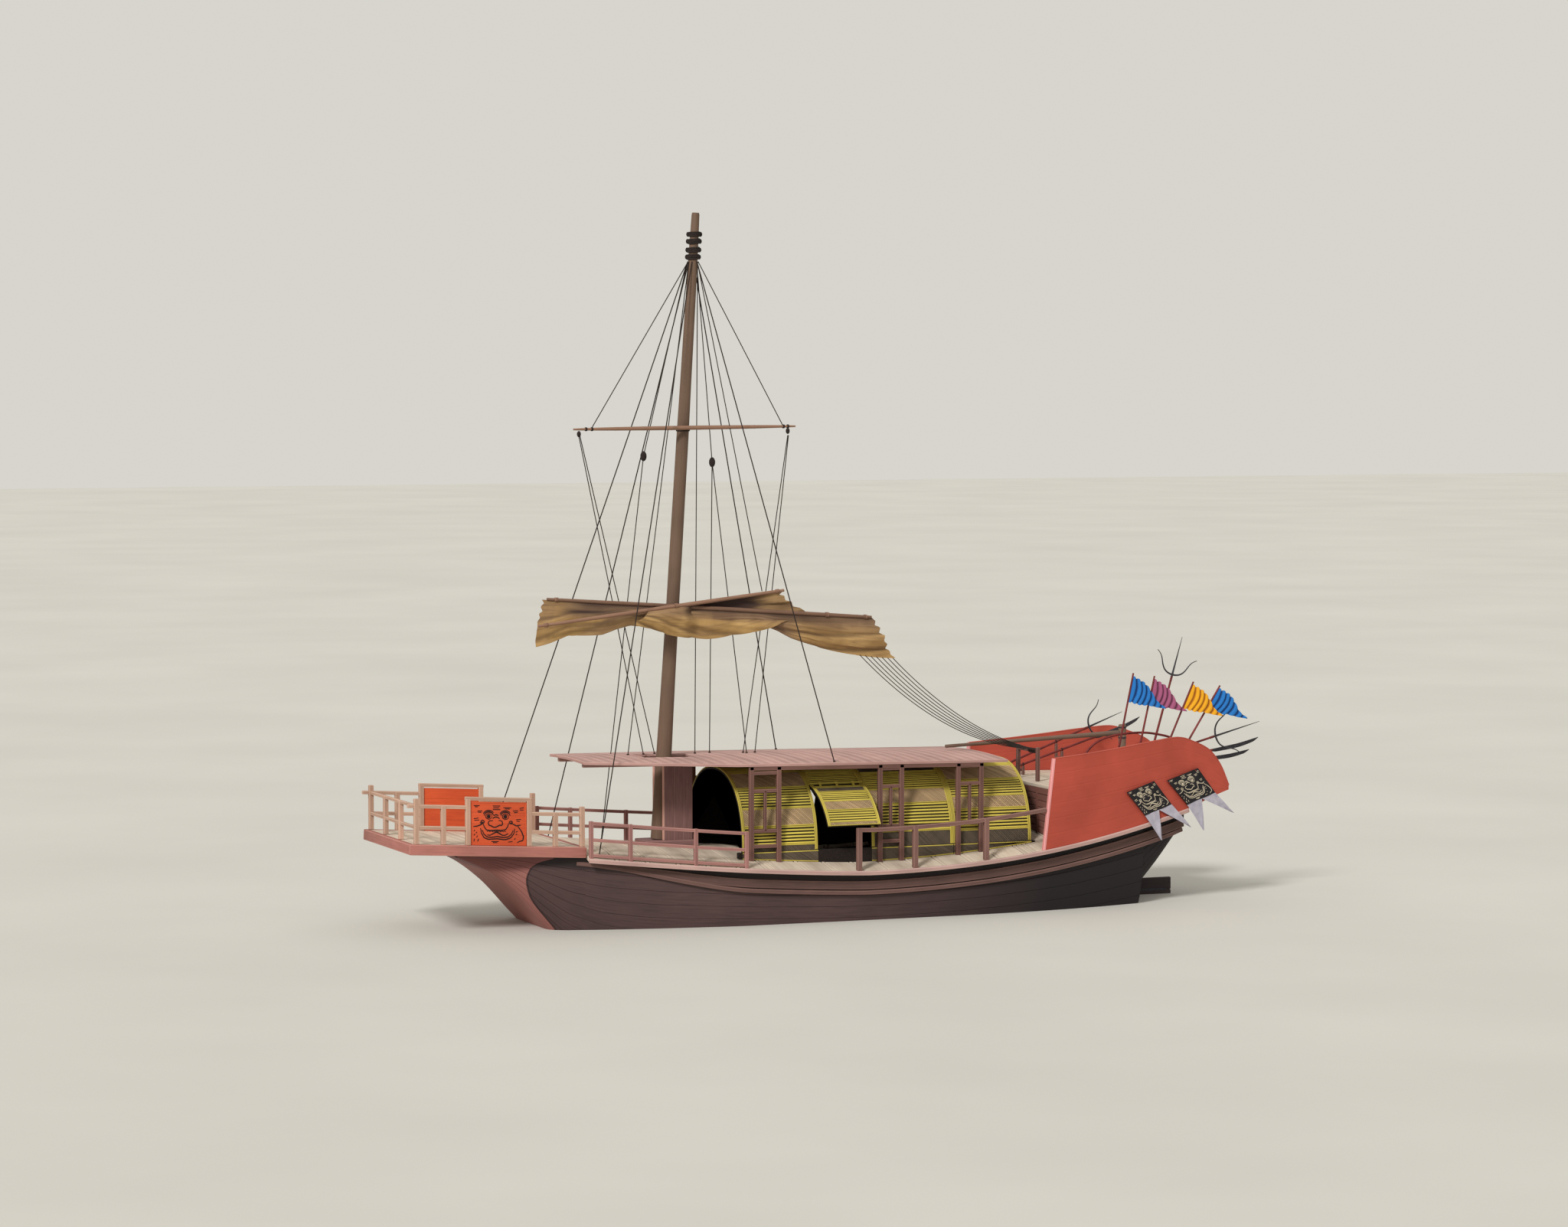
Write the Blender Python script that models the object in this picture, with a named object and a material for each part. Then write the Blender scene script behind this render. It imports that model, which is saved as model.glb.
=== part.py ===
"""River cargo junk afloat, built from its planks, mats, spars and rudder.

Metres, +Z up. The bow points to -X and the port side faces -Y. The origin is
on the waterline, amidships on the centreline.
"""
import math

import bmesh
import bpy
import numpy as np
from mathutils import Matrix, Vector

# Clearances
GAP = 0.0003
ROOT_DEPTH = 0.03

# Hull length, sheer and beam
BOW_X = -10.35
STERN_X = 9.75
SHEER_LOW_X = 0.3
SHEER_LOW = 1.30
SHEER_BOW = 2.18
SHEER_STERN = 2.50
SHEER_BOW_POWER = 1.3
SHEER_STERN_POWER = 2.0
DECK_HALF = 2.90
FULL_BEAM_FRONT_X = -3.0
FULL_BEAM_AFT_X = 3.5
BOW_NARROWING = 1.40
BOW_NARROWING_POWER = 1.25
STERN_NARROWING = 0.80
STERN_NARROWING_POWER = 1.8
SIDE_OVERHANG = 0.28
SIDE_ROUNDNESS = 2.6
SIDE_STEPS = 6
TOP_STEPS = 8

# Deck
DECK_FRONT_X = -7.11
DECK_THICKNESS = 0.10
DECK_CROWN = 0.32

# Hull stations: x, half-width of the flat bottom, height of the bottom
HULL_STATIONS = (
    (-10.35, 1.45, 1.94),
    (-9.60, 1.36, 1.60),
    (-8.89, 1.22, 1.06),
    (-8.10, 1.05, 0.18),
    (-7.45, 0.98, -0.48),
    (-7.12, 0.97, -0.66),
    (-7.11, 0.97, -0.67),
    (-6.40, 1.05, -0.95),
    (-5.00, 1.25, -1.10),
    (-3.00, 1.40, -1.10),
    (-1.00, 1.45, -1.10),
    (1.00, 1.45, -1.10),
    (3.00, 1.40, -1.10),
    (5.00, 1.30, -1.10),
    (6.00, 1.15, -1.10),
    (7.00, 0.85, -1.05),
    (8.43, 0.30, -0.95),
    (8.45, 1.15, 0.32),
    (9.00, 1.45, 1.05),
    (9.50, 1.62, 1.75),
    (9.75, 1.75, 2.12),
)

# Rubbing strakes: full drop below the sheer, depth, stand-off from the side
STRAKES = ((0.38, 0.22, 0.06), (0.57, 0.11, 0.075))
STRAKE_ROOT = 0.04
STRAKE_HEAD_X = -7.4
STRAKE_HEAD_DROP = 0.16
STRAKE_HEAD_SHARE = 0.35
STRAKE_RUN = 4.6
STRAKE_RINGS = slice(6, -1)

# Hold well under the mats
WELL_FRONT_X = -2.30
WELL_AFT_X = 4.90
WELL_HALF = 1.55
WELL_FLOOR = 0.35

# Bow platform
PLATFORM_FRONT_X = -11.75
PLATFORM_AFT_X = -7.13
PLATFORM_UNDER_AFT = 1.86
PLATFORM_RISE = 0.055
PLATFORM_THICKNESS = 0.27
PLATFORM_HALF = 2.05
BOW_RAIL_Y = 1.97
BOW_POST = 0.12
BOW_BAR = (0.09, 0.10)
FRONT_BAR = (0.08, 0.08)

# Bow rail posts: x, height
BOW_POSTS = (
    (-11.57, 1.14),
    (-10.87, 0.98),
    (-10.23, 1.16),
    (-8.63, 1.16),
    (-7.93, 0.86),
    (-7.22, 1.02),
)
# Bow rail bars: first x, last x, height of the middle
BOW_BARS = (
    (-11.80, -10.23, 0.95),
    (-11.57, -10.23, 0.42),
    (-10.30, -8.56, 1.17),
    (-8.63, -7.22, 0.82),
    (-8.63, -7.22, 0.36),
)
FRONT_POST_Y = 0.66
FRONT_BAR_HEIGHTS = (0.95, 0.42)
PANEL_THICKNESS = 0.05
PANEL_HEIGHT = 1.10

# Side rails on the deck edge
RAIL_INSET = 0.09
FORE_RAIL_POSTS = (-7.04, -6.06, -4.41, -3.10)
FORE_RAIL_HEIGHTS = (0.88, 0.46, 0.07)
FORE_RAIL_SIZE = 0.10
AFT_RAIL_POSTS = (-0.01, 1.55, 3.55)
AFT_RAIL_END_X = 5.28
AFT_RAIL_HEIGHTS = (1.04,)
AFT_RAIL_SIZE = 0.13
RAIL_STEP = 0.5
RAIL_POST_HEAD = 0.05
RAIL_BAR_SHARE = 0.8

# Arched mats over the hold
MAT_FOOT_Z = 1.82
MAT_TOP_Z = 3.84
MAT_HALF = 2.02
MAT_THICKNESS = 0.05
MAT_HOOP = 0.04
MAT_HOOP_WIDTH = 0.10
HOOP_STEP = 0.002
MAT_STEPS = 22
MAT_ROUNDNESS = 2.3
# Mat sections: name, first x, last x
MAT_SECTIONS = (
    ("mat_fore", -2.92, -0.84),
    ("mat_mid", 0.66, 2.96),
    ("mat_aft", 2.96 + GAP, 5.18),
)
CROWN_X = (-0.84 + GAP, 0.66 - GAP)
FLAP_X = (-0.82, 0.64)
FLAP_HINGE_TURN = math.radians(50)
FLAP_FOOT_TURN = math.radians(3)
FLAP_OPEN = math.radians(30)
FLAP_GAP = 0.006

# Hinges of the flaps: a rod carried by the crown, in loops on the flap
HINGE_STAND_OFF = 0.03
HINGE_ROD = 0.016
HINGE_CLEARANCE = 0.0008
HINGE_LOOP_WALL = 0.010
HINGE_LOOP_WIDTH = 0.08
HINGE_SIDES = 12
HINGE_LUG_WIDTH = 0.06
HINGE_LUG_TURN = FLAP_HINGE_TURN + math.radians(4)
HINGE_LUG_OUTSET = 0.02
HINGE_LUG_HALF = 0.02
HINGE_LUG_RISE = 0.0144
TONGUE_TURN = FLAP_HINGE_TURN - math.radians(6)
TONGUE_HALF = 0.007
TONGUE_INSET = 0.005
LOOP_X = (-0.55, -0.09, 0.37)

# Sills under the mats
SILL_INNER = 1.90
SILL_OUTER = 2.06
SILL_X = (-3.02, 5.30)
SILL_ROOT_Z = 1.20

# Ladder frames outside the mats: first post x, last post x, middle post, rungs
FRAME_Y = (2.075, 2.185)
FRAME_POST = 0.12
FRAMES = (
    (-2.71, -1.96, True, (3.86, 3.40, 2.37, 1.98)),
    (0.85, 1.45, True, (3.86, 3.40, 2.37, 1.98)),
    (3.05, 3.70, True, (3.86, 3.40, 2.37)),
)
FRAME_BAR = 0.09
FRAME_PLATE = 0.10
FRAME_PLATE_DROP = 0.005
STUD_SHARE = 0.6
STUD_INSET = 0.01

# Roof platform
ROOF_FRONT_X = -6.95
ROOF_TAPER_X = -3.10
ROOF_AFT_X = 4.44
ROOF_UNDER_FRONT = 4.10
ROOF_UNDER_AFT = 3.92
ROOF_CROWN = 0.08
ROOF_THICKNESS = 0.07
ROOF_HALF = 2.20
ROOF_FRONT_HALF = 1.35
ROOF_SLOT_X = (-5.00, -3.55)
ROOF_SLOT_HALF = 0.50
ROOF_BEARER_Y = 0.95
ROOF_BEARER = (0.12, 0.12)
ROOF_BEARER_INSET = 0.10
ROOF_BEARER_LET_IN = 0.015
ROOF_STEPS = 10
ROOF_SLOT_DEPTH = 1.0

# Tabernacle and mast
CHEEK_X = (-4.45, -3.67)
CHEEK_Y = (0.30, 0.42)
CHEEK_TOP = 4.03
STEP_X = (-4.95, -3.55)
STEP_HALF = 0.46
STEP_TOP = 2.04
STEP_ROOT = 0.30
CHEEK_ROOT = 0.05
MAST_SEAT = 0.0146
MAST_FOOT = Vector((-4.443, 0.0, STEP_TOP + MAST_SEAT))
MAST_TOP = Vector((-3.40, 0.0, 18.15))
MAST_SIDES = 32
# Mast radii: share of the length, radius
MAST_RADII = ((0.0, 0.22), (0.28, 0.175), (0.65, 0.155), (0.915, 0.125), (1.0, 0.10))
# Lashings at the masthead: height of the middle, height, extra radius
MASTHEAD_BANDS = ((17.02, 0.10, 0.05), (17.20, 0.10, 0.06), (17.42, 0.10, 0.05), (17.60, 0.08, 0.04))
BAND_FLAT_SHARE = 0.99

# Yards: fore end, aft end, middle radius, end radius. The two spars of the sail cross, in plan too
UPPER_YARD = (Vector((-6.84, -0.30, 12.62)), Vector((-0.77, -0.30, 12.67)), 0.055, 0.022)
SAIL_SPAR_A = (Vector((-7.60, -0.40, 8.32)), Vector((1.12, -0.90, 7.71)), 0.080, 0.045)
SAIL_SPAR_B = (Vector((-8.02, -0.95, 7.67)), Vector((-1.23, -0.655, 8.44)), 0.075, 0.045)
YARD_SIDES = 12
YARD_Z = 12.6
SAIL_Z = 8.1
YARD_QUARTER_FULLNESS = 0.7
PARREL_CLEARANCE = 0.00095
PARREL_WALL = 0.035
PARREL_HEIGHT = 0.12
PARREL_LUG = 0.10

# Furled sail: x, middle y, top z, bottom z, half width
SAIL_SECTIONS = (
    (-7.96, -0.70, 8.02, 7.15, 0.08),
    (-7.60, -0.69, 8.30, 7.27, 0.24),
    (-7.10, -0.69, 8.28, 7.42, 0.26),
    (-6.20, -0.69, 8.22, 7.42, 0.26),
    (-5.46, -0.69, 8.17, 7.62, 0.24),
    (-4.98, -0.69, 8.14, 7.56, 0.24),
    (-4.50, -0.69, 8.11, 7.40, 0.24),
    (-3.40, -0.69, 8.19, 7.27, 0.24),
    (-2.70, -0.68, 8.27, 7.35, 0.22),
    (-1.65, -0.66, 8.39, 7.50, 0.20),
    (-1.22, -0.66, 8.42, 7.33, 0.18),
    (-0.98, -0.66, 8.06, 7.22, 0.18),
    (-0.20, -0.70, 7.84, 6.95, 0.18),
    (0.77, -0.74, 7.74, 6.73, 0.16),
    (1.16, -0.76, 7.68, 6.68, 0.14),
    (1.46, -0.77, 7.10, 6.65, 0.10),
    (1.85, -0.78, 6.70, 6.61, 0.04),
)
SAIL_SIDES = 16
SPAR_CLEARANCE = 0.0004

# Main stays: where the fore stay, guys and back stays meet the mast, and their feet
STAY_RADIUS = 0.022
STAY_SIDES = 8
STAY_HEAD_Z = 16.90
STAY_HEAD_TURNS = (math.radians(180), math.radians(240), math.radians(300))
FORE_STAY_FOOT_X = -9.0
GUY_FOOT = (-6.80, 2.05)
BACK_STAY_FOOT = (-0.39, 2.05)

# Poop and stern boards
POOP_WALL_X = (5.70, 5.78)
POOP_WALL_HALF = 2.60
POOP_TOP = 3.15
POOP_THICKNESS = 0.08
POOP_AFT_X = 9.90
POOP_STATIONS = (POOP_WALL_X[0], 6.6, 7.5, 8.4, 9.2, POOP_AFT_X)
POOP_SIDE_GAP = 0.03
WALL_ROOT = 0.20
TRANSOM_X = (9.60, 9.68)
TRANSOM_HALF = 1.96
BULWARK_OUTSET = 0.02
BULWARK_THICKNESS = 0.10
# Bulwark stations: foot x, foot z (None on the deck), top x, top z
BULWARK_STATIONS = (
    (5.23, None, 5.52, 4.02),
    (6.40, None, 6.55, 4.11),
    (7.50, None, 7.60, 4.22),
    (8.60, None, 8.60, 4.34),
    (9.50, None, 9.40, 4.41),
    (9.95, 2.55, 9.99, 4.25),
    (10.35, 2.70, 10.43, 4.04),
    (10.76, 2.83, 10.83, 3.61),
    (11.12, 2.93, 11.12, 3.05),
)

# Rudder, stock and tiller
STOCK_X = 8.80
STOCK_RADIUS = 0.13
STOCK_HOLE_RADIUS = 0.17
COLLAR_RADIUS = 0.24
COLLAR_HEIGHT = 0.10
STOCK_TOP = 4.62
RUDDER_TOP = 0.45
RUDDER_BOTTOM = -1.60
RUDDER_LENGTH = 1.45
RUDDER_LEAD = 0.10
RUDDER_THICKNESS = 0.10
STOCK_FOOT = 0.10
RUDDER_PIVOT_Z = 0.5
TILLER_TIP = Vector((3.62, 0.0, 4.19))
TILLER_ROOT_Z = 4.40
TILLER_RADII = (0.05, 0.085)

# Banners on the bulwarks: corners of the field and its two tails, x and z
BANNER_THICKNESS = 0.02
BANNER_OFF = 0.06
BANNER_PEG = 0.03
BANNER_PEG_INSET = (0.072, 0.060)
BANNER_PEG_LET_IN = 0.014
BANNERS = (
    ((7.70, 3.04), (8.58, 3.30), (9.16, 2.65), (9.80, 2.01), (8.78, 2.43), (8.84, 1.72), (8.29, 2.40)),
    ((9.00, 3.29), (10.02, 3.57), (10.62, 2.88), (11.24, 2.31), (10.23, 2.68), (10.24, 1.90), (9.67, 2.61)),
)

# Flag staffs: foot x, top x, top z, side y
STAFFS = (
    (7.54, 8.15, 6.14, -2.00),
    (8.18, 8.82, 6.04, -1.90),
    (8.83, 10.02, 5.85, -1.80),
    (9.26, 10.86, 5.72, -1.70),
)
STAFF_RADIUS = 0.035
PENNANT_THICKNESS = 0.012
PENNANT_HOIST = 0.70
PENNANT_FLY = 1.05
PENNANT_DROP = 0.55
PENNANT_HEAD = 0.06
STAFF_TOP_RADIUS = 0.0245

# Arms carried at the stern: name, foot x, foot z, tip x, tip z, y, crescent size
SHAFT_RADIUS = 0.035
HEAD_THICKNESS = 0.03
HEAD_SOCKET = 0.05
ARMS = (
    ("trident_long", 5.62, 3.31, 9.57, 4.82, 1.62, 1.0),
    ("glaive_long", 5.75, 3.30, 9.95, 4.62, 1.25, 0.0),
    ("trident_upright", 9.65, 3.21, 10.73, 6.91, 0.30, 1.3),
    ("trident_stern", 9.00, 3.84, 12.20, 4.70, -1.40, 1.0),
    ("glaive_stern", 9.00, 3.62, 12.38, 4.16, -1.02, 0.0),
    ("glaive_low", 9.00, 3.50, 12.30, 3.80, -0.64, 0.0),
)
# Racks on the poop: name, x, the arms that lie on it
RACKS = (
    ("rack_fore", 6.45, ("trident_long", "glaive_long")),
    ("rack_middle", 7.60, ("trident_long", "glaive_long")),
    ("rack_stern", 9.10, ("trident_stern", "glaive_stern", "glaive_low")),
    ("rack_aft", 9.80, ("trident_stern", "glaive_stern", "glaive_low")),
)
RACK_POST = 0.07
RACK_BAR_DROP = 0.20
RACK_BAR_WIDTH = 0.056

# Horse for the sail's sheets on the poop, low enough for the tiller to sweep over it
HORSE_X = 6.02
HORSE_HALF = 0.62
HORSE_TOP = 4.13
HORSE_POST = 0.10
HORSE_BAR = (0.09, 0.08)

# Heads: distances along and across the shaft
CRESCENT = (
    (0.00, 0.08),
    (0.02, 0.24),
    (0.12, 0.38),
    (0.34, 0.48),
    (0.20, 0.30),
    (0.14, 0.12),
    (0.24, 0.05),
)
SPIKE_LENGTH = 1.10
GLAIVE = (
    (0.00, -0.05),
    (0.10, -0.12),
    (0.60, -0.12),
    (1.10, -0.02),
    (1.20, 0.10),
    (0.60, 0.06),
    (0.00, 0.05),
)

# Cutters: how far they reach past what they cut
CUT_TOP = 5.0
CUT_BOTTOM = -0.5
CUT_DEPTH = 1.5

# Paints: colour, roughness, metallic
HULL_PAINT = "hull_paint"
DECK_WOOD = "deck_wood"
RAIL_WOOD = "rail_wood"
DARK_WOOD = "dark_wood"
MAST_WOOD = "mast_wood"
MAT_STRAW = "mat_straw"
RED_PAINT = "red_paint"
SAIL_CANVAS = "sail_canvas"
BLACK_CLOTH = "black_cloth"
BLUE_CLOTH = "blue_cloth"
IRON = "iron"
ROPE = "rope"
PAINTS = {
    HULL_PAINT: ((0.075, 0.035, 0.032), 0.6, 0.0),
    DECK_WOOD: ((0.60, 0.45, 0.26), 0.7, 0.0),
    RAIL_WOOD: ((0.50, 0.27, 0.18), 0.65, 0.0),
    DARK_WOOD: ((0.19, 0.09, 0.07), 0.65, 0.0),
    MAST_WOOD: ((0.25, 0.13, 0.07), 0.6, 0.0),
    MAT_STRAW: ((0.65, 0.50, 0.06), 0.8, 0.0),
    RED_PAINT: ((0.48, 0.07, 0.035), 0.55, 0.0),
    SAIL_CANVAS: ((0.42, 0.20, 0.04), 0.85, 0.0),
    BLACK_CLOTH: ((0.01, 0.01, 0.012), 0.8, 0.0),
    BLUE_CLOTH: ((0.02, 0.18, 0.55), 0.8, 0.0),
    IRON: ((0.05, 0.05, 0.055), 0.45, 1.0),
    ROPE: ((0.06, 0.04, 0.03), 0.9, 0.0),
}

# Largest angle between faces that is still shaded smooth
SMOOTH_ANGLE = math.radians(35)


def sheer(x):
    """Height of the deck edge at x."""
    if x < SHEER_LOW_X:
        share = (SHEER_LOW_X - x) / (SHEER_LOW_X - BOW_X)
        return SHEER_LOW + (SHEER_BOW - SHEER_LOW) * share ** SHEER_BOW_POWER
    share = (x - SHEER_LOW_X) / (STERN_X - SHEER_LOW_X)
    return SHEER_LOW + (SHEER_STERN - SHEER_LOW) * share ** SHEER_STERN_POWER


def deck_half(x):
    """Half-width of the deck at x."""
    if x < FULL_BEAM_FRONT_X:
        share = (FULL_BEAM_FRONT_X - x) / (FULL_BEAM_FRONT_X - BOW_X)
        return DECK_HALF - BOW_NARROWING * share ** BOW_NARROWING_POWER
    if x > FULL_BEAM_AFT_X:
        share = (x - FULL_BEAM_AFT_X) / (STERN_X - FULL_BEAM_AFT_X)
        return DECK_HALF - STERN_NARROWING * share ** STERN_NARROWING_POWER
    return DECK_HALF


def hull_half(x):
    """Half-width of the hull's side under the deck edge at x."""
    share = min(1.0, (x - BOW_X) / (DECK_FRONT_X - BOW_X))
    return deck_half(x) - SIDE_OVERHANG * share


def deck_top(x, y):
    """Height of the crowned deck at x, y."""
    return sheer(x) + DECK_CROWN * (1.0 - (y / deck_half(x)) ** 2)


def platform_under(x):
    """Height of the underside of the bow platform at x."""
    return PLATFORM_UNDER_AFT + PLATFORM_RISE * (PLATFORM_AFT_X - x)


def platform_top(x):
    """Height of the top of the bow platform at x."""
    return platform_under(x) + PLATFORM_THICKNESS


def roof_under(x, y):
    """Height of the underside of the roof platform at x, y."""
    share = (x - ROOF_FRONT_X) / (ROOF_AFT_X - ROOF_FRONT_X)
    edge = ROOF_UNDER_FRONT + (ROOF_UNDER_AFT - ROOF_UNDER_FRONT) * share
    return edge + ROOF_CROWN * (1.0 - (y / ROOF_HALF) ** 2)


def mast_centre(z):
    """Point on the raked centreline of the mast at height z."""
    share = (z - MAST_FOOT.z) / (MAST_TOP.z - MAST_FOOT.z)
    return MAST_FOOT.lerp(MAST_TOP, share)


def mast_radius(z):
    """Radius of the bare mast at height z."""
    share = (z - MAST_FOOT.z) / (MAST_TOP.z - MAST_FOOT.z)
    shares = [row[0] for row in MAST_RADII]
    radii = [row[1] for row in MAST_RADII]
    return float(np.interp(share, shares, radii))


def clear_scene():
    """Remove whatever the file starts with."""
    for thing in list(bpy.data.objects):
        bpy.data.objects.remove(thing, do_unlink=True)


def paint(name):
    """A plain Principled material from the table of paints."""
    material = bpy.data.materials.get(name)
    if material is None:
        colour, roughness, metallic = PAINTS[name]
        material = bpy.data.materials.new(name)
        material.use_nodes = True
        shader = material.node_tree.nodes["Principled BSDF"]
        shader.inputs["Base Color"].default_value = (*colour, 1.0)
        shader.inputs["Roughness"].default_value = roughness
        shader.inputs["Metallic"].default_value = metallic
        material.diffuse_color = (*colour, 1.0)
    return material


def make_object(name, points, faces, material):
    """Turn points and faces into an object whose faces point out."""
    mesh = bpy.data.meshes.new(name)
    mesh.from_pydata([tuple(point) for point in points], [], faces)
    tidy = bmesh.new()
    tidy.from_mesh(mesh)
    bmesh.ops.recalc_face_normals(tidy, faces=tidy.faces)
    tidy.to_mesh(mesh)
    tidy.free()
    mesh.materials.append(paint(material))
    thing = bpy.data.objects.new(name, mesh)
    bpy.context.scene.collection.objects.link(thing)
    return thing


def loft(name, rings, material):
    """Skin rings of equal length and close both ends.

    Each cell is split along the same diagonal, so two lofts that share their
    points lie flat on each other.
    """
    count = len(rings[0])
    points = [point for ring in rings for point in ring]
    faces = []
    for row in range(len(rings) - 1):
        here = row * count
        there = here + count
        for step in range(count):
            after = (step + 1) % count
            faces.append((here + step, here + after, there + after))
            faces.append((here + step, there + after, there + step))
    last = (len(rings) - 1) * count
    faces.append(tuple(range(count)))
    faces.append(tuple(range(last, last + count)))
    return make_object(name, points, faces, material)


def block(name, x_range, y_range, z_range, material):
    """A rectangular timber."""
    rings = []
    for x in x_range:
        rings.append([
            (x, y_range[0], z_range[0]),
            (x, y_range[1], z_range[0]),
            (x, y_range[1], z_range[1]),
            (x, y_range[0], z_range[1]),
        ])
    return loft(name, rings, material)


def post_on(name, x_range, y_range, base, height, material, root=0.0):
    """A post whose foot follows base(x, y)."""
    rings = []
    for x in x_range:
        foot = [(x, y, base(x, y) - root) for y in y_range]
        head = [(x, y, base(x, y) + height) for y in reversed(y_range)]
        rings.append(foot + head)
    return loft(name, rings, material)


def bar_along(name, path, width, depth, material):
    """A rectangular bar through the points of path, level across."""
    rings = []
    for index, point in enumerate(path):
        before = path[max(index - 1, 0)]
        after = path[min(index + 1, len(path) - 1)]
        run = Vector((after[0] - before[0], after[1] - before[1], 0.0)).normalized()
        side = Vector((-run.y, run.x, 0.0)) * (width / 2)
        up = Vector((0.0, 0.0, depth / 2))
        centre = Vector(point)
        rings.append([centre - side - up, centre + side - up, centre + side + up, centre - side + up])
    return loft(name, rings, material)


def ring_around(centre, axis, radius, sides):
    """Points of a circle about an axis."""
    axis = axis.normalized()
    across = axis.cross(Vector((0.0, 1.0, 0.0)))
    if across.length < 0.1:
        across = axis.cross(Vector((0.0, 0.0, 1.0)))
    across.normalize()
    other = axis.cross(across)
    points = []
    for step in range(sides):
        turn = 2 * math.pi * step / sides
        points.append(centre + across * radius * math.cos(turn) + other * radius * math.sin(turn))
    return points


def tube(name, rings, material):
    """Skin rings of equal length in a closed loop, as a hollow ring."""
    count = len(rings[0])
    points = [point for ring in rings for point in ring]
    faces = []
    for row in range(len(rings)):
        here = row * count
        there = ((row + 1) % len(rings)) * count
        for step in range(count):
            after = (step + 1) % count
            faces.append((here + step, here + after, there + after, there + step))
    return make_object(name, points, faces, material)


def pole(name, stations, sides, material):
    """A turned pole through stations of centre and radius."""
    axis = stations[-1][0] - stations[0][0]
    rings = [ring_around(centre, axis, radius, sides) for centre, radius in stations]
    return loft(name, rings, material)


def join_bodies(name, pieces, material):
    """Unite overlapping pieces into one closed body."""
    base = pieces[0]
    others = bpy.data.collections.new(name + "_others")
    for piece in pieces[1:]:
        others.objects.link(piece)
    if len(pieces) > 1:
        union = base.modifiers.new("Union", "BOOLEAN")
        union.operation = "UNION"
        union.operand_type = "COLLECTION"
        union.collection = others
        union.solver = "EXACT"
        settle(base)
    for piece in pieces[1:]:
        bpy.data.objects.remove(piece, do_unlink=True)
    bpy.data.collections.remove(others)
    base.name = name
    base.data.name = name
    base.data.materials.clear()
    base.data.materials.append(paint(material))
    for face in base.data.polygons:
        face.material_index = 0
    return base


def settle(thing):
    """Replace an object's mesh by its evaluated one."""
    bpy.context.view_layer.update()
    graph = bpy.context.evaluated_depsgraph_get()
    mesh = bpy.data.meshes.new_from_object(thing.evaluated_get(graph))
    thing.modifiers.clear()
    thing.data = mesh


def cut(thing, cutter):
    """Take the cutter out of an object and remove the cutter."""
    difference = thing.modifiers.new("Cut", "BOOLEAN")
    difference.operation = "DIFFERENCE"
    difference.object = cutter
    difference.solver = "EXACT"
    settle(thing)
    bpy.data.objects.remove(cutter, do_unlink=True)
    return thing


def seat(thing, carrier, clearance):
    """Trim the part of an object that is sunk into its carrier."""
    cutter = bpy.data.objects.new("carrier_copy", carrier.data.copy())
    bpy.context.scene.collection.objects.link(cutter)
    cutter.location = clearance
    return cut(thing, cutter)


def origin_at(thing, point):
    """Puts a moving object's origin on its joint's axis without moving its shape."""
    thing.data.transform(Matrix.Translation(-point))
    thing.location = point
    return thing


def mirrored(thing, name):
    """A starboard copy of a port piece."""
    mesh = thing.data.copy()
    mesh.transform(Matrix.Scale(-1.0, 4, Vector((0.0, 1.0, 0.0))))
    mesh.flip_normals()
    mesh.name = name
    copy = bpy.data.objects.new(name, mesh)
    bpy.context.scene.collection.objects.link(copy)
    return copy


def both_sides(thing, stem, on_deck=False):
    """Name the port piece, add its starboard copy and stand both on the deck."""
    thing.name = stem + "_port"
    pair = (thing, mirrored(thing, stem + "_starboard"))
    if on_deck:
        for side in pair:
            cut(side, deck_block())
    return pair


def hull_ring(x, bottom_half, bottom_z, on_deck):
    """One section of the hull: over the top, down starboard, up port."""
    half = hull_half(x)
    across = np.linspace(-half, half, TOP_STEPS + 1)
    if on_deck:
        top = [(x, y, deck_top(x, y) - DECK_THICKNESS - GAP) for y in across]
    else:
        top = [(x, y, platform_under(x) - GAP) for y in across]
    edge_z = top[-1][2]
    side = []
    for step in range(1, SIDE_STEPS + 1):
        turn = math.radians(90 * (1 - step / SIDE_STEPS))
        out = math.sin(turn) ** (2 / SIDE_ROUNDNESS)
        up = 1 - math.cos(turn) ** (2 / SIDE_ROUNDNESS)
        side.append((x, bottom_half + (half - bottom_half) * out, bottom_z + (edge_z - bottom_z) * up))
    port = [(x, -y, z) for x, y, z in reversed(side)]
    return top + side + port


def hull_rings():
    """The hull's sections from bow to stern."""
    rings = []
    for x, bottom_half, bottom_z in HULL_STATIONS:
        rings.append(hull_ring(x, bottom_half, bottom_z, x >= DECK_FRONT_X))
    return rings


def side_y(ring, z):
    """Half-width of a hull section at height z."""
    side = ring[TOP_STEPS:TOP_STEPS + SIDE_STEPS + 1]
    heights = [point[2] for point in reversed(side)]
    widths = [point[1] for point in reversed(side)]
    return float(np.interp(z, heights, widths))


def strake_share(x, run):
    """Smooth rise from 0 at the strakes' head to 1 a run further aft."""
    share = min(1.0, max(0.0, (x - STRAKE_HEAD_X) / run))
    return share * share * (3.0 - 2.0 * share)


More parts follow.
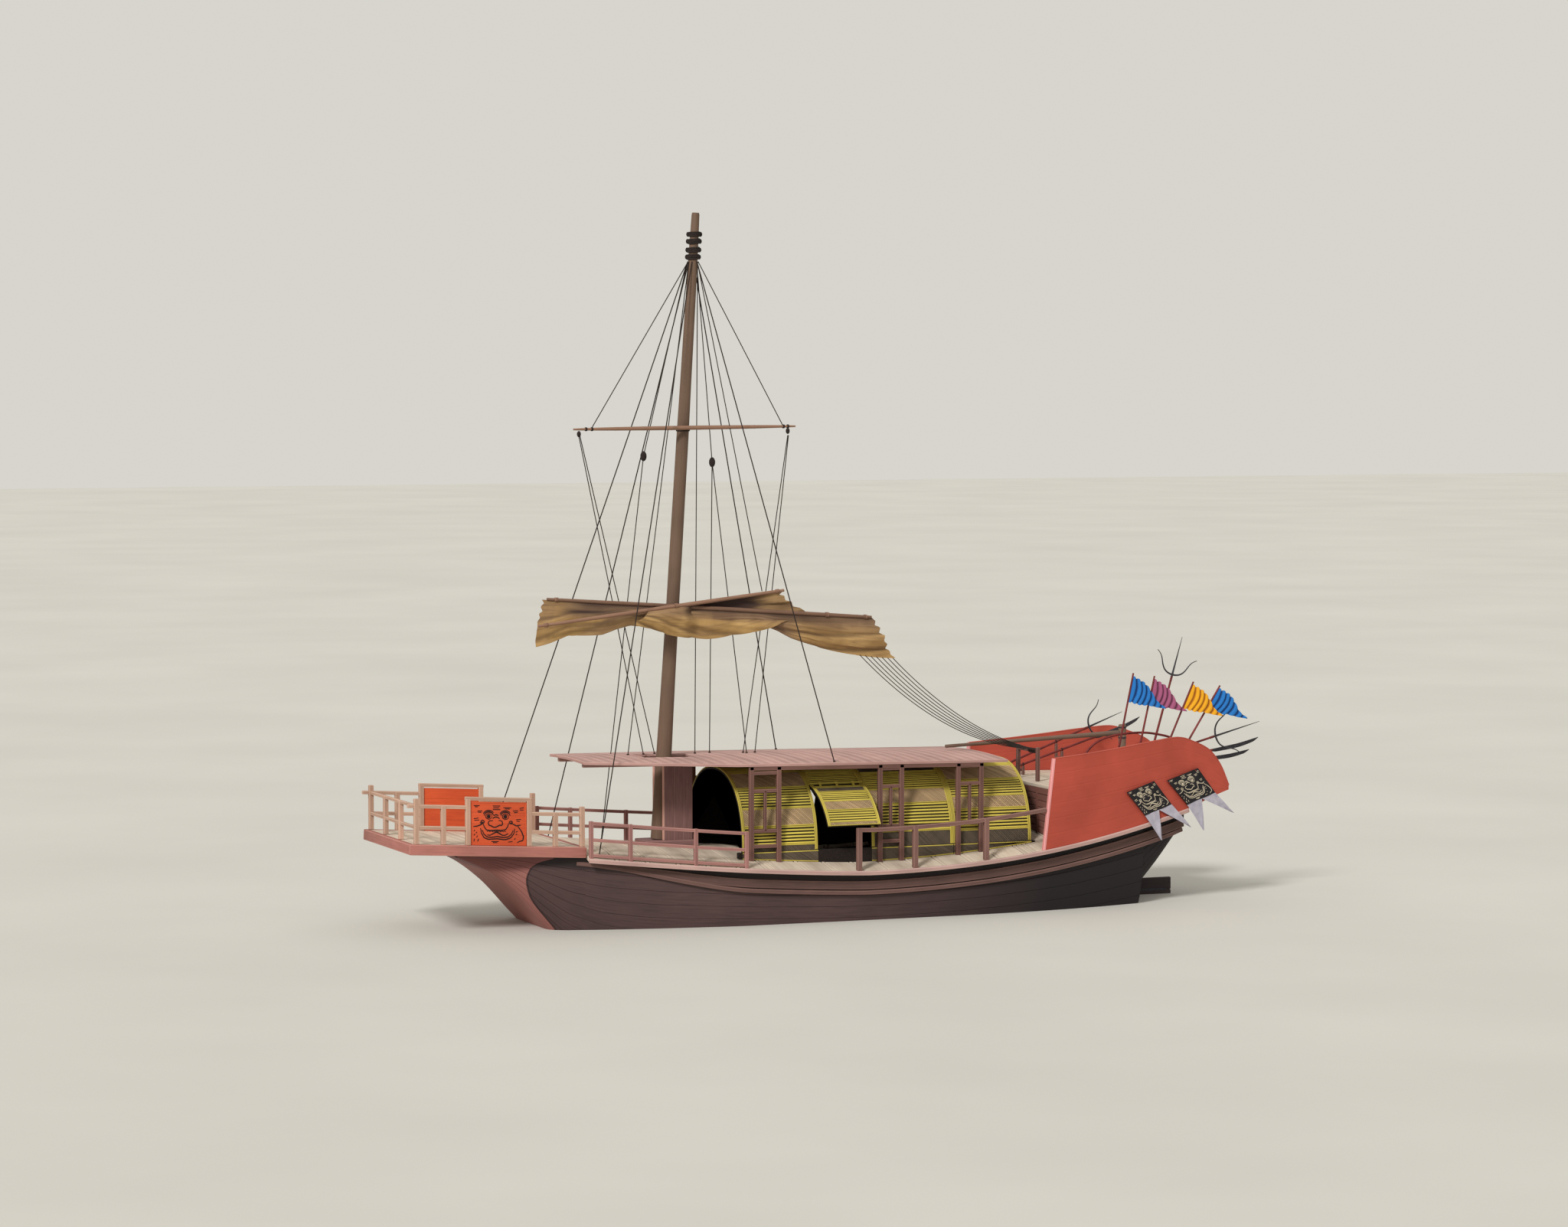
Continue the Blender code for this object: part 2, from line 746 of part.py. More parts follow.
def strake(name, rings, full_drop, depth, stand_off, sign):
    """A rubbing strake let into the hull's side, run out to nothing at the bow."""
    sections = []
    for ring in rings[STRAKE_RINGS]:
        x = ring[0][0]
        drop = STRAKE_HEAD_DROP + (full_drop - STRAKE_HEAD_DROP) * strake_share(x, STRAKE_RUN)
        size = STRAKE_HEAD_SHARE + (1.0 - STRAKE_HEAD_SHARE) * strake_share(x, STRAKE_RUN / 2)
        middle = sheer(x) - drop
        low = middle - size * depth / 2
        high = middle + size * depth / 2
        inner = side_y(ring, middle) - STRAKE_ROOT
        outer = max(side_y(ring, low), side_y(ring, high)) + size * stand_off
        sections.append([
            (x, sign * inner, low),
            (x, sign * outer, low),
            (x, sign * outer, high),
            (x, sign * inner, high),
        ])
    return loft(name, sections, HULL_PAINT)


def make_hull():
    """The planked hull with its strakes, hold well and rudder trunk."""
    rings = hull_rings()
    pieces = [loft("hull_body", rings, HULL_PAINT)]
    for row, (drop, depth, stand_off) in enumerate(STRAKES):
        for sign in (-1, 1):
            pieces.append(strake(f"strake_{row}_{sign}", rings, drop, depth, stand_off, sign))
    hull = join_bodies("hull", pieces, HULL_PAINT)
    cut(hull, well_cutter())
    cut(hull, trunk_cutter())
    return hull


def well_cutter():
    """The space of the hold."""
    height = (WELL_FLOOR, CUT_TOP)
    return block("well", (WELL_FRONT_X, WELL_AFT_X), (-WELL_HALF, WELL_HALF), height, HULL_PAINT)


def trunk_cutter():
    """The round space of the rudder trunk."""
    low = Vector((STOCK_X, 0.0, CUT_BOTTOM))
    high = Vector((STOCK_X, 0.0, CUT_TOP))
    return pole("trunk", ((low, STOCK_HOLE_RADIUS), (high, STOCK_HOLE_RADIUS)), 16, HULL_PAINT)


def make_deck():
    """The crowned deck that overhangs the hull's sides."""
    rings = []
    for x, _, _ in HULL_STATIONS:
        if x < DECK_FRONT_X:
            continue
        half = deck_half(x)
        inner = hull_half(x)
        across = [-half] + list(np.linspace(-inner, inner, TOP_STEPS + 1)) + [half]
        under = [(x, y, deck_top(x, y) - DECK_THICKNESS) for y in across]
        over = [(x, y, deck_top(x, y)) for y in reversed(across)]
        rings.append(under + over)
    deck = loft("deck", rings, DECK_WOOD)
    cut(deck, well_cutter())
    cut(deck, trunk_cutter())
    return deck


def make_bow_platform():
    """The flat platform that rises over the bow."""
    rings = []
    for x in (PLATFORM_FRONT_X, PLATFORM_AFT_X):
        rings.append([
            (x, -PLATFORM_HALF, platform_under(x)),
            (x, PLATFORM_HALF, platform_under(x)),
            (x, PLATFORM_HALF, platform_top(x)),
            (x, -PLATFORM_HALF, platform_top(x)),
        ])
    return loft("bow_platform", rings, RAIL_WOOD)


def platform_base(x, y):
    """Height at which a post stands on the bow platform."""
    return platform_top(x) + GAP


def make_bow_rail():
    """Posts and bars round three sides of the bow platform: two side rails and one across the front."""
    half_post = BOW_POST / 2
    pieces = []
    y_range = (-BOW_RAIL_Y - half_post, -BOW_RAIL_Y + half_post)
    for x, height in BOW_POSTS:
        x_range = (x - half_post, x + half_post)
        pieces.append(post_on("post", x_range, y_range, platform_base, height, RAIL_WOOD))
    for first, last, height in BOW_BARS:
        path = [(x, -BOW_RAIL_Y, platform_top(x) + height) for x in (first, last)]
        pieces.append(bar_along("bar", path, *BOW_BAR, RAIL_WOOD))
    both_sides(join_bodies("bow_rail", pieces, RAIL_WOOD), "bow_rail")
    pieces = []
    front_x = BOW_POSTS[0][0]
    for y in (-FRONT_POST_Y, FRONT_POST_Y):
        x_range = (front_x - half_post, front_x + half_post)
        y_range = (y - half_post, y + half_post)
        height = BOW_POSTS[1][1]
        pieces.append(post_on("post", x_range, y_range, platform_base, height, RAIL_WOOD))
    end_y = BOW_RAIL_Y - half_post - GAP
    for height in FRONT_BAR_HEIGHTS:
        path = [(front_x, y, platform_top(front_x) + height) for y in (-end_y, end_y)]
        pieces.append(bar_along("bar", path, *FRONT_BAR, RAIL_WOOD))
    return join_bodies("bow_rail_front", pieces, RAIL_WOOD)


def make_beast_panels():
    """The painted boards that fill one bay of the bow rail."""
    half_post = BOW_POST / 2
    first = BOW_POSTS[2][0] + half_post + GAP
    last = BOW_POSTS[3][0] - half_post - GAP
    y_range = (-BOW_RAIL_Y - PANEL_THICKNESS / 2, -BOW_RAIL_Y + PANEL_THICKNESS / 2)
    panel = post_on("beast_panel", (first, last), y_range, platform_base, PANEL_HEIGHT, RED_PAINT)
    both_sides(panel, "beast_panel")


def rail_path(first, last, height, inset=RAIL_INSET):
    """Points along the port deck edge at a height above the deck."""
    count = max(2, int(round((last - first) / RAIL_STEP)) + 1)
    path = []
    for x in np.linspace(first, last, count):
        y = -(deck_half(x) - inset)
        path.append((x, y, deck_top(x, y) + height))
    return path


def side_rail(stem, posts, end_x, heights, size):
    """A rail of posts and bars along the port deck edge, and its copy."""
    pieces = []
    bar = size * RAIL_BAR_SHARE
    for x in posts:
        y = -(deck_half(x) - RAIL_INSET)
        x_range = (x - size / 2, x + size / 2)
        y_range = (y - size / 2, y + size / 2)
        height = heights[0] + RAIL_POST_HEAD
        pieces.append(post_on("post", x_range, y_range, deck_top, height, RAIL_WOOD, ROOT_DEPTH))
    for height in heights:
        path = rail_path(posts[0], end_x, height)
        pieces.append(bar_along("bar", path, bar, bar, RAIL_WOOD))
    rail = join_bodies(stem, pieces, RAIL_WOOD)
    both_sides(rail, stem, on_deck=True)


def mat_curve(turn, outset=0.0):
    """Point of the mats' arch at a turn from the port foot, in y and z."""
    half = MAT_HALF + outset
    rise = MAT_TOP_Z - MAT_FOOT_Z + outset
    across = math.cos(turn)
    along = math.sin(turn)
    y = -math.copysign(abs(across) ** (2 / MAT_ROUNDNESS), across) * half
    z = MAT_FOOT_Z + max(along, 0.0) ** (2 / MAT_ROUNDNESS) * rise
    return y, z


def mat_ring(x, turns, thickness):
    """Section of a mat at x: out along its outer face, back along its inner."""
    outer = [mat_curve(turn, thickness - MAT_THICKNESS) for turn in turns]
    inner = [mat_curve(turn, -MAT_THICKNESS) for turn in reversed(turns)]
    return [(x, y, z) for y, z in outer + inner]


def mat_shell(name, first, last, turns):
    """A curved mat with a bamboo hoop along each end."""
    rings = []
    rows = (
        (first, MAT_THICKNESS + MAT_HOOP),
        (first + MAT_HOOP_WIDTH, MAT_THICKNESS + MAT_HOOP),
        (first + MAT_HOOP_WIDTH + HOOP_STEP, MAT_THICKNESS),
        (last - MAT_HOOP_WIDTH - HOOP_STEP, MAT_THICKNESS),
        (last - MAT_HOOP_WIDTH, MAT_THICKNESS + MAT_HOOP),
        (last, MAT_THICKNESS + MAT_HOOP),
    )
    for x, thickness in rows:
        rings.append(mat_ring(x, turns, thickness))
    return loft(name, rings, MAT_STRAW)


def make_mats():
    """Three whole arches, the crown of the fourth and its two side flaps."""
    for name, first, last in MAT_SECTIONS:
        mat_shell(name, first, last, np.linspace(0.0, math.pi, MAT_STEPS + 1))
    make_crown()
    make_flaps()


def flap_hinge():
    """Port hinge line of the flap, in y and z."""
    return mat_curve(FLAP_HINGE_TURN, MAT_HOOP + HINGE_STAND_OFF)


def make_crown():
    """The fixed top of the fourth arch with a hinge rod along each lower edge."""
    turns = np.linspace(FLAP_HINGE_TURN, math.pi - FLAP_HINGE_TURN, MAT_STEPS // 2)
    pieces = [mat_shell("mat_crown", CROWN_X[0], CROWN_X[1], turns)]
    hinge_y, hinge_z = flap_hinge()
    inner_y, inner_z = mat_curve(HINGE_LUG_TURN, HINGE_LUG_OUTSET)
    for sign in (-1, 1):
        ends = [Vector((x, -sign * hinge_y, hinge_z)) for x in FLAP_X]
        pieces.append(pole("rod", [(end, HINGE_ROD) for end in ends], HINGE_SIDES, MAT_STRAW))
        for x in (FLAP_X[0], FLAP_X[1] - HINGE_LUG_WIDTH):
            section = [
                (-sign * hinge_y, hinge_z - HINGE_ROD / 2),
                (-sign * hinge_y, hinge_z + HINGE_LUG_RISE),
                (-sign * inner_y, inner_z + HINGE_LUG_HALF),
                (-sign * inner_y, inner_z - HINGE_LUG_HALF),
            ]
            rings = [[(level, y, z) for y, z in section] for level in (x, x + HINGE_LUG_WIDTH)]
            pieces.append(loft("lug", rings, MAT_STRAW))
    return join_bodies("mat_crown", pieces, MAT_STRAW)


def hinge_loop(x, hinge):
    """A loop round the hinge rod with a tongue down to the closed flap."""
    rings = []
    for sign, wall in ((-1, 0), (-1, 1), (1, 1), (1, 0)):
        centre = Vector((x + sign * HINGE_LOOP_WIDTH / 2, hinge.y, hinge.z))
        radius = HINGE_ROD + HINGE_CLEARANCE + wall * HINGE_LOOP_WALL
        rings.append(ring_around(centre, Vector((1.0, 0.0, 0.0)), radius, HINGE_SIDES))
    ring = tube("loop", rings, MAT_STRAW)
    low_y, low_z = mat_curve(TONGUE_TURN, -MAT_THICKNESS / 2)
    wall = HINGE_ROD + HINGE_CLEARANCE + HINGE_LOOP_WALL / 2
    top = Vector((0.0, hinge.y, hinge.z))
    foot = Vector((0.0, low_y, low_z))
    down = (foot - top).normalized()
    side = Vector((0.0, -down.z, down.y)) * TONGUE_HALF
    start = top + down * wall
    section = [start - side, start + side, foot + side, foot - side]
    half = HINGE_LOOP_WIDTH / 2 - TONGUE_INSET
    rows = (x - half, x + half)
    tongue = loft("tongue", [[(level, point.y, point.z) for point in section] for level in rows], MAT_STRAW)
    return [ring, tongue]


def make_flaps():
    """The port and starboard flaps, swung out about their upper edges."""
    radius = math.hypot(MAT_HALF, MAT_TOP_Z - MAT_FOOT_Z) / math.sqrt(2)
    top_turn = FLAP_HINGE_TURN - FLAP_GAP / radius
    turns = np.linspace(FLAP_FOOT_TURN, top_turn, MAT_STEPS // 2)
    pieces = [mat_shell("mat_flap", FLAP_X[0], FLAP_X[1], turns)]
    hinge_y, hinge_z = flap_hinge()
    hinge = Vector((0.0, hinge_y, hinge_z))
    for x in LOOP_X:
        pieces += hinge_loop(x, hinge)
    flap = join_bodies("mat_flap", pieces, MAT_STRAW)
    swing = Matrix.Translation(hinge) @ Matrix.Rotation(-FLAP_OPEN, 4, "X") @ Matrix.Translation(-hinge)
    flap.data.transform(swing)
    middle_x = (FLAP_X[0] + FLAP_X[1]) / 2
    for side, sign in zip(both_sides(flap, "mat_flap"), (1, -1)):
        origin_at(side, Vector((middle_x, sign * hinge_y, hinge_z)))


def make_sills():
    """The timbers that carry the mats along each side of the hold."""
    height = (SILL_ROOT_Z, MAT_FOOT_Z - GAP)
    sill = block("sill", SILL_X, (-SILL_OUTER, -SILL_INNER), height, DARK_WOOD)
    both_sides(sill, "mat_sill", on_deck=True)


def deck_block():
    """A solid of everything from below up to just over the deck's top."""
    rings = []
    for x, _, _ in HULL_STATIONS:
        if x < DECK_FRONT_X:
            continue
        half = deck_half(x)
        inner = hull_half(x)
        across = [-half] + list(np.linspace(-inner, inner, TOP_STEPS + 1)) + [half]
        under = [(x, y, deck_top(x, y) - CUT_DEPTH) for y in across]
        over = [(x, y, deck_top(x, y) + GAP) for y in reversed(across)]
        rings.append(under + over)
    return loft("deck_block", rings, DECK_WOOD)


def make_side_frames():
    """Ladder frames that carry the roof, tied by a plate under its edge."""
    pieces = []
    y_range = (-FRAME_Y[1], -FRAME_Y[0])
    middle_y = (y_range[0] + y_range[1]) / 2
    half_post = FRAME_POST / 2
    for first, last, middle, rungs in FRAMES:
        for x in (first, last):
            pieces.append(frame_post(x, half_post, y_range))
        if middle:
            x = (first + last) / 2
            low = rungs[2]
            high = rungs[1]
            x_range = (x - half_post * STUD_SHARE, x + half_post * STUD_SHARE)
            inset = (y_range[0] + STUD_INSET, y_range[1] - STUD_INSET)
            pieces.append(block("stud", x_range, inset, (low, high), DARK_WOOD))
        for height in rungs:
            path = [(first, middle_y, height), (last, middle_y, height)]
            pieces.append(bar_along("rung", path, FRAME_BAR, FRAME_BAR, DARK_WOOD))
    plate_first = FRAMES[0][0] - half_post
    plate_last = FRAMES[-1][1] + half_post
    rings = []
    for x in (plate_first, plate_last):
        top = roof_under(x, FRAME_Y[1]) - GAP
        rings.append([
            (x, y_range[0], top - FRAME_PLATE),
            (x, y_range[1], top - FRAME_PLATE),
            (x, y_range[1], top),
            (x, y_range[0], top),
        ])
    pieces.append(loft("plate", rings, DARK_WOOD))
    frames = join_bodies("side_frames", pieces, DARK_WOOD)
    both_sides(frames, "side_frames", on_deck=True)


def frame_post(x, half_post, y_range):
    """A post from inside the deck to just under the roof."""
    rings = []
    for edge in (x - half_post, x + half_post):
        low = deck_top(edge, FRAME_Y[0]) - ROOT_DEPTH
        high = roof_under(edge, FRAME_Y[1]) - FRAME_PLATE_DROP
        rings.append([
            (edge, y_range[0], low),
            (edge, y_range[1], low),
            (edge, y_range[1], high),
            (edge, y_range[0], high),
        ])
    return loft("frame_post", rings, DARK_WOOD)


def roof_half(x):
    """Half-width of the roof platform at x."""
    if x > ROOF_TAPER_X:
        return ROOF_HALF
    share = (ROOF_TAPER_X - x) / (ROOF_TAPER_X - ROOF_FRONT_X)
    return ROOF_HALF - (ROOF_HALF - ROOF_FRONT_HALF) * share


def make_roof():
    """The crowned plank platform over the mats, open round the mast."""
    rings = []
    for x in (ROOF_FRONT_X, ROOF_TAPER_X, ROOF_AFT_X):
        across = np.linspace(-roof_half(x), roof_half(x), ROOF_STEPS + 1)
        under = [(x, y, roof_under(x, y)) for y in across]
        over = [(x, y, roof_under(x, y) + ROOF_THICKNESS) for y in reversed(across)]
        rings.append(under + over)
    roof = loft("roof_platform", rings, DECK_WOOD)
    pieces = [roof]
    width, depth = ROOF_BEARER
    for sign in (-1, 1):
        path = []
        for x in (ROOF_FRONT_X + ROOF_BEARER_INSET, ROOF_AFT_X - ROOF_BEARER_INSET):
            y = sign * ROOF_BEARER_Y
            path.append((x, y, roof_under(x, y) - depth / 2 + ROOF_BEARER_LET_IN))
        pieces.append(bar_along("bearer", path, width, depth, DECK_WOOD))
    roof = join_bodies("roof_platform", pieces, DECK_WOOD)
    height = (CHEEK_TOP - ROOF_SLOT_DEPTH, CUT_TOP)
    slot = block("slot", ROOF_SLOT_X, (-ROOF_SLOT_HALF, ROOF_SLOT_HALF), height, DECK_WOOD)
    return cut(roof, slot)


def make_tabernacle():
    """Two cheeks and the step that hold the mast's foot."""
    low = deck_top(STEP_X[0], 0.0) - STEP_ROOT
    pieces = [block("step", STEP_X, (-STEP_HALF, STEP_HALF), (low, STEP_TOP), DARK_WOOD)]
    for sign in (-1, 1):
        y_range = sorted((sign * CHEEK_Y[0], sign * CHEEK_Y[1]))
        pieces.append(block("cheek", CHEEK_X, y_range, (STEP_TOP - CHEEK_ROOT, CHEEK_TOP), DARK_WOOD))
    tabernacle = join_bodies("tabernacle", pieces, DARK_WOOD)
    return cut(tabernacle, deck_block())


def make_mast():
    """The tapered, raked mast with its lashings at the head."""
    heights = [MAST_FOOT.z + share * (MAST_TOP.z - MAST_FOOT.z) for share, _ in MAST_RADII]
    stations = [(mast_centre(z), mast_radius(z)) for z in heights if z < MASTHEAD_BANDS[0][0]]
    for middle, height, extra in MASTHEAD_BANDS:
        for z, out in ((-1, 0), (-BAND_FLAT_SHARE, extra), (BAND_FLAT_SHARE, extra), (1, 0)):
            level = middle + z * height / 2
            stations.append((mast_centre(level), mast_radius(level) + out))
    stations.append((MAST_TOP, MAST_RADII[-1][1]))
    return pole("mast", stations, MAST_SIDES, MAST_WOOD)


def parrel(name, lashing, material):
    """A ring round the mast with a lug that reaches out to a point on a yard."""
    z = lashing.z
    axis = (MAST_TOP - MAST_FOOT).normalized()
    rings = []
    for sign, wall in ((-1, 0), (-1, 1), (1, 1), (1, 0)):
        level = z + sign * PARREL_HEIGHT / 2
        radius = mast_radius(level) + PARREL_CLEARANCE + wall * PARREL_WALL
        rings.append(ring_around(mast_centre(level), axis, radius, MAST_SIDES))
    ring = tube(name, rings, material)
    lug = parrel_lug(lashing, material)
    return [ring, lug]


def parrel_lug(lashing, material, extra=0.0):
    """The lug of a parrel, or the space for one where extra is set."""
    half = PARREL_LUG / 2 + extra
    centre = mast_centre(lashing.z)
    reach = -(mast_radius(lashing.z) + PARREL_WALL / 2)
    x_range = (centre.x - half, centre.x + half)
    z_range = (lashing.z - half, lashing.z + half)
    return block("lug", x_range, (lashing.y - extra, reach), z_range, material)


def yard_at(yard, x):
    """Point of a yard's centreline at x."""
    fore, aft = yard[0], yard[1]
    return fore.lerp(aft, (x - fore.x) / (aft.x - fore.x))


def yard_pole(name, yard, material, extra=0.0):
    """A yard, thickest in the middle, or the space for one where extra is set."""
    fore, aft, middle, end = yard
    along = (aft - fore).normalized() * extra
    fore = fore - along
    aft = aft + along
    quarter = end + YARD_QUARTER_FULLNESS * (middle - end)
    stations = []
    for share, size in ((0.0, end), (0.25, quarter), (0.5, middle), (0.75, quarter), (1.0, end)):
        stations.append((fore.lerp(aft, share), size + extra))
    return pole(name, stations, YARD_SIDES, material)


def make_upper_yard():
    """The light yard high on the mast, with its parrel."""
    pivot = mast_centre(YARD_Z)
    pieces = [yard_pole("upper_yard", UPPER_YARD, MAST_WOOD)]
    pieces += parrel("parrel", yard_at(UPPER_YARD, pivot.x), MAST_WOOD)
    return origin_at(join_bodies("upper_yard", pieces, MAST_WOOD), pivot)


def make_sail():
    """Two crossed spars and the furled sail gathered between them."""
    pivot = mast_centre(SAIL_Z)
    lashing = yard_at(SAIL_SPAR_A, pivot.x)
    pieces = [yard_pole("sail_spar_upper", SAIL_SPAR_A, MAST_WOOD)]
    pieces += parrel("parrel", lashing, MAST_WOOD)
    upper = join_bodies("sail_spar_upper", pieces, MAST_WOOD)
    lower = yard_pole("sail_spar_lower", SAIL_SPAR_B, MAST_WOOD)
    rings = []
    for x, y, top, bottom, half_width in SAIL_SECTIONS:
        middle = (top + bottom) / 2
        half_height = (top - bottom) / 2
        ring = []
        for step in range(SAIL_SIDES):
            turn = 2 * math.pi * step / SAIL_SIDES
            ring.append((x, y + half_width * math.cos(turn), middle + half_height * math.sin(turn)))
        rings.append(ring)
    sail = loft("sail_cloth", rings, SAIL_CANVAS)
    cut(sail, yard_pole("spar_space", SAIL_SPAR_A, MAST_WOOD, SPAR_CLEARANCE))
    cut(sail, yard_pole("spar_space", SAIL_SPAR_B, MAST_WOOD, SPAR_CLEARANCE))
    cut(sail, parrel_lug(lashing, MAST_WOOD, SPAR_CLEARANCE))
    for thing in (upper, lower, sail):
        origin_at(thing, pivot)


def stay(name, foot, turn):
    """A taut stay from the masthead down into what its foot stands on."""
    out = mast_radius(STAY_HEAD_Z) + STAY_RADIUS + 2 * GAP
    head = mast_centre(STAY_HEAD_Z) + Vector((math.cos(turn), math.sin(turn), 0.0)) * out
    sunk = foot + (foot - head).normalized() * ROOT_DEPTH
    return pole(name, ((sunk, STAY_RADIUS), (head, STAY_RADIUS)), STAY_SIDES, ROPE)


def make_stays(platform, roof):
    """The fore stay, two guys to the fore deck and two back stays to the roof."""
    fore_turn, guy_turn, back_turn = STAY_HEAD_TURNS
    x = FORE_STAY_FOOT_X
    foot = Vector((x, 0.0, platform_top(x)))
    fore = stay("fore_stay", foot, fore_turn)
    seat(fore, platform, (0.0, 0.0, GAP))
    x, y = GUY_FOOT
    foot = Vector((x, -y, deck_top(x, y)))
    guy = stay("fore_guy", foot, guy_turn)
    both_sides(guy, "fore_guy", on_deck=True)
    x, y = BACK_STAY_FOOT
    foot = Vector((x, -y, roof_under(x, y) + ROOF_THICKNESS))
    back = stay("back_stay", foot, back_turn)
    for side in both_sides(back, "back_stay"):
        seat(side, roof, (0.0, 0.0, GAP))


def bulwark_y(x):
    """Outer half-width of the stern bulwark at x."""
    return deck_half(x) - BULWARK_OUTSET


def make_bulwarks():
    """The high red boards on the deck edge at the stern."""
    rings = []
    for foot_x, foot_z, top_x, top_z in BULWARK_STATIONS:
        if foot_z is None:
            foot_z = deck_top(foot_x, bulwark_y(foot_x)) - ROOT_DEPTH
        ring = []
        for x, z, inset in ((foot_x, foot_z, BULWARK_THICKNESS), (foot_x, foot_z, 0.0),
                            (top_x, top_z, 0.0), (top_x, top_z, BULWARK_THICKNESS)):
            ring.append((x, -(bulwark_y(x) - inset), z))
        rings.append(ring)
    bulwark = loft("bulwark", rings, RED_PAINT)
    return both_sides(bulwark, "bulwark", on_deck=True)


def make_poop():
    """The wall, raised deck and transom between the bulwarks."""
    low = deck_top(POOP_WALL_X[0], POOP_WALL_HALF) - WALL_ROOT
    y_range = (-POOP_WALL_HALF, POOP_WALL_HALF)
    wall = block("poop_wall", POOP_WALL_X, y_range, (low, POOP_TOP - GAP), DARK_WOOD)
    cut(wall, deck_block())
    low = deck_top(TRANSOM_X[0], TRANSOM_HALF) - WALL_ROOT
    y_range = (-TRANSOM_HALF, TRANSOM_HALF)
    transom = block("transom", TRANSOM_X, y_range, (low, POOP_TOP - GAP), DARK_WOOD)
    cut(transom, deck_block())
    rings = []
    for x in POOP_STATIONS:
        half = bulwark_y(x) - BULWARK_THICKNESS - POOP_SIDE_GAP
        rings.append([
            (x, -half, POOP_TOP),
            (x, half, POOP_TOP),
            (x, half, POOP_TOP + POOP_THICKNESS),
            (x, -half, POOP_TOP + POOP_THICKNESS),
        ])
    poop = loft("poop_deck", rings, DECK_WOOD)
    return cut(poop, trunk_cutter())


def make_banners(bulwarks):
    """Thin hangings that lie on the outside of each bulwark."""
    for row, corners in enumerate(BANNERS):
        near = []
        far = []
        for x, z in corners:
            y = -(bulwark_y(min(x, BULWARK_STATIONS[-1][0])) + BANNER_OFF)
            far.append((x, y, z))
            near.append((x, y - BANNER_THICKNESS, z))
        pieces = [loft("banner", [far, near], BLACK_CLOTH)]
        for (x, _, z), toward in ((near[0], 1), (near[1], -1)):
            x += BANNER_PEG_INSET[0] * toward
            z -= BANNER_PEG_INSET[1]
            half = BANNER_PEG / 2
            y = -bulwark_y(x)
            y_range = (y - BANNER_OFF - BANNER_PEG_LET_IN, y + ROOT_DEPTH)
            pieces.append(block("peg", (x - half, x + half), y_range, (z - half, z + half), BLACK_CLOTH))
        hanging = join_bodies("banner", pieces, BLACK_CLOTH)
        pair = both_sides(hanging, f"banner_{row + 1}")
        for side, bulwark, clearance in zip(pair, bulwarks, (-GAP, GAP)):
            seat(side, bulwark, (0.0, clearance, 0.0))


def make_flags(poop):
    """Leaning staffs inside the port bulwark, each with a long pennant."""
    for row, (foot_x, top_x, top_z, y) in enumerate(STAFFS):
        foot = Vector((foot_x, y, POOP_TOP + POOP_THICKNESS - ROOT_DEPTH))
        top = Vector((top_x, y, top_z))
        staff = pole("staff", ((foot, STAFF_RADIUS), (top, STAFF_TOP_RADIUS)), 8, RED_PAINT)
        along = (top - foot).normalized()
        high = top - along * PENNANT_HEAD
        low = high - along * PENNANT_HOIST
        tip = (high + low) / 2 + Vector((PENNANT_FLY, 0.0, -PENNANT_DROP))
        corners = [(high.x, high.z), (low.x, low.z), (tip.x, tip.z)]
        sides = []
        for offset in (-PENNANT_THICKNESS / 2, PENNANT_THICKNESS / 2):
            sides.append([(x, y + offset, z) for x, z in corners])
        pennant = loft("pennant", sides, BLUE_CLOTH)
        flag = join_bodies(f"flag_{row + 1}", [staff, pennant], BLUE_CLOTH)
        seat(flag, poop, (0.0, 0.0, GAP))


def head_blade(name, base, along, across, outline, thickness, material):
    """A flat head cut to an outline of distances along and across a shaft."""
    normal = along.cross(across).normalized()
    sides = []
    for offset in (-thickness / 2, thickness / 2):
        sides.append([base + along * a + across * c + normal * offset for a, c in outline])
    return loft(name, sides, material)


def trident_outline(scale):
    """Both halves of a crescent head and its middle spike."""
    right = [(along * scale, across * scale) for along, across in CRESCENT]
    left = [(along, -across) for along, across in right]
    return right + [(SPIKE_LENGTH, 0.0)] + left[::-1]


def shaft_with_head(name, foot, tip, outline, material):
    """A long shaft that ends in a flat iron head."""
    along = (tip - foot).normalized()
    across = along.cross(Vector((0.0, 1.0, 0.0))).normalized()
    length = max(point[0] for point in outline)
    base = tip - along * length
    shaft = pole("shaft", ((foot, SHAFT_RADIUS), (base + along * HEAD_SOCKET, SHAFT_RADIUS)), 8, material)
    head = head_blade("head", base, along, across, outline, HEAD_THICKNESS, material)
    return join_bodies(name, [shaft, head], material)


def make_weapons(poop):
    """Shafts laid on their racks over the poop, and those at the stern."""
    for name, foot_x, foot_z, tip_x, tip_z, y, scale in ARMS:
        outline = trident_outline(scale) if scale else GLAIVE
        arm = shaft_with_head(name, Vector((foot_x, y, foot_z)), Vector((tip_x, y, tip_z)), outline, IRON)
        seat(arm, poop, (0.0, 0.0, GAP))


def rest_height(arm, x):
    """Side position of a shaft and the height just under it at x."""
    _, foot_x, foot_z, tip_x, tip_z, y, _ = arm
    slope = (tip_z - foot_z) / (tip_x - foot_x)
    middle = foot_z + slope * (x - foot_x)
    drop = SHAFT_RADIUS * math.hypot(1.0, slope) + slope * RACK_POST / 2 + GAP
    return y, middle - drop


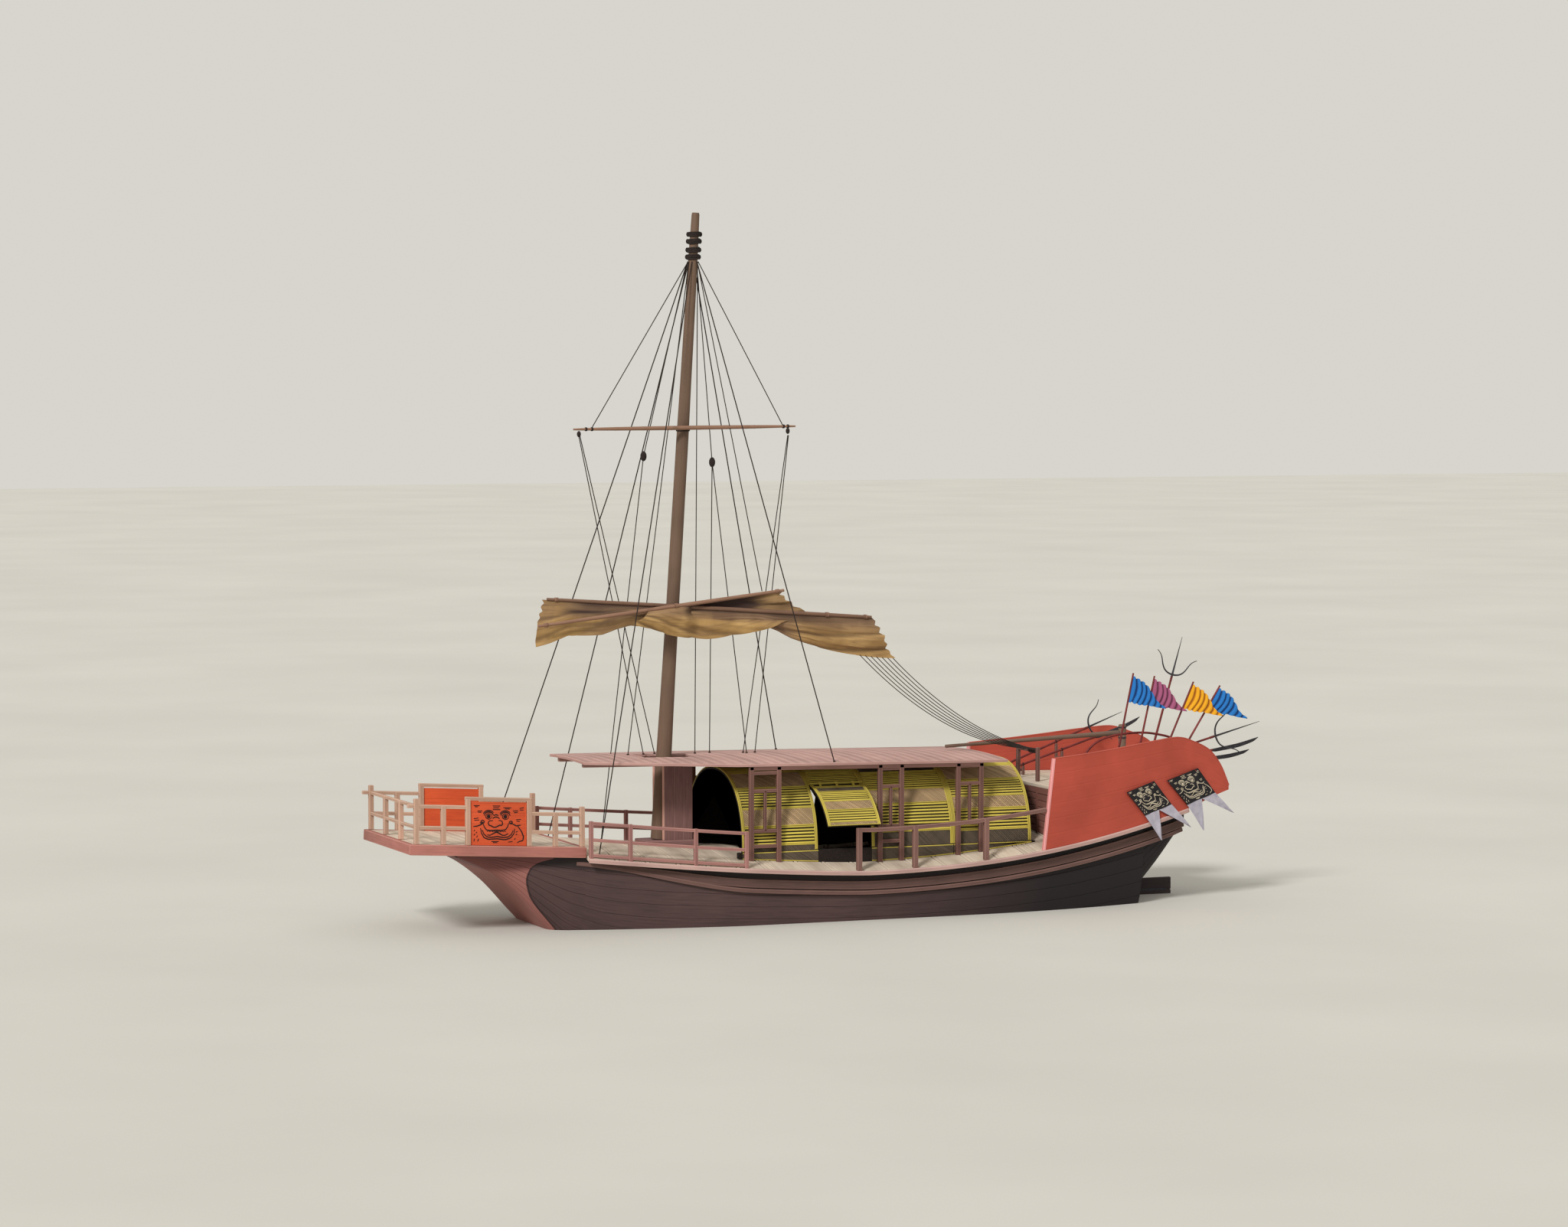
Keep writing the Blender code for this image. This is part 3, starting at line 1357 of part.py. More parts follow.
def make_racks():
    """Racks on the poop: a post under each shaft and a bar between the posts."""
    half = RACK_POST / 2
    low = POOP_TOP + POOP_THICKNESS + GAP
    for name, x, carried in RACKS:
        rests = [rest_height(arm, x) for arm in ARMS if arm[0] in carried]
        pieces = []
        for y, high in rests:
            pieces.append(block("leg", (x - half, x + half), (y - half, y + half), (low, high), DARK_WOOD))
        lowest = min(high for _, high in rests)
        level = lowest - min(RACK_BAR_DROP, (lowest - low) / 2)
        path = [(x, rests[0][0], level), (x, rests[-1][0], level)]
        pieces.append(bar_along("bar", path, RACK_BAR_WIDTH, RACK_POST, DARK_WOOD))
        join_bodies(name, pieces, DARK_WOOD)


def make_sheet_horse():
    """Two posts on the poop and the bar between them."""
    half = HORSE_POST / 2
    x_range = (HORSE_X - half, HORSE_X + half)
    height = (POOP_TOP + POOP_THICKNESS + GAP, HORSE_TOP)
    pieces = []
    for y in (-HORSE_HALF, HORSE_HALF):
        pieces.append(block("post", x_range, (y - half, y + half), height, DARK_WOOD))
    path = [(HORSE_X, y, HORSE_TOP - HORSE_POST) for y in (-HORSE_HALF, HORSE_HALF)]
    pieces.append(bar_along("bar", path, *HORSE_BAR, DARK_WOOD))
    return join_bodies("sheet_horse", pieces, DARK_WOOD)


def make_rudder():
    """The deep rudder with its stock, and the long tiller on the stock."""
    low = Vector((STOCK_X, 0.0, RUDDER_BOTTOM + STOCK_FOOT))
    high = Vector((STOCK_X, 0.0, STOCK_TOP))
    stock = pole("stock", ((low, STOCK_RADIUS), (high, STOCK_RADIUS)), 16, DARK_WOOD)
    x_range = (STOCK_X - RUDDER_LEAD, STOCK_X + RUDDER_LENGTH)
    y_range = (-RUDDER_THICKNESS / 2, RUDDER_THICKNESS / 2)
    blade = block("blade", x_range, y_range, (RUDDER_BOTTOM, RUDDER_TOP), DARK_WOOD)
    under = Vector((STOCK_X, 0.0, POOP_TOP + POOP_THICKNESS + GAP))
    over = under + Vector((0.0, 0.0, COLLAR_HEIGHT))
    collar = pole("collar", ((under, COLLAR_RADIUS), (over, COLLAR_RADIUS)), 16, DARK_WOOD)
    rudder = join_bodies("rudder", [stock, blade, collar], DARK_WOOD)
    root = Vector((STOCK_X, 0.0, TILLER_ROOT_Z))
    tip = TILLER_TIP
    tiller = pole("tiller", ((tip, TILLER_RADII[0]), (root, TILLER_RADII[1])), 12, DARK_WOOD)
    low = Vector((STOCK_X, 0.0, POOP_TOP))
    high = Vector((STOCK_X, 0.0, CUT_TOP))
    cut(tiller, pole("stock_space", ((low, STOCK_RADIUS + GAP), (high, STOCK_RADIUS + GAP)), 16, DARK_WOOD))
    for thing in (rudder, tiller):
        origin_at(thing, Vector((STOCK_X, 0.0, RUDDER_PIVOT_Z)))


def build():
    """Makes every part in place and shades it."""
    clear_scene()
    make_hull()
    make_deck()
    platform = make_bow_platform()
    make_bow_rail()
    make_beast_panels()
    side_rail("fore_rail", FORE_RAIL_POSTS, FORE_RAIL_POSTS[-1], FORE_RAIL_HEIGHTS, FORE_RAIL_SIZE)
    side_rail("aft_rail", AFT_RAIL_POSTS, AFT_RAIL_END_X, AFT_RAIL_HEIGHTS, AFT_RAIL_SIZE)
    make_mats()
    make_sills()
    make_side_frames()
    roof = make_roof()
    make_tabernacle()
    make_mast()
    make_upper_yard()
    make_sail()
    make_stays(platform, roof)
    bulwarks = make_bulwarks()
    poop = make_poop()
    make_banners(bulwarks)
    make_flags(poop)
    make_weapons(poop)
    make_racks()
    make_sheet_horse()
    make_rudder()
    for thing in bpy.context.scene.objects:
        thing.data.shade_smooth()
        thing.data.set_sharp_from_angle(angle=SMOOTH_ANGLE)


build()
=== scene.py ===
"""River junk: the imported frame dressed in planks, matting, cloth, cord and paint."""
import math

import bmesh
import bpy
import numpy as np
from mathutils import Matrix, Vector


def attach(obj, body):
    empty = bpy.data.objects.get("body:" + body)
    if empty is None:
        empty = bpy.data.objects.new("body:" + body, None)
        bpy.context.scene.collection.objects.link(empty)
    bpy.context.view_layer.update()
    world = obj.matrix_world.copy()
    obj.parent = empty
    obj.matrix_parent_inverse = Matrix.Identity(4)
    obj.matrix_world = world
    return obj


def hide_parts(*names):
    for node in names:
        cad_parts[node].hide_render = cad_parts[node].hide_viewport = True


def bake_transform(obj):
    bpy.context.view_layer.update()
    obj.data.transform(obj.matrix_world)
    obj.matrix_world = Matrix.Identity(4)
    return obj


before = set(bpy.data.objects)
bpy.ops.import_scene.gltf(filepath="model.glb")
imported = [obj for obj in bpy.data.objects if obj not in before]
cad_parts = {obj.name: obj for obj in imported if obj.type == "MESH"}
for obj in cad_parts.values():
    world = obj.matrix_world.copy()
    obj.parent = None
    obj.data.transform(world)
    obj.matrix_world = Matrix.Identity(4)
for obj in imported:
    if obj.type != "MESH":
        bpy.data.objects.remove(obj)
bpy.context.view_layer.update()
draw = np.random.default_rng(11)
SIDES = (("port", -1), ("starboard", 1))
ALONG = (1, 0, 0)
ACROSS = (0, 1, 0)

# The hull's lines, as in the CAD
BOW_X = -10.35
STERN_X = 9.75
DECK_FRONT_X = -7.11
SIDE_ROUNDNESS = 2.6
COUNTER_FRONT_X = 8.44
STATION_X = (-10.35, -9.60, -8.89, -8.10, -7.45, -7.12, -6.40, -5.00, -3.00, -1.00,
             1.00, 3.00, 5.00, 6.00, 7.00, 8.43)
BOTTOM_HALF = (1.45, 1.36, 1.22, 1.05, 0.98, 0.97, 1.05, 1.25, 1.40, 1.45,
               1.45, 1.40, 1.30, 1.15, 0.85, 0.30)
BOTTOM_Z = (1.94, 1.60, 1.06, 0.18, -0.48, -0.66, -0.95, -1.10, -1.10, -1.10,
            -1.10, -1.10, -1.10, -1.10, -1.05, -0.95)
COUNTER_X = (8.45, 9.00, 9.50, 9.75)
COUNTER_HALF = (1.15, 1.45, 1.62, 1.75)
COUNTER_Z = (0.32, 1.05, 1.75, 2.12)
WELL_X = (-2.30, 4.90)
WELL_HALF = 1.55
WELL_FLOOR = 0.35
STOCK_X = 8.80
TRUNK_HALF = 0.17
PLATFORM_X = (-11.75, -7.13)
PLATFORM_HALF = 2.05
PLATFORM_THICKNESS = 0.27
BOW_RAIL_Y = 1.97
DECK_THICKNESS = 0.1003
DECK_PLANK_WIDTHS = (0.66, 0.11)
POOP_TOP = 3.2303
MAST_FOOT = (-4.443, 2.0546)
MAST_TIP = (-3.40, 18.15)

# The side's planks and their grooves, the hull ring's column over the rudder trunk, and the edge of
# the bare bow
HULL_PLANKS = 10
GROOVE_HALF = 0.011
GROOVE_DEPTH = 0.012
TRUNK_COLUMN = 4
BOW_EDGE_Z = (-1.2, 0.0, 0.33, 0.60, 0.95, 1.34, 1.60, 1.76, 1.86)
BOW_EDGE_X = (-7.0, -7.76, -8.04, -8.27, -8.50, -8.60, -8.52, -8.30, -7.90)

# The mat shelter. Each band has the heights of its edges on the sides, and 0 for slats, 1 for pale
# crossed strips or 2 for dark ones. A flap's bands go by shares of its girth from the hinge down.
MAT_FOOT = 1.82
MAT_HALF = 2.02
MAT_ROUND = 2.3
SLAT_PITCH = 0.080
STRIP_PITCH = 0.062
SILL_TOP = 1.80
MATS = (
    ("fore", (-2.92, -0.84), ((1.82, 1.98, 2), (1.98, 2.47, 0), (2.47, 2.89, 1), (2.89, 3.40, 0),
                              (3.40, 3.72, 1))),
    ("mid", (0.66, 2.96), ((1.82, 2.20, 2), (2.20, 2.91, 0), (2.91, 3.25, 1), (3.25, 3.65, 0),
                           (3.65, 3.80, 2))),
    ("aft", (2.9603, 5.18), ((1.82, 2.16, 2), (2.16, 2.71, 0), (2.71, 3.01, 1), (3.01, 3.42, 0),
                             (3.42, 3.70, 1))),
)
FLAP_BANDS = ((0.02, 0.13, 0), (0.13, 0.27, 2), (0.27, 0.52, 0), (0.52, 0.70, 1), (0.70, 0.93, 0),
              (0.93, 0.98, 1))
MAT_FINISHES = {"underlay": "mat_weave", "slats": "bamboo_slat", "strips": "bamboo_strip",
                "dark_strips": "bamboo_shade_strip"}
HINGE_TURN = math.radians(50)
FLAP_LIFT = math.radians(30)
HINGE = (-1.42314, 3.47767)
HINGE_X = (-0.82, 0.64)
ROD = 0.016
ROOF_X = (-6.95, 4.44)
ROOF_HOLE_X = (-5.00, -3.55)
ROOF_HOLE = 0.50
FRAME_Y = 2.13

# Spars: both ends, and the radius at the middle and at the tips
LONG_SPAR = ((-7.60, -0.40, 8.32), (1.12, -0.90, 7.71), 0.056, 0.036)
SHORT_SPAR = ((-8.02, -0.95, 7.67), (-1.23, -0.655, 8.44), 0.053, 0.036)
YARD_Y = -0.30
UPPER_YARD = ((-6.84, YARD_Y, 12.62), (-0.77, YARD_Y, 12.67), 0.055, 0.022)
HEAD_Z = 16.9

# The outlines of both lengths of sail in x and z: the foot, the fore edge and the aft edge
BACK_FOOT = ((-8.0, 7.13), (-7.62, 7.24), (-7.13, 7.42), (-7.0, 7.40), (-6.21, 7.42), (-5.46, 7.64),
             (-4.98, 7.60), (-4.5, 7.60), (-3.4, 7.55), (-2.6, 7.55), (-1.9, 7.55), (-1.67, 7.52),
             (-1.03, 7.22), (-0.22, 6.94), (0.77, 6.72), (1.85, 6.62))
BACK_LUFF = ((-7.72, 8.31), (-7.68, 8.22), (-7.80, 8.14), (-7.76, 8.03), (-7.88, 7.96), (-7.84, 7.86),
             (-7.92, 7.78), (-7.96, 7.55), (-8.0, 7.13))
BACK_LEECH = ((1.14, 7.69), (1.24, 7.60), (1.20, 7.50), (1.36, 7.44), (1.33, 7.30), (1.50, 7.22),
              (1.46, 7.08), (1.58, 7.0), (1.54, 6.88), (1.68, 6.82), (1.70, 6.72), (1.85, 6.62))
BELLY_FOOT = ((-5.46, 7.66), (-4.98, 7.57), (-4.53, 7.40), (-3.95, 7.30), (-3.39, 7.26), (-3.0, 7.27),
              (-2.72, 7.35), (-2.2, 7.38), (-1.67, 7.52), (-1.2, 7.68), (-0.57, 7.82))
BELLY_LUFF = ((-4.95, 8.02), (-5.2, 7.86), (-5.46, 7.66))
BELLY_LEECH = ((-1.23, 8.44), (-1.36, 8.33), (-1.22, 8.30), (-1.20, 8.18), (-1.02, 8.14), (-0.98, 8.02),
               (-0.80, 7.98), (-0.57, 7.82))

# The stern. Each row of its boards has x and z of the foot, with none where it stands on the deck,
# and x and z of the top.
BULWARK = ((5.23, None, 5.52, 4.02), (6.40, None, 6.55, 4.11), (7.50, None, 7.60, 4.22),
           (8.60, None, 8.60, 4.34), (9.50, None, 9.40, 4.41), (9.95, 2.55, 9.99, 4.25),
           (10.35, 2.70, 10.43, 4.04), (10.76, 2.83, 10.83, 3.61), (11.12, 2.93, 11.12, 3.05))
BULWARK_THICKNESS = 0.10
BULWARK_PLANKS = 6
WALL_PLANKS = 7
WALL_TOP = 3.149
POOP_PLANK_Z = (3.1503, 3.2297)
POOP_HOLE = 0.175
POOP_HOLE_X = (8.62, 8.98)
POOP_BOARD_EDGES = np.linspace(5.70, 9.90, 27)
BENT_RAIL = ((6.74, 3.24), (6.80, 3.60), (6.97, 4.04), (7.20, 4.26), (7.46, 4.39), (7.80, 4.47),
             (8.13, 4.51), (8.47, 4.525), (8.81, 4.51), (9.15, 4.45), (9.49, 4.37), (9.75, 4.10),
             (9.84, 3.70), (9.86, 3.24))
HORSE_X = 6.02
HORSE_Z = 4.03
SHEETS = 7
SHEET_PITCH = 0.07
SHEET_FIRST_Y = -0.56
SHEET_SAG = 0.36

# Each banner in x and z: the field's upper corners, its lower aft corner, the tips of the aft and the
# fore tail, and the field's lower fore corner
BANNERS = (((7.70, 3.04), (8.58, 3.30), (9.16, 2.65), (9.80, 2.01), (8.84, 1.72), (8.29, 2.40)),
           ((9.00, 3.29), (10.02, 3.57), (10.62, 2.88), (11.24, 2.31), (10.24, 1.90), (9.67, 2.61)))
# Staffs: x of the foot, x and z of the top, y and the pennant's dye
STAFFS = ((7.54, 8.15, 6.14, -2.00, "blue"), (8.18, 8.82, 6.04, -1.90, "mauve"),
          (8.83, 10.02, 5.85, -1.80, "yellow"), (9.26, 10.86, 5.72, -1.70, "blue"))
HOIST = 0.72
# Arms: x and z of the foot and of the tip, y, the head's length and the scale of its hooks
ARMS = (("trident_long", 5.62, 3.31, 9.57, 4.82, 1.62, 1.10, 1.25),
        ("glaive_long", 5.75, 3.30, 9.95, 4.62, 1.25, 1.45, 0),
        ("trident_upright", 9.65, 3.21, 10.73, 6.91, 0.30, 1.10, 1.3),
        ("trident_stern", 9.00, 3.84, 12.20, 4.70, -1.40, 1.40, 1.45),
        ("glaive_stern", 9.00, 3.62, 12.38, 4.16, -1.02, 1.45, 0),
        ("glaive_low", 9.00, 3.50, 12.30, 3.80, -0.64, 1.45, 0))
HOOK = ((0.00, 0.00), (0.10, 0.01), (0.19, 0.05), (0.26, 0.13), (0.30, 0.22), (0.34, 0.31), (0.40, 0.38),
        (0.47, 0.42))
RACKS = (("rack_fore", 6.45, ("trident_long", "glaive_long")),
         ("rack_middle", 7.60, ("trident_long", "glaive_long")),
         ("rack_stern", 9.10, ("trident_stern", "glaive_stern", "glaive_low")),
         ("rack_aft", 9.80, ("trident_stern", "glaive_stern", "glaive_low")))

# The beast mask in unit coordinates: its features, and the short marks round it
PANEL_X = (-10.167, -8.693)
PANEL_HEIGHT = 1.10
PANEL_BOARDS = 4
PANEL_FACE_Y = 1.996
FACE = (
    ((0.39, 0.58), (0.32, 0.57), (0.30, 0.52), (0.32, 0.46), (0.36, 0.45), (0.40, 0.415), (0.44, 0.415),
     (0.48, 0.44), (0.52, 0.47), (0.55, 0.46), (0.575, 0.50), (0.567, 0.56), (0.53, 0.59), (0.50, 0.58)),
    ((0.386, 0.632), (0.417, 0.664), (0.449, 0.674), (0.488, 0.664), (0.515, 0.632)),
    ((0.406, 0.708), (0.449, 0.732), (0.496, 0.713)),
    ((0.208, 0.491), (0.228, 0.415), (0.268, 0.343), (0.346, 0.330), (0.457, 0.343), (0.551, 0.336),
     (0.630, 0.358), (0.669, 0.434), (0.688, 0.519)),
    ((0.283, 0.217), (0.339, 0.211), (0.402, 0.264), (0.457, 0.292), (0.512, 0.264), (0.567, 0.217),
     (0.622, 0.217), (0.677, 0.264)),
    ((0.189, 0.340), (0.220, 0.236), (0.283, 0.166), (0.362, 0.160), (0.472, 0.185), (0.583, 0.160),
     (0.677, 0.174), (0.740, 0.245), (0.772, 0.340)),
    ((0.157, 0.387), (0.173, 0.264), (0.220, 0.150), (0.299, 0.108), (0.472, 0.128), (0.614, 0.104),
     (0.724, 0.150), (0.787, 0.264), (0.803, 0.387)),
    ((0.02, 0.425), (0.087, 0.434), (0.165, 0.475), (0.217, 0.528)),
    ((0.759, 0.509), (0.835, 0.457), (0.917, 0.481)),
    ((0.866, 0.443), (0.932, 0.321), (0.970, 0.189), (0.957, 0.091), (0.898, 0.072), (0.847, 0.038)),
)
MARKS = (
    (0.39, 0.95, 0.53, 0.95), (0.40, 0.905, 0.51, 0.905), (0.39, 0.86, 0.53, 0.86),
    (0.03, 0.95, 0.14, 0.95), (0.05, 0.92, 0.11, 0.92), (0.10, 0.815, 0.19, 0.82),
    (0.11, 0.785, 0.17, 0.785), (0.03, 0.62, 0.12, 0.64), (0.04, 0.58, 0.13, 0.59),
    (0.59, 0.91, 0.74, 0.91), (0.62, 0.88, 0.71, 0.88), (0.77, 0.83, 0.87, 0.84),
    (0.79, 0.79, 0.86, 0.80), (0.90, 0.90, 0.98, 0.92), (0.90, 0.86, 0.97, 0.86),
    (0.83, 0.61, 0.92, 0.625), (0.84, 0.575, 0.90, 0.57), (0.36, 0.055, 0.50, 0.06),
    (0.39, 0.03, 0.47, 0.03), (0.03, 0.31, 0.05, 0.34), (0.07, 0.26, 0.09, 0.29),
    (0.03, 0.20, 0.05, 0.24), (0.08, 0.15, 0.10, 0.20), (0.03, 0.05, 0.04, 0.12),
    (0.10, 0.05, 0.12, 0.12), (0.82, 0.30, 0.86, 0.32), (0.82, 0.24, 0.85, 0.25),
    (0.79, 0.12, 0.82, 0.14), (0.68, 0.05, 0.76, 0.06),
)


def smooth_curve(at, xs, ys):
    """Curve through the points xs, ys without overshoot: on each piece y = y0 (2t^3 - 3t^2 + 1)
    + y1 (3t^2 - 2t^3) + gap (s0 (t^3 - 2t^2 + t) + s1 (t^3 - t^2)), where a slope s is the harmonic
    mean of the chords on both sides, or 0 where they differ in sign."""
    xs = np.asarray(xs, float)
    ys = np.asarray(ys, float)
    chord = np.diff(ys) / np.diff(xs)
    slope = np.zeros(len(xs))
    slope[0] = chord[0]
    slope[-1] = chord[-1]
    same = chord[:-1] * chord[1:] > 0
    total = np.where(same, chord[:-1] + chord[1:], 1.0)
    slope[1:-1] = np.where(same, 2 * chord[:-1] * chord[1:] / total, 0.0)
    at = np.clip(np.asarray(at, float), xs[0], xs[-1])
    k = np.clip(np.searchsorted(xs, at, side="right") - 1, 0, len(xs) - 2)
    gap = xs[k + 1] - xs[k]
    t = (at - xs[k]) / gap
    ends = ys[k] * (2 * t ** 3 - 3 * t ** 2 + 1) + ys[k + 1] * (3 * t ** 2 - 2 * t ** 3)
    return ends + gap * (slope[k] * (t ** 3 - 2 * t ** 2 + t) + slope[k + 1] * (t ** 3 - t ** 2))


def ease(share):
    """Smooth step from 0 to 1: 3t^2 - 2t^3."""
    t = np.clip(share, 0.0, 1.0)
    return t * t * (3 - 2 * t)


def beyond(x, start, end):
    """Share of the way from start to end, 0 before start."""
    return np.clip((np.asarray(x, float) - start) / (end - start), 0, None)


def sheer(x):
    """Height of the deck edge: 1.30 at x = 0.3, rising by power 1.3 forward and power 2 aft."""
    return 1.30 + 0.88 * beyond(x, 0.3, BOW_X) ** 1.3 + 1.20 * beyond(x, 0.3, STERN_X) ** 2.0


def deck_half(x):
    """Half-width of the deck: 2.90 amidships, less 1.40 f^1.25 forward and 0.80 a^1.8 aft."""
    return 2.90 - 1.40 * beyond(x, -3.0, BOW_X) ** 1.25 - 0.80 * beyond(x, 3.5, STERN_X) ** 1.8


def hull_half(x):
    """Half-width of the side under the deck edge."""
    return deck_half(x) - 0.28 * np.clip(beyond(x, BOW_X, DECK_FRONT_X), 0, 1)


def deck_top(x, y):
    """The crowned deck: sheer + 0.32 (1 - (y / half)^2)."""
    return sheer(x) + 0.32 * (1 - (np.asarray(y, float) / deck_half(x)) ** 2)


def platform_top(x):
    """Top of the bow platform, rising 0.055 a metre forward."""
    return 1.86 + 0.055 * (PLATFORM_X[1] - np.asarray(x, float)) + PLATFORM_THICKNESS


def bottom_curve(x, body, counter):
    """A curve through the body's stations, or behind them through the counter's."""
    return np.where(np.asarray(x) < COUNTER_FRONT_X, smooth_curve(x, STATION_X, body),
                    smooth_curve(x, COUNTER_X, counter))


def bottom_half(x):
    """Half-width of the flat bottom."""
    return bottom_curve(x, BOTTOM_HALF, COUNTER_HALF)


def bottom_z(x):
    """Height of the flat bottom."""
    return bottom_curve(x, BOTTOM_Z, COUNTER_Z)


def hull_edge_z(x):
    """Height of the hull's side where it meets the deck or the platform."""
    x = np.asarray(x, float)
    return np.where(x >= DECK_FRONT_X - 0.001, deck_top(x, hull_half(x)) - DECK_THICKNESS,
                    platform_top(x) - PLATFORM_THICKNESS - 0.0003)


def side_point(x, turn):
    """Half-width and height on the side: out = sin(turn)^(2/2.6), up = 1 - cos(turn)^(2/2.6)."""
    out = np.sin(turn) ** (2 / SIDE_ROUNDNESS)
    up = 1 - np.cos(turn) ** (2 / SIDE_ROUNDNESS)
    half = bottom_half(x) + (hull_half(x) - bottom_half(x)) * out
    return half, bottom_z(x) + (hull_edge_z(x) - bottom_z(x)) * up


def side_half(x, z):
    """Half-width of the side at a height, the inverse of side_point."""
    up = np.clip((z - bottom_z(x)) / (hull_edge_z(x) - bottom_z(x)), 0, 1)
    turn = np.arccos((1 - up) ** (SIDE_ROUNDNESS / 2))
    return side_point(x, turn)[0]


def roof_under(x, y):
    """Underside of the crowned roof: 4.10 less 0.18 from end to end, plus 0.08 (1 - (y / 2.2)^2)."""
    share = (np.asarray(x, float) + 6.95) / 11.39
    return 4.10 - 0.18 * share + 0.08 * (1 - (np.asarray(y, float) / 2.20) ** 2)


def roof_half(x):
    """Half-width of the roof platform, narrower by 0.85 toward its fore end."""
    return 2.20 - 0.85 * np.clip((-3.10 - np.asarray(x, float)) / 3.85, 0, 1)


def mast_share(z):
    """Share of the mast's height."""
    return (z - MAST_FOOT[1]) / (MAST_TIP[1] - MAST_FOOT[1])


def mast_centre(z):
    """The mast's raked centreline."""
    return np.array([MAST_FOOT[0] + (MAST_TIP[0] - MAST_FOOT[0]) * mast_share(z), 0.0, z])


def mast_radius(z):
    """The bare mast's taper."""
    return np.interp(mast_share(z), (0.0, 0.28, 0.65, 0.915, 1.0), (0.22, 0.175, 0.155, 0.125, 0.10))


def run(steps):
    """Distances from the start over steps of given lengths."""
    return np.concatenate([[0], np.cumsum(steps)])


def lengths(points, closed=False):
    """Distance along a line of points at each of them, and back at the first if it is closed."""
    points = np.vstack([points, points[:1]]) if closed else np.asarray(points, float)
    return run(np.linalg.norm(np.diff(points, axis=0), axis=1))


def along(points, share):
    """Points at a share of a line's length."""
    points = np.asarray(points, float)
    length = lengths(points)
    return np.stack([np.interp(share, length / length[-1], column) for column in points.T], -1)


def softened(path, times):
    """The line with its inner points replaced by (before + 2 here + after) / 4, times over."""
    for _ in range(times):
        path[1:-1] = (path[:-2] + 2 * path[1:-1] + path[2:]) / 4
    return path


def circle(count, turns=2 * math.pi):
    """Angles round a circle."""
    return np.linspace(0, turns, count, endpoint=False)


def unit(vector):
    """The vector at length 1."""
    return np.asarray(vector, float) / np.linalg.norm(vector)


def corners(grid):
    """The four corners of each cell of a grid, in turn."""
    return np.stack([grid[:-1, :-1], grid[1:, :-1], grid[1:, 1:], grid[:-1, 1:]], 2)


def spread(u, v):
    """UV at each grid point from a length for each row and one for each column."""
    return np.stack(np.broadcast_arrays(np.asarray(u, float)[:, None], np.asarray(v, float)), -1)


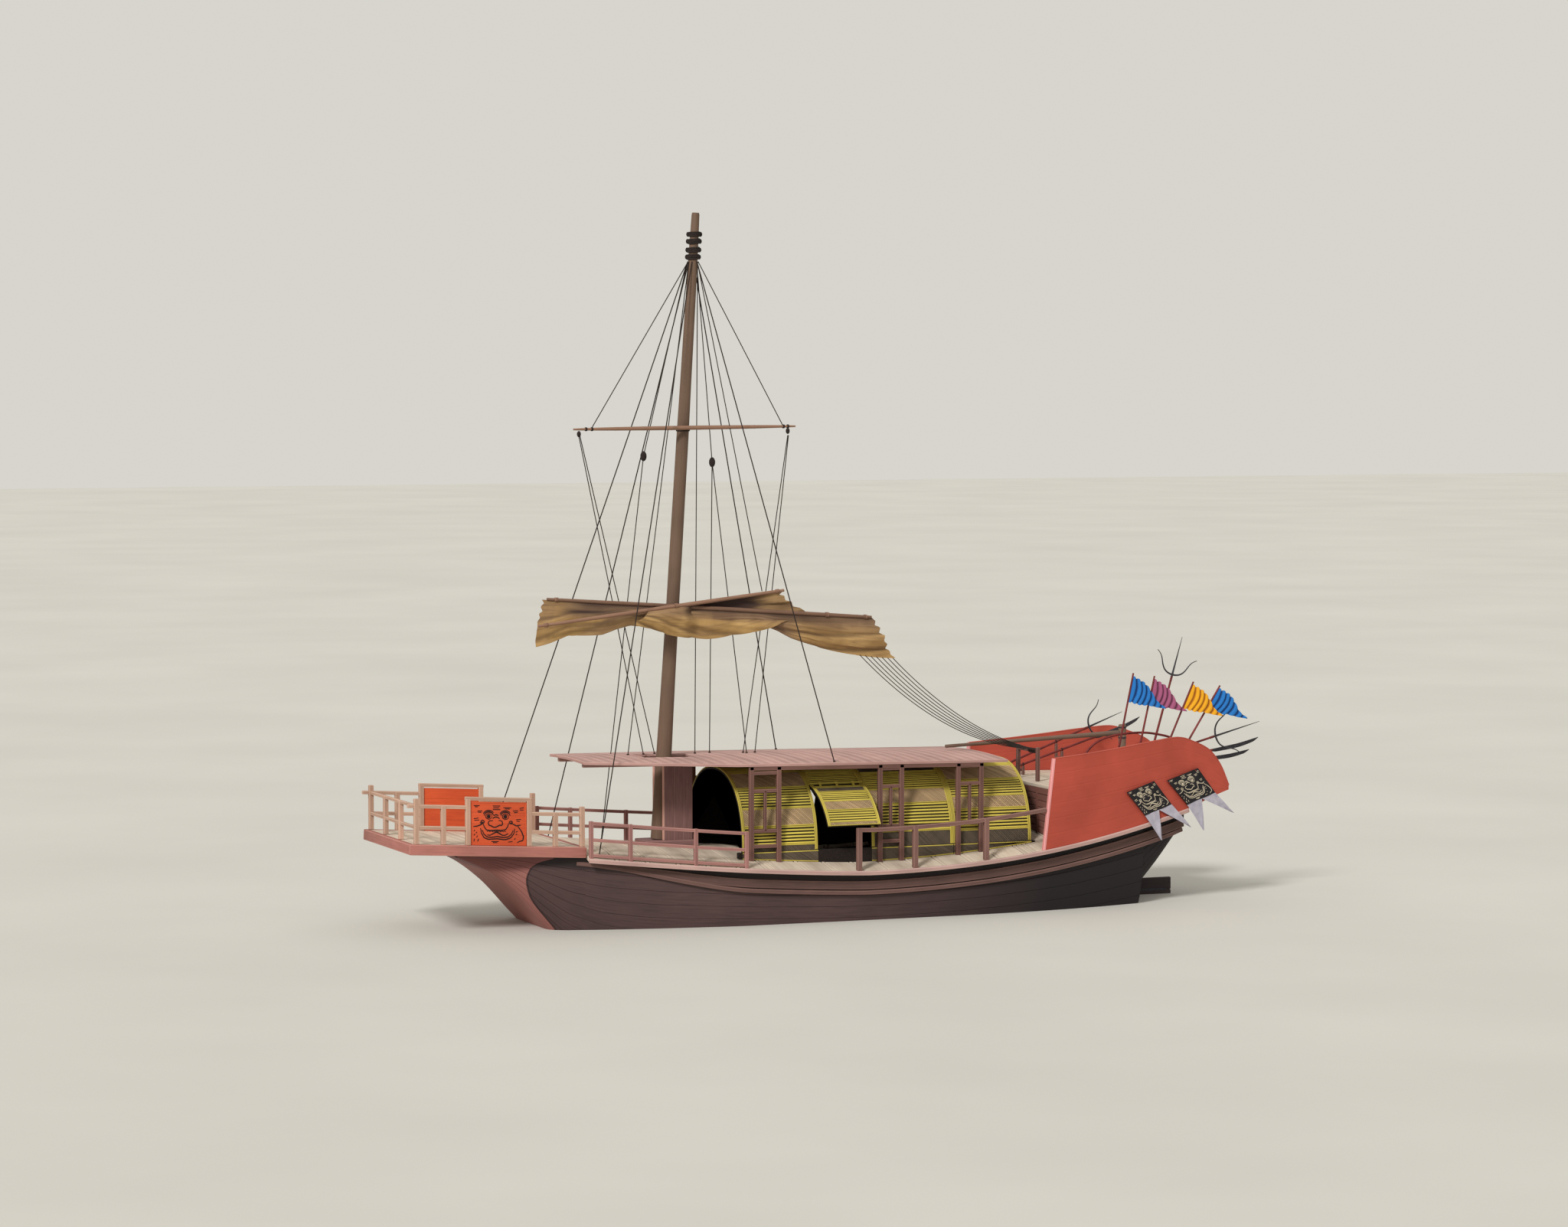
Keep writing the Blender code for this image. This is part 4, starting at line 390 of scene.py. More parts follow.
class Shape:
    """Grids of points joined into one mesh, with metres as UV and named values per point."""

    def __init__(self):
        self.points = []
        self.faces = []
        self.uvs = []
        self.values = []
        self.count = 0

    def add(self, points, faces, uvs, values):
        """Appends points with their faces, the UV of each face corner and the points' values."""
        self.points.append(points)
        self.faces.extend(group + self.count for group in faces)
        self.uvs.extend(uvs)
        self.values.append((len(points), values))
        self.count += len(points)

    def grid(self, points, u, v, ring=False, **values):
        """points[row, column], closed round the columns, and round the rows if ring or else by a
        fan over each end. u has a length for each row and v one for each column, with one more
        where they close. Faces are turned over if the volume they enclose is negative."""
        points = np.asarray(points, float)
        rows, cols = points.shape[:2]
        index = np.arange(rows * cols).reshape(rows, cols)
        index = np.column_stack([index, index[:, :1]])
        if ring:
            index = np.vstack([index, index[:1]])
        place = spread(u, v)
        flat = points.reshape(-1, 3)
        table = {key: np.broadcast_to(np.asarray(value, float), (rows, cols)).reshape(-1)
                 for key, value in values.items()}
        faces = [corners(index).reshape(-1, 4)]
        uvs = [corners(place).reshape(-1, 4, 2)]
        if not ring:
            for row, order in ((0, (0, 1, 2)), (rows - 1, (1, 0, 2))):
                centre = len(flat)
                flat = np.vstack([flat, points[row].mean(0)])
                table = {key: np.append(column, column[row * cols:(row + 1) * cols].mean())
                         for key, column in table.items()}
                fan = np.stack([index[row, :-1], index[row, 1:], np.full(cols, centre)], -1)
                middle = np.broadcast_to(place[row].mean(0), (cols, 2))
                faces.append(fan[:, order])
                uvs.append(np.stack([place[row, :-1], place[row, 1:], middle], 1)[:, order])
        volume = 0.0
        for group in faces:
            for k in range(1, group.shape[1] - 1):
                a, b, c = flat[group[:, 0]], flat[group[:, k]], flat[group[:, k + 1]]
                volume += np.einsum("ij,ij->i", a, np.cross(b, c)).sum()
        if volume < 0:
            faces = [group[:, ::-1] for group in faces]
            uvs = [group[:, ::-1] for group in uvs]
        self.add(flat, faces, uvs, table)

    def cloth(self, points, thick, **values):
        """A thin closed sheet: the grid moved half its thickness along its normal to each side, with
        a strip round the rim."""
        rows, cols = points.shape[:2]
        normal = np.cross(np.gradient(points, axis=0), np.gradient(points, axis=1))
        normal /= np.maximum(np.linalg.norm(normal, axis=2, keepdims=True), 1e-9)
        both = np.concatenate([points + normal * thick / 2, points - normal * thick / 2])
        steps = [np.linalg.norm(np.diff(points, axis=k), axis=2).mean(1 - k) for k in (0, 1)]
        place = spread(run(steps[0]), run(steps[1]))
        place = np.stack([place, place]).reshape(-1, 2)
        front, back = np.arange(2 * rows * cols).reshape(2, rows, cols)
        rim = np.concatenate([front[0, :], front[1:, -1], front[-1, -2::-1], front[-2:0:-1, 0]])
        under = rim + rows * cols
        quads = np.concatenate([
            corners(front).reshape(-1, 4), corners(back)[..., [0, 3, 2, 1]].reshape(-1, 4),
            np.stack([rim, np.roll(rim, -1), np.roll(under, -1), under], -1)])
        table = {key: np.concatenate([np.broadcast_to(np.asarray(value, float), (rows, cols)).ravel()] * 2)
                 for key, value in values.items()}
        self.add(both.reshape(-1, 3), [quads], [place[quads]], table)

    def turned(self, centre, angle):
        """Turns every point about an axis along X through centre."""
        c, s = math.cos(angle), math.sin(angle)
        for group in self.points:
            y = group[:, 1] - centre[0]
            z = group[:, 2] - centre[1]
            group[:, 1] = centre[0] + c * y - s * z
            group[:, 2] = centre[1] + s * y + c * z

    def mirrored(self):
        """Reflects every point across the centreline and keeps the faces pointing outwards."""
        for group in self.points:
            group[:, 1] *= -1
        self.faces = [group[:, ::-1] for group in self.faces]
        self.uvs = [group[:, ::-1] for group in self.uvs]


def piece(name, shape, finish, stands_for="", body="hull", weld=False):
    """Makes the object, shades it smooth but for edges over 35 degrees, gives it to its body and hides
    the nodes it stands for."""
    mesh = bpy.data.meshes.new(name)
    mesh.vertices.add(shape.count)
    mesh.vertices.foreach_set("co", np.concatenate(shape.points).ravel())
    loops = np.concatenate([group.ravel() for group in shape.faces])
    sizes = np.concatenate([np.full(len(group), group.shape[1]) for group in shape.faces])
    mesh.loops.add(len(loops))
    mesh.loops.foreach_set("vertex_index", loops.astype(np.int32))
    mesh.polygons.add(len(sizes))
    mesh.polygons.foreach_set("loop_start", run(sizes)[:-1].astype(np.int32))
    layer = mesh.uv_layers.new(name="UVMap")
    layer.uv.foreach_set("vector", np.concatenate([g.reshape(-1, 2) for g in shape.uvs]).ravel())
    for key in sorted({key for _, table in shape.values for key in table}):
        column = np.concatenate([table.get(key, np.zeros(n)) for n, table in shape.values])
        attribute = mesh.attributes.new(key, "FLOAT", "POINT")
        attribute.data.foreach_set("value", column.astype(np.float32))
    mesh.update(calc_edges=True)
    mesh.validate()
    if weld:
        work = bmesh.new()
        work.from_mesh(mesh)
        bmesh.ops.remove_doubles(work, verts=work.verts, dist=1e-5)
        bmesh.ops.dissolve_degenerate(work, edges=work.edges, dist=1e-6)
        work.to_mesh(mesh)
        work.free()
    mesh.shade_smooth()
    mesh.set_sharp_from_angle(angle=math.radians(35))
    mesh.materials.append(looks[finish])
    thing = bpy.data.objects.new(name, mesh)
    bpy.context.scene.collection.objects.link(thing)
    if body:
        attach(thing, body)
    if stands_for:
        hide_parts(*stands_for.split())
    return thing


def rounded(width, depth, radius):
    """Closed rounded rectangle: side and up at each point, and 1 on the corner arcs for edge."""
    radius = min(radius, width * 0.3, depth * 0.3)
    inner = radius * 0.8
    points = []
    for sx, sy, first in ((1, 1, 0), (-1, 1, 90), (-1, -1, 180), (1, -1, 270)):
        cx = sx * (width / 2 - radius)
        cy = sy * (depth / 2 - radius)
        flats = [(cx + sx * radius, cy - sy * inner), (cx - sx * inner, cy + sy * radius)]
        if first % 180:
            flats.reverse()
        turns = [math.radians(first + step) for step in (0, 45, 90)]
        bend = [(cx + radius * math.cos(turn), cy + radius * math.sin(turn)) for turn in turns]
        points += [flats[0], *bend, flats[1]]
    return np.array(points), np.array([0.0, 1.0, 1.0, 1.0, 0.0] * 4)


def round_bar(radius, sides=8):
    """Closed circle of points."""
    turn = circle(sides)
    return np.stack([np.cos(turn), np.sin(turn)], -1) * radius, np.zeros(sides)


def carry(shape, path, profile, up=(0, 0, 1), scale=None, bevel=0.0, tone=None):
    """Sweeps a profile along a path: side = tangent x up, and the point is path + side a + up b.
    Both ends are drawn in by the bevel."""
    path = np.asarray(path, float)
    section, edge = profile
    scale = np.ones(len(path)) if scale is None else np.asarray(scale, float)
    if bevel:
        shrink = 1 - bevel / np.abs(section).max()
        start = path[0] + (path[1] - path[0]) / np.linalg.norm(path[1] - path[0]) * bevel
        end = path[-1] + (path[-2] - path[-1]) / np.linalg.norm(path[-2] - path[-1]) * bevel
        path = np.vstack([path[:1], start, path[1:-1], end, path[-1:]])
        scale = np.concatenate([[scale[0] * shrink], scale[:1], scale[1:-1], scale[-1:],
                                [scale[-1] * shrink]])
    step = np.gradient(path, axis=0)
    step[0] = path[1] - path[0]
    step[-1] = path[-1] - path[-2]
    tangent = step / np.linalg.norm(step, axis=1, keepdims=True)
    side = np.cross(tangent, np.broadcast_to(np.asarray(up, float), path.shape))
    side /= np.linalg.norm(side, axis=1, keepdims=True)
    over = np.cross(side, tangent)
    reach = section[None, :, :] * scale[:, None, None]
    points = path[:, None, :] + side[:, None, :] * reach[..., :1] + over[:, None, :] * reach[..., 1:]
    if tone is None:
        tone = draw.random()
    shift = draw.random() * 20
    shape.grid(points, lengths(path) + shift, lengths(section, True) + shift, tone=tone, edge=edge[None, :])
    return shape


def timber(shape, start, end, width, depth, radius=0.012, up=(0, 0, 1)):
    """A straight squared timber with rounded arrises."""
    carry(shape, [start, end], rounded(width, depth, radius), up, bevel=radius)


def post(shape, x, y, low, high, width, depth=None, radius=0.012, up=ACROSS):
    """An upright timber."""
    timber(shape, (x, y, low), (x, y, high), width, depth or width, radius, up)


def turned_pole(shape, path, scale, sides, bevel=0.0):
    """A round pole whose radius is given at each point of its path."""
    return carry(shape, path, round_bar(1.0, sides), ACROSS, scale=scale, bevel=bevel)


def straight(start, end, share):
    """Points on the straight line from start to end."""
    start = np.asarray(start, float)
    return start + (np.asarray(end, float) - start) * np.asarray(share)[:, None]


def board(shape, xs, y_range, low, high, radius):
    """A board laid along Y between x = xs, its underside and top given as functions of x and y, and
    its ends as numbers or as functions of x."""
    first, last = (y if callable(y) else (lambda x, y=y: y) for y in y_range)
    x0, x1 = xs
    length = abs(float(last(x0)) - float(first(x0)))
    share = np.linspace(0, 1, max(2, int(length / 0.35) + 2))
    columns = ((x0, 0), (x0, 1), (x0 + radius, 2), ((x0 + x1) / 2, 2), (x1 - radius, 2), (x1, 1), (x1, 0))
    points = np.zeros((len(share), len(columns), 3))
    for k, (x, level) in enumerate(columns):
        ys = first(x) + (last(x) - first(x)) * share
        bottom = low(x, ys)
        top = high(x, ys)
        height = (bottom, top - radius, top)[level]
        points[:, k] = np.stack([np.full(len(ys), x), ys, height + 0 * ys], -1)
    edge = np.array([[0.0, 1.0, 1.0, 0.0, 1.0, 1.0, 0.0]])
    girth = np.linspace(0, 2 * (x1 - x0) + 0.2, len(columns) + 1)
    shift = draw.random() * 20
    shape.grid(points, share * length + shift, girth + shift, tone=draw.random(), edge=edge)


def spans(half, inset, hole=None):
    """Ends of a board over the full width, or of one on each side of a hole, as functions of x."""
    right = lambda x: float(half(x)) - inset
    left = lambda x: -right(x)
    return ((left, -hole), (hole, right)) if hole else ((left, right),)


def boards(shape, edges, half, inset, low, high, radius, hole=None, hole_x=(0, 0)):
    """Boards along Y, 6 mm apart, between neighbouring edges, split where they meet the hole."""
    for first, last in zip(edges[:-1], edges[1:]):
        split = hole if last > hole_x[0] + 1e-6 and first < hole_x[1] - 1e-6 else None
        for ends in spans(half, inset, split):
            board(shape, (first + 0.003, last - 0.003), ends, low, high, radius)


def blob(shape, centre, size, rows=8, cols=10):
    """An ellipsoid with closed poles, for blocks and knots."""
    polar = np.linspace(0.12, math.pi - 0.12, rows)[:, None]
    turn = circle(cols)
    points = np.stack([
        centre[0] + size[0] * np.sin(polar) * np.cos(turn),
        centre[1] + size[1] * np.sin(polar) * np.sin(turn),
        np.broadcast_to(centre[2] + size[2] * np.cos(polar), (rows, cols)),
    ], -1)
    shape.grid(points, polar[:, 0] * 0.1, np.linspace(0, 0.3, cols + 1), tone=draw.random(), edge=0.0)


def lashing(shape, centre, axis, radius, thick=0.012, turns=4, pitch=0.024):
    """Cord wound round a spar: closed rings side by side about an axis."""
    axis = unit(axis)
    across = np.cross(axis, (0.0, 1.0, 0.0))
    if np.linalg.norm(across) < 0.1:
        across = np.cross(axis, (0.0, 0.0, 1.0))
    across = unit(across)
    over = np.cross(axis, across)
    turn = circle(16)[:, None, None]
    section = circle(6)
    ring = across * np.cos(turn) + over * np.sin(turn)
    for k in range(turns):
        middle = np.asarray(centre, float) + axis * (k - (turns - 1) / 2) * pitch
        out = radius + thick * np.cos(section)
        points = middle + ring * out[None, :, None] + axis * (thick * np.sin(section))[None, :, None]
        shape.grid(points, np.linspace(0, 0.6, 17), np.linspace(0, 0.08, 7), ring=True,
                   tone=draw.random(), edge=0.0)
    return shape


def paint(red, green, blue):
    """A colour of 0 to 255 on screen as linear light."""
    return (*(c / 12.92 if c <= 0.04045 else ((c + 0.055) / 1.055) ** 2.4
              for c in (red / 255, green / 255, blue / 255)), 1.0)


class Look:
    """A procedural material built node by node. Most methods add a node and return its output."""

    def __init__(self, name, roughness):
        self.material = bpy.data.materials.new(name)
        self.material.use_nodes = True
        self.tree = self.material.node_tree
        self.shader = self.tree.nodes["Principled BSDF"]
        self.shader.inputs["Roughness"].default_value = roughness
        self.shader.inputs["Specular IOR Level"].default_value = 0.3

    def node(self, kind, inputs=(), **settings):
        """A node with its settings and inputs."""
        made = self.tree.nodes.new(kind)
        for key, value in settings.items():
            setattr(made, key, value)
        for key, value in dict(inputs).items():
            self.feed(made.inputs[key], value)
        return made

    def feed(self, socket, value):
        """Links a node's output to a socket, or sets the socket to a number or a colour."""
        if isinstance(value, bpy.types.NodeSocket):
            self.tree.links.new(value, socket)
        else:
            socket.default_value = value

    def attribute(self, name):
        """One of the shape's named values."""
        return self.node("ShaderNodeAttribute", attribute_name=name).outputs["Fac"]

    def uv(self, scale):
        """The UV in metres, times a scale."""
        coordinates = self.node("ShaderNodeTexCoord").outputs["UV"]
        return self.node("ShaderNodeMapping", {"Vector": coordinates, "Scale": scale}).outputs[0]

    def place(self):
        """Position on the object."""
        return self.node("ShaderNodeTexCoord").outputs["Object"]

    def noise(self, vector, scale=1.0, detail=4.0, distortion=0.0):
        """Soft noise from 0 to 1."""
        return self.node("ShaderNodeTexNoise", {"Vector": vector, "Scale": scale, "Detail": detail,
                                                "Distortion": distortion}).outputs["Fac"]

    def math(self, operation, a, b=0.0):
        """One operation on two numbers."""
        made = self.node("ShaderNodeMath", operation=operation)
        self.feed(made.inputs[0], a)
        self.feed(made.inputs[1], b)
        return made.outputs[0]

    def span(self, value, low, high, to_low=0.0, to_high=1.0):
        """A value carried from low and high over to to_low and to_high, and held beyond them."""
        return self.node("ShaderNodeMapRange", {"Value": value, "From Min": low, "From Max": high,
                                                "To Min": to_low, "To Max": to_high}).outputs[0]

    def mix(self, factor, a, b, blend="MIX"):
        """Colour a turning into b as the factor goes from 0 to 1."""
        made = self.node("ShaderNodeMix", data_type="RGBA", blend_type=blend)
        for number, value in ((0, factor), (6, a), (7, b)):
            self.feed(made.inputs[number], value)
        return made.outputs[2]

    def shaded(self, base, level):
        """A colour times a grey level."""
        grey = self.node("ShaderNodeCombineColor", {"Red": level, "Green": level, "Blue": level}).outputs[0]
        return self.mix(1.0, base, grey, "MULTIPLY")

    def bump(self, height, strength, distance=0.004):
        """Roughens the surface by a height."""
        made = self.node("ShaderNodeBump", {"Height": height, "Strength": strength, "Distance": distance})
        self.tree.links.new(made.outputs[0], self.shader.inputs["Normal"])

    def colour(self, value):
        """Gives the surface its colour and returns the material."""
        self.feed(self.shader.inputs["Base Color"], value)
        return self.material


def wood(name, body, dark, edge, arris_wear_and_highlight=0.5, tones=0.3, grain=1.0):
    """Painted or oiled timber: grain along U, weathering by place, tone by piece, and arrises paler by wear
    and painted highlight.
    """
    look = Look(name, 0.72)
    fibres = look.noise(look.uv((1.5, 34.0, 1.0)), 1.0, 6.0, 0.6)
    knots = look.noise(look.uv((0.8, 5.0, 1.0)), 1.0, 3.0, 1.2)
    worn = look.noise(look.place(), 0.9, 5.0)
    streaks = look.span(fibres, 0.38, 0.72)
    base = look.mix(look.math("MULTIPLY", streaks, 0.55 * grain), paint(*body), paint(*dark))
    base = look.mix(look.span(knots, 0.55, 0.8, 0.0, 0.4 * grain), base, paint(*dark))
    level = look.span(look.attribute("tone"), 0.0, 1.0, 1.0 - tones, 1.0 + tones * 0.4)
    base = look.shaded(base, look.math("MULTIPLY", level, look.span(worn, 0.3, 0.7, 0.86, 1.1)))
    # The arrises are paler partly by wear and partly as a painted highlight
    share = look.math("MULTIPLY", look.attribute("edge"), look.span(worn, 0.25, 0.6, 0.5, 1.0))
    base = look.mix(look.math("MULTIPLY", share, arris_wear_and_highlight), base, paint(*edge))
    look.bump(look.math("ADD", fibres, look.math("MULTIPLY", knots, 0.6)), 0.25 * grain)
    return look.colour(base)


def plain(name, body, dark, roughness=0.85, scale=6.0, bump=0.2):
    """A worn painted, forged or twisted surface with one colour and its shade."""
    look = Look(name, roughness)
    worn = look.noise(look.place(), scale, 5.0)
    base = look.mix(look.span(worn, 0.3, 0.7), paint(*dark), paint(*body))
    look.bump(worn, bump, 0.003)
    return look.colour(look.shaded(base, look.span(look.attribute("tone"), 0.0, 1.0, 0.85, 1.0)))


def hull_look(name):
    """Tarred planking, darker towards the stern, with a painted shadow band just under the deck edge,
    and the bare raked bow in dusty pink with painted shade along its top under the platform.
    """
    look = Look(name, 0.62)
    fibres = look.noise(look.uv((1.2, 26.0, 1.0)), 1.0, 6.0, 0.5)
    worn = look.noise(look.place(), 0.7, 5.0)
    aft = look.span(look.attribute("station"), 0.0, 5.6)
    side = look.mix(aft, paint(82, 62, 61), paint(28, 24, 27))
    side = look.mix(look.span(fibres, 0.4, 0.75, 0.0, 0.4), side, paint(36, 26, 28))
    # Painted shadow: nearly black in a band just under the deck edge, where the deck overhangs
    shade = look.span(look.attribute("drop"), 0.22, 0.36, 0.85, 0.0)
    side = look.mix(shade, side, paint(22, 18, 20))
    front = look.mix(look.span(fibres, 0.35, 0.75, 0.0, 0.4), paint(160, 106, 98), paint(128, 80, 75))
    # Painted shade: the bare bow darker along its top, under the platform
    height = look.node("ShaderNodeSeparateXYZ", {"Vector": look.place()}).outputs[2]
    front = look.mix(look.span(height, 1.52, 1.66), front, paint(122, 74, 70))
    bow = look.attribute("bow")
    base = look.mix(look.span(bow, 0.0, 0.02), side, front)
    line = look.math("SUBTRACT", 1.0, look.span(look.math("ABSOLUTE", bow), 0.012, 0.035))
    base = look.mix(look.math("MULTIPLY", line, 0.8), base, paint(34, 22, 24))
    look.bump(fibres, 0.25)
    return look.colour(look.mix(look.span(worn, 0.35, 0.75, 0.0, 0.25), base, paint(30, 22, 24)))


def pennant_look(name, body, crease_shade):
    """Dyed cotton, nearly black with painted shade along the folds' hollows, where fold is 0."""
    look = Look(name, 0.88)
    worn = look.noise(look.place(), 7.0, 4.0)
    share = look.math("ADD", look.attribute("fold"), look.span(worn, 0.3, 0.7, -0.08, 0.08))
    look.bump(worn, 0.15, 0.003)
    return look.colour(look.mix(look.span(share, 0.2, 0.78), paint(*crease_shade), paint(*body)))


def sail_look(name):
    """Cotton in painted light and shade: brown where lit is 0, gold where it is 1, nearly black where dark
    is 1.
    """
    look = Look(name, 0.9)
    streaks = look.noise(look.uv((11.0, 0.9, 1.0)), 1.0, 6.0, 0.9)
    stains = look.noise(look.place(), 1.6, 5.0)
    share = look.span(stains, 0.35, 0.65)
    brown = look.mix(share, paint(112, 87, 71), paint(134, 107, 87))
    gold = look.mix(share, paint(156, 123, 77), paint(182, 147, 95))
    base = look.mix(look.attribute("lit"), brown, gold)
    base = look.mix(look.span(streaks, 0.48, 0.72, 0.0, 0.55), base, paint(102, 77, 60))
    look.bump(look.math("ADD", streaks, stains), 0.35, 0.01)
    return look.colour(look.mix(look.attribute("dark"), base, paint(58, 42, 38)))


# Wood: name, colour, dark grain, the arrises' colour, paler by wear and painted highlight, and its share,
# the spread of tones, the grain's share.
# Plain: name, colour, its darker tone, roughness, the noise's scale, bump. Pennants: name, colour, the
# painted shade of their folds' hollows.
FINISHES = (
    (hull_look, (("hull_timber",),)),
    (sail_look, (("sail_canvas",),)),
    (wood, (
        ("rudder_timber", (62, 50, 52), (38, 32, 34), (92, 76, 76), 0.4),
        ("board_trim", (228, 152, 152), (200, 118, 116), (240, 180, 178), 0.5, 0.1),
        ("wale_timber", (108, 80, 74), (74, 54, 51), (132, 102, 94)),
        ("deck_nosing", (184, 150, 143), (150, 116, 110), (204, 176, 168), 0.5, 0.1),
        ("deck_planks", (208, 192, 173), (168, 149, 132), (221, 208, 191), 0.5, 0.18),
        ("platform_timber", (172, 112, 102), (138, 86, 78), (198, 146, 132)),
        ("pale_rail", (190, 154, 134), (156, 122, 104), (208, 176, 154), 0.6, 0.15),
        ("rose_rail", (156, 110, 104), (122, 82, 78), (182, 138, 129), 0.6, 0.15),
        ("dark_rail", (112, 78, 70), (78, 54, 50), (140, 104, 94), 0.6, 0.25),
        ("aft_rail", (126, 92, 84), (96, 68, 62), (156, 120, 110), 0.6, 0.15),
        ("roof_planks", (176, 138, 131), (144, 106, 101), (202, 166, 157), 0.6, 0.18),
        ("tabernacle_timber", (132, 98, 95), (96, 68, 67), (154, 118, 113), 0.6, 0.1),
        ("tabernacle_edge", (212, 164, 148), (180, 130, 118), (226, 184, 168)),
        ("mast_timber", (121, 97, 80), (88, 68, 57), (140, 112, 92)),
        ("spar_bamboo", (142, 108, 88), (104, 76, 62), (168, 134, 112), 0.4),
        ("bamboo_slat", (211, 193, 86), (168, 148, 56), (226, 210, 112), 0.3, 0.2),
        ("bamboo_strip", (188, 160, 122), (140, 114, 84), (204, 178, 140), 0.3),
        ("bamboo_shade_strip", (98, 86, 72), (62, 54, 46), (118, 104, 88), 0.3),
        ("bamboo_pole", (204, 186, 84), (156, 136, 54), (220, 204, 108), 0.3, 0.2),
        ("red_board", (178, 76, 60), (156, 62, 50), (194, 96, 80), 0.5, 0.1, 0.35),
        ("painted_panel", (212, 88, 48), (184, 66, 36), (214, 96, 56), 0.5, 0.1),
        ("wall_planks", (118, 74, 64), (80, 50, 46), (150, 104, 92)),
        ("tiller_timber", (120, 98, 84), (84, 66, 58), (150, 128, 112)),
    )),
    (plain, (
        # The mats' woven underlay and the sill's core, near black as painted shade inside the shelter and
        # between the slats
        ("mat_weave", (42, 32, 27), (22, 17, 15), 0.9, 30.0, 0.5),
        ("rope", (58, 46, 40), (28, 22, 20), 0.85, 40.0, 0.4),
        ("banner_black", (40, 36, 40), (22, 20, 24)),
        ("banner_cream", (226, 214, 190), (196, 182, 156)),
        ("banner_lilac", (192, 188, 200), (164, 160, 176)),
        ("panel_ink", (44, 26, 24), (24, 16, 16), 0.8),
        ("red_shaft", (126, 46, 42), (92, 32, 32), 0.6),
        ("dark_iron", (62, 60, 66), (34, 32, 38), 0.5, 20.0),
        ("mast_lashing", (54, 44, 40), (26, 20, 20), 0.9, 40.0, 0.5),
    )),
    (pennant_look, (
        ("flag_blue", (38, 116, 192), (12, 44, 96)),
        ("flag_mauve", (162, 88, 122), (92, 44, 66)),
        ("flag_yellow", (232, 166, 34), (150, 82, 16)),
    )),
)
looks = {row[0]: make(*row) for make, rows in FINISHES for row in rows}


def make_hull():
    """The planked hull: at each x a ring across the top, down starboard, along the bottom and up
    port, with a shallow groove between its planks. The hold well drops the middle of the top to its
    floor, and the rudder trunk is left open."""
    table = np.linspace(0, math.pi / 2, 200)
    half, height = side_point(0.0, table)
    girth = run(np.hypot(np.diff(half), np.diff(height)))
    levels = []
    for k in range(HULL_PLANKS + 1):
        seam = girth[-1] * (1 - k / HULL_PLANKS)
        groove = GROOVE_DEPTH if 0 < k < HULL_PLANKS else 0.0
        levels += [(seam + GROOVE_HALF, 0.0), (seam, groove), (seam - GROOVE_HALF, 0.0)]
        levels += [(girth[-1] * (1 - (k + share) / HULL_PLANKS), 0.0) for share in (0.2, 0.4, 0.6, 0.8)]
    levels = np.array([row for row in levels if 0 <= row[0] <= girth[-1]])
    turns = np.interp(levels[:, 0], girth, table)
    sunk = levels[:, 1]
    trunk_x = (STOCK_X - TRUNK_HALF, STOCK_X + TRUNK_HALF)
    xs = []
    in_well = []
    for first, last, count in ((BOW_X, -7.12, 34), (DECK_FRONT_X, WELL_X[0], 20), (*WELL_X, 28),
                               (WELL_X[1], 8.43, 16), (8.45, trunk_x[0], 3), (*trunk_x, 2),
                               (trunk_x[1], STERN_X, 5)):
        for x in np.linspace(first, last, count):
            if xs and abs(x - xs[-1]) < 1e-9 and first not in WELL_X:
                continue
            xs.append(x)
            in_well.append(first == WELL_X[0])
    xs = np.array(xs)
    rows = []
    drops = []
    bows = []
    for x, low in zip(xs, in_well):
        h = float(hull_half(x))
        across = np.array([-h, (-h - WELL_HALF) / 2, -WELL_HALF, -WELL_HALF, -TRUNK_HALF, TRUNK_HALF,
                           WELL_HALF, WELL_HALF, (h + WELL_HALF) / 2, h])
        if h < WELL_HALF + 0.05:
            across[[1, 2, 3]] = -h * 0.9
            across[[6, 7, 8]] = h * 0.9
        if x >= DECK_FRONT_X - 0.001:
            top = deck_top(x, across) - DECK_THICKNESS
        else:
            top = np.full(len(across), hull_edge_z(x))
        if low:
            top[3:7] = WELL_FLOOR
        station = np.full(len(turns), x)
        near, level = side_point(station, turns)
        before, under = side_point(station, np.clip(turns - 0.02, 0, None))
        slope = np.stack([near - before, level - under], -1)
        slope /= np.maximum(np.linalg.norm(slope, axis=1, keepdims=True), 1e-9)
        near = near - slope[:, 1] * sunk
        level = level + slope[:, 0] * sunk
        trunk = min(TRUNK_HALF, float(bottom_half(x)) * 0.5)
        ring_y = np.concatenate([across, near[1:], [trunk, -trunk], -near[:0:-1]])
        ring_z = np.concatenate([top, level[1:], np.full(2, level[-1]), level[:0:-1]])
        rows.append(np.stack([np.full(len(ring_y), x), ring_y, ring_z], -1))
        # drop, the depth under the sheer, places the painted shadow band of the hull's look
        drops.append(float(sheer(x)) - ring_z)
        bows.append(smooth_curve(ring_z, BOW_EDGE_Z, BOW_EDGE_X) - x)
    shape = Shape()
    shape.grid(rows, xs, lengths(rows[len(rows) // 2], True), drop=np.array(drops), bow=np.array(bows),
               station=xs[:, None], tone=0.5, edge=0.0)
    quads = shape.faces[0]
    row = int(np.argmin(np.abs(xs - trunk_x[0])))
    hole = []
    for col in (TRUNK_COLUMN, len(across) + len(turns) - 1):
        wanted = {r * len(rows[0]) + c for r in (row, row + 1) for c in (col, col + 1)}
        hole.append(next(k for k, quad in enumerate(quads) if set(quad.tolist()) == wanted))
    upper, lower = quads[hole]
    keep = np.ones(len(quads), bool)
    keep[hole] = False
    flat = np.concatenate(shape.points)
    match = [int(lower[np.argmin(np.linalg.norm(flat[lower][:, :2] - flat[p][:2], axis=1))]) for p in upper]
    walls = [[upper[k], match[k], match[(k + 1) % 4], upper[(k + 1) % 4]] for k in range(4)]
    shape.faces[0] = np.vstack([quads[keep], walls])
    shape.uvs[0] = np.vstack([shape.uvs[0][keep], np.zeros((4, 4, 2))])
    piece("planked_hull", shape, "hull_timber", "hull", weld=True)


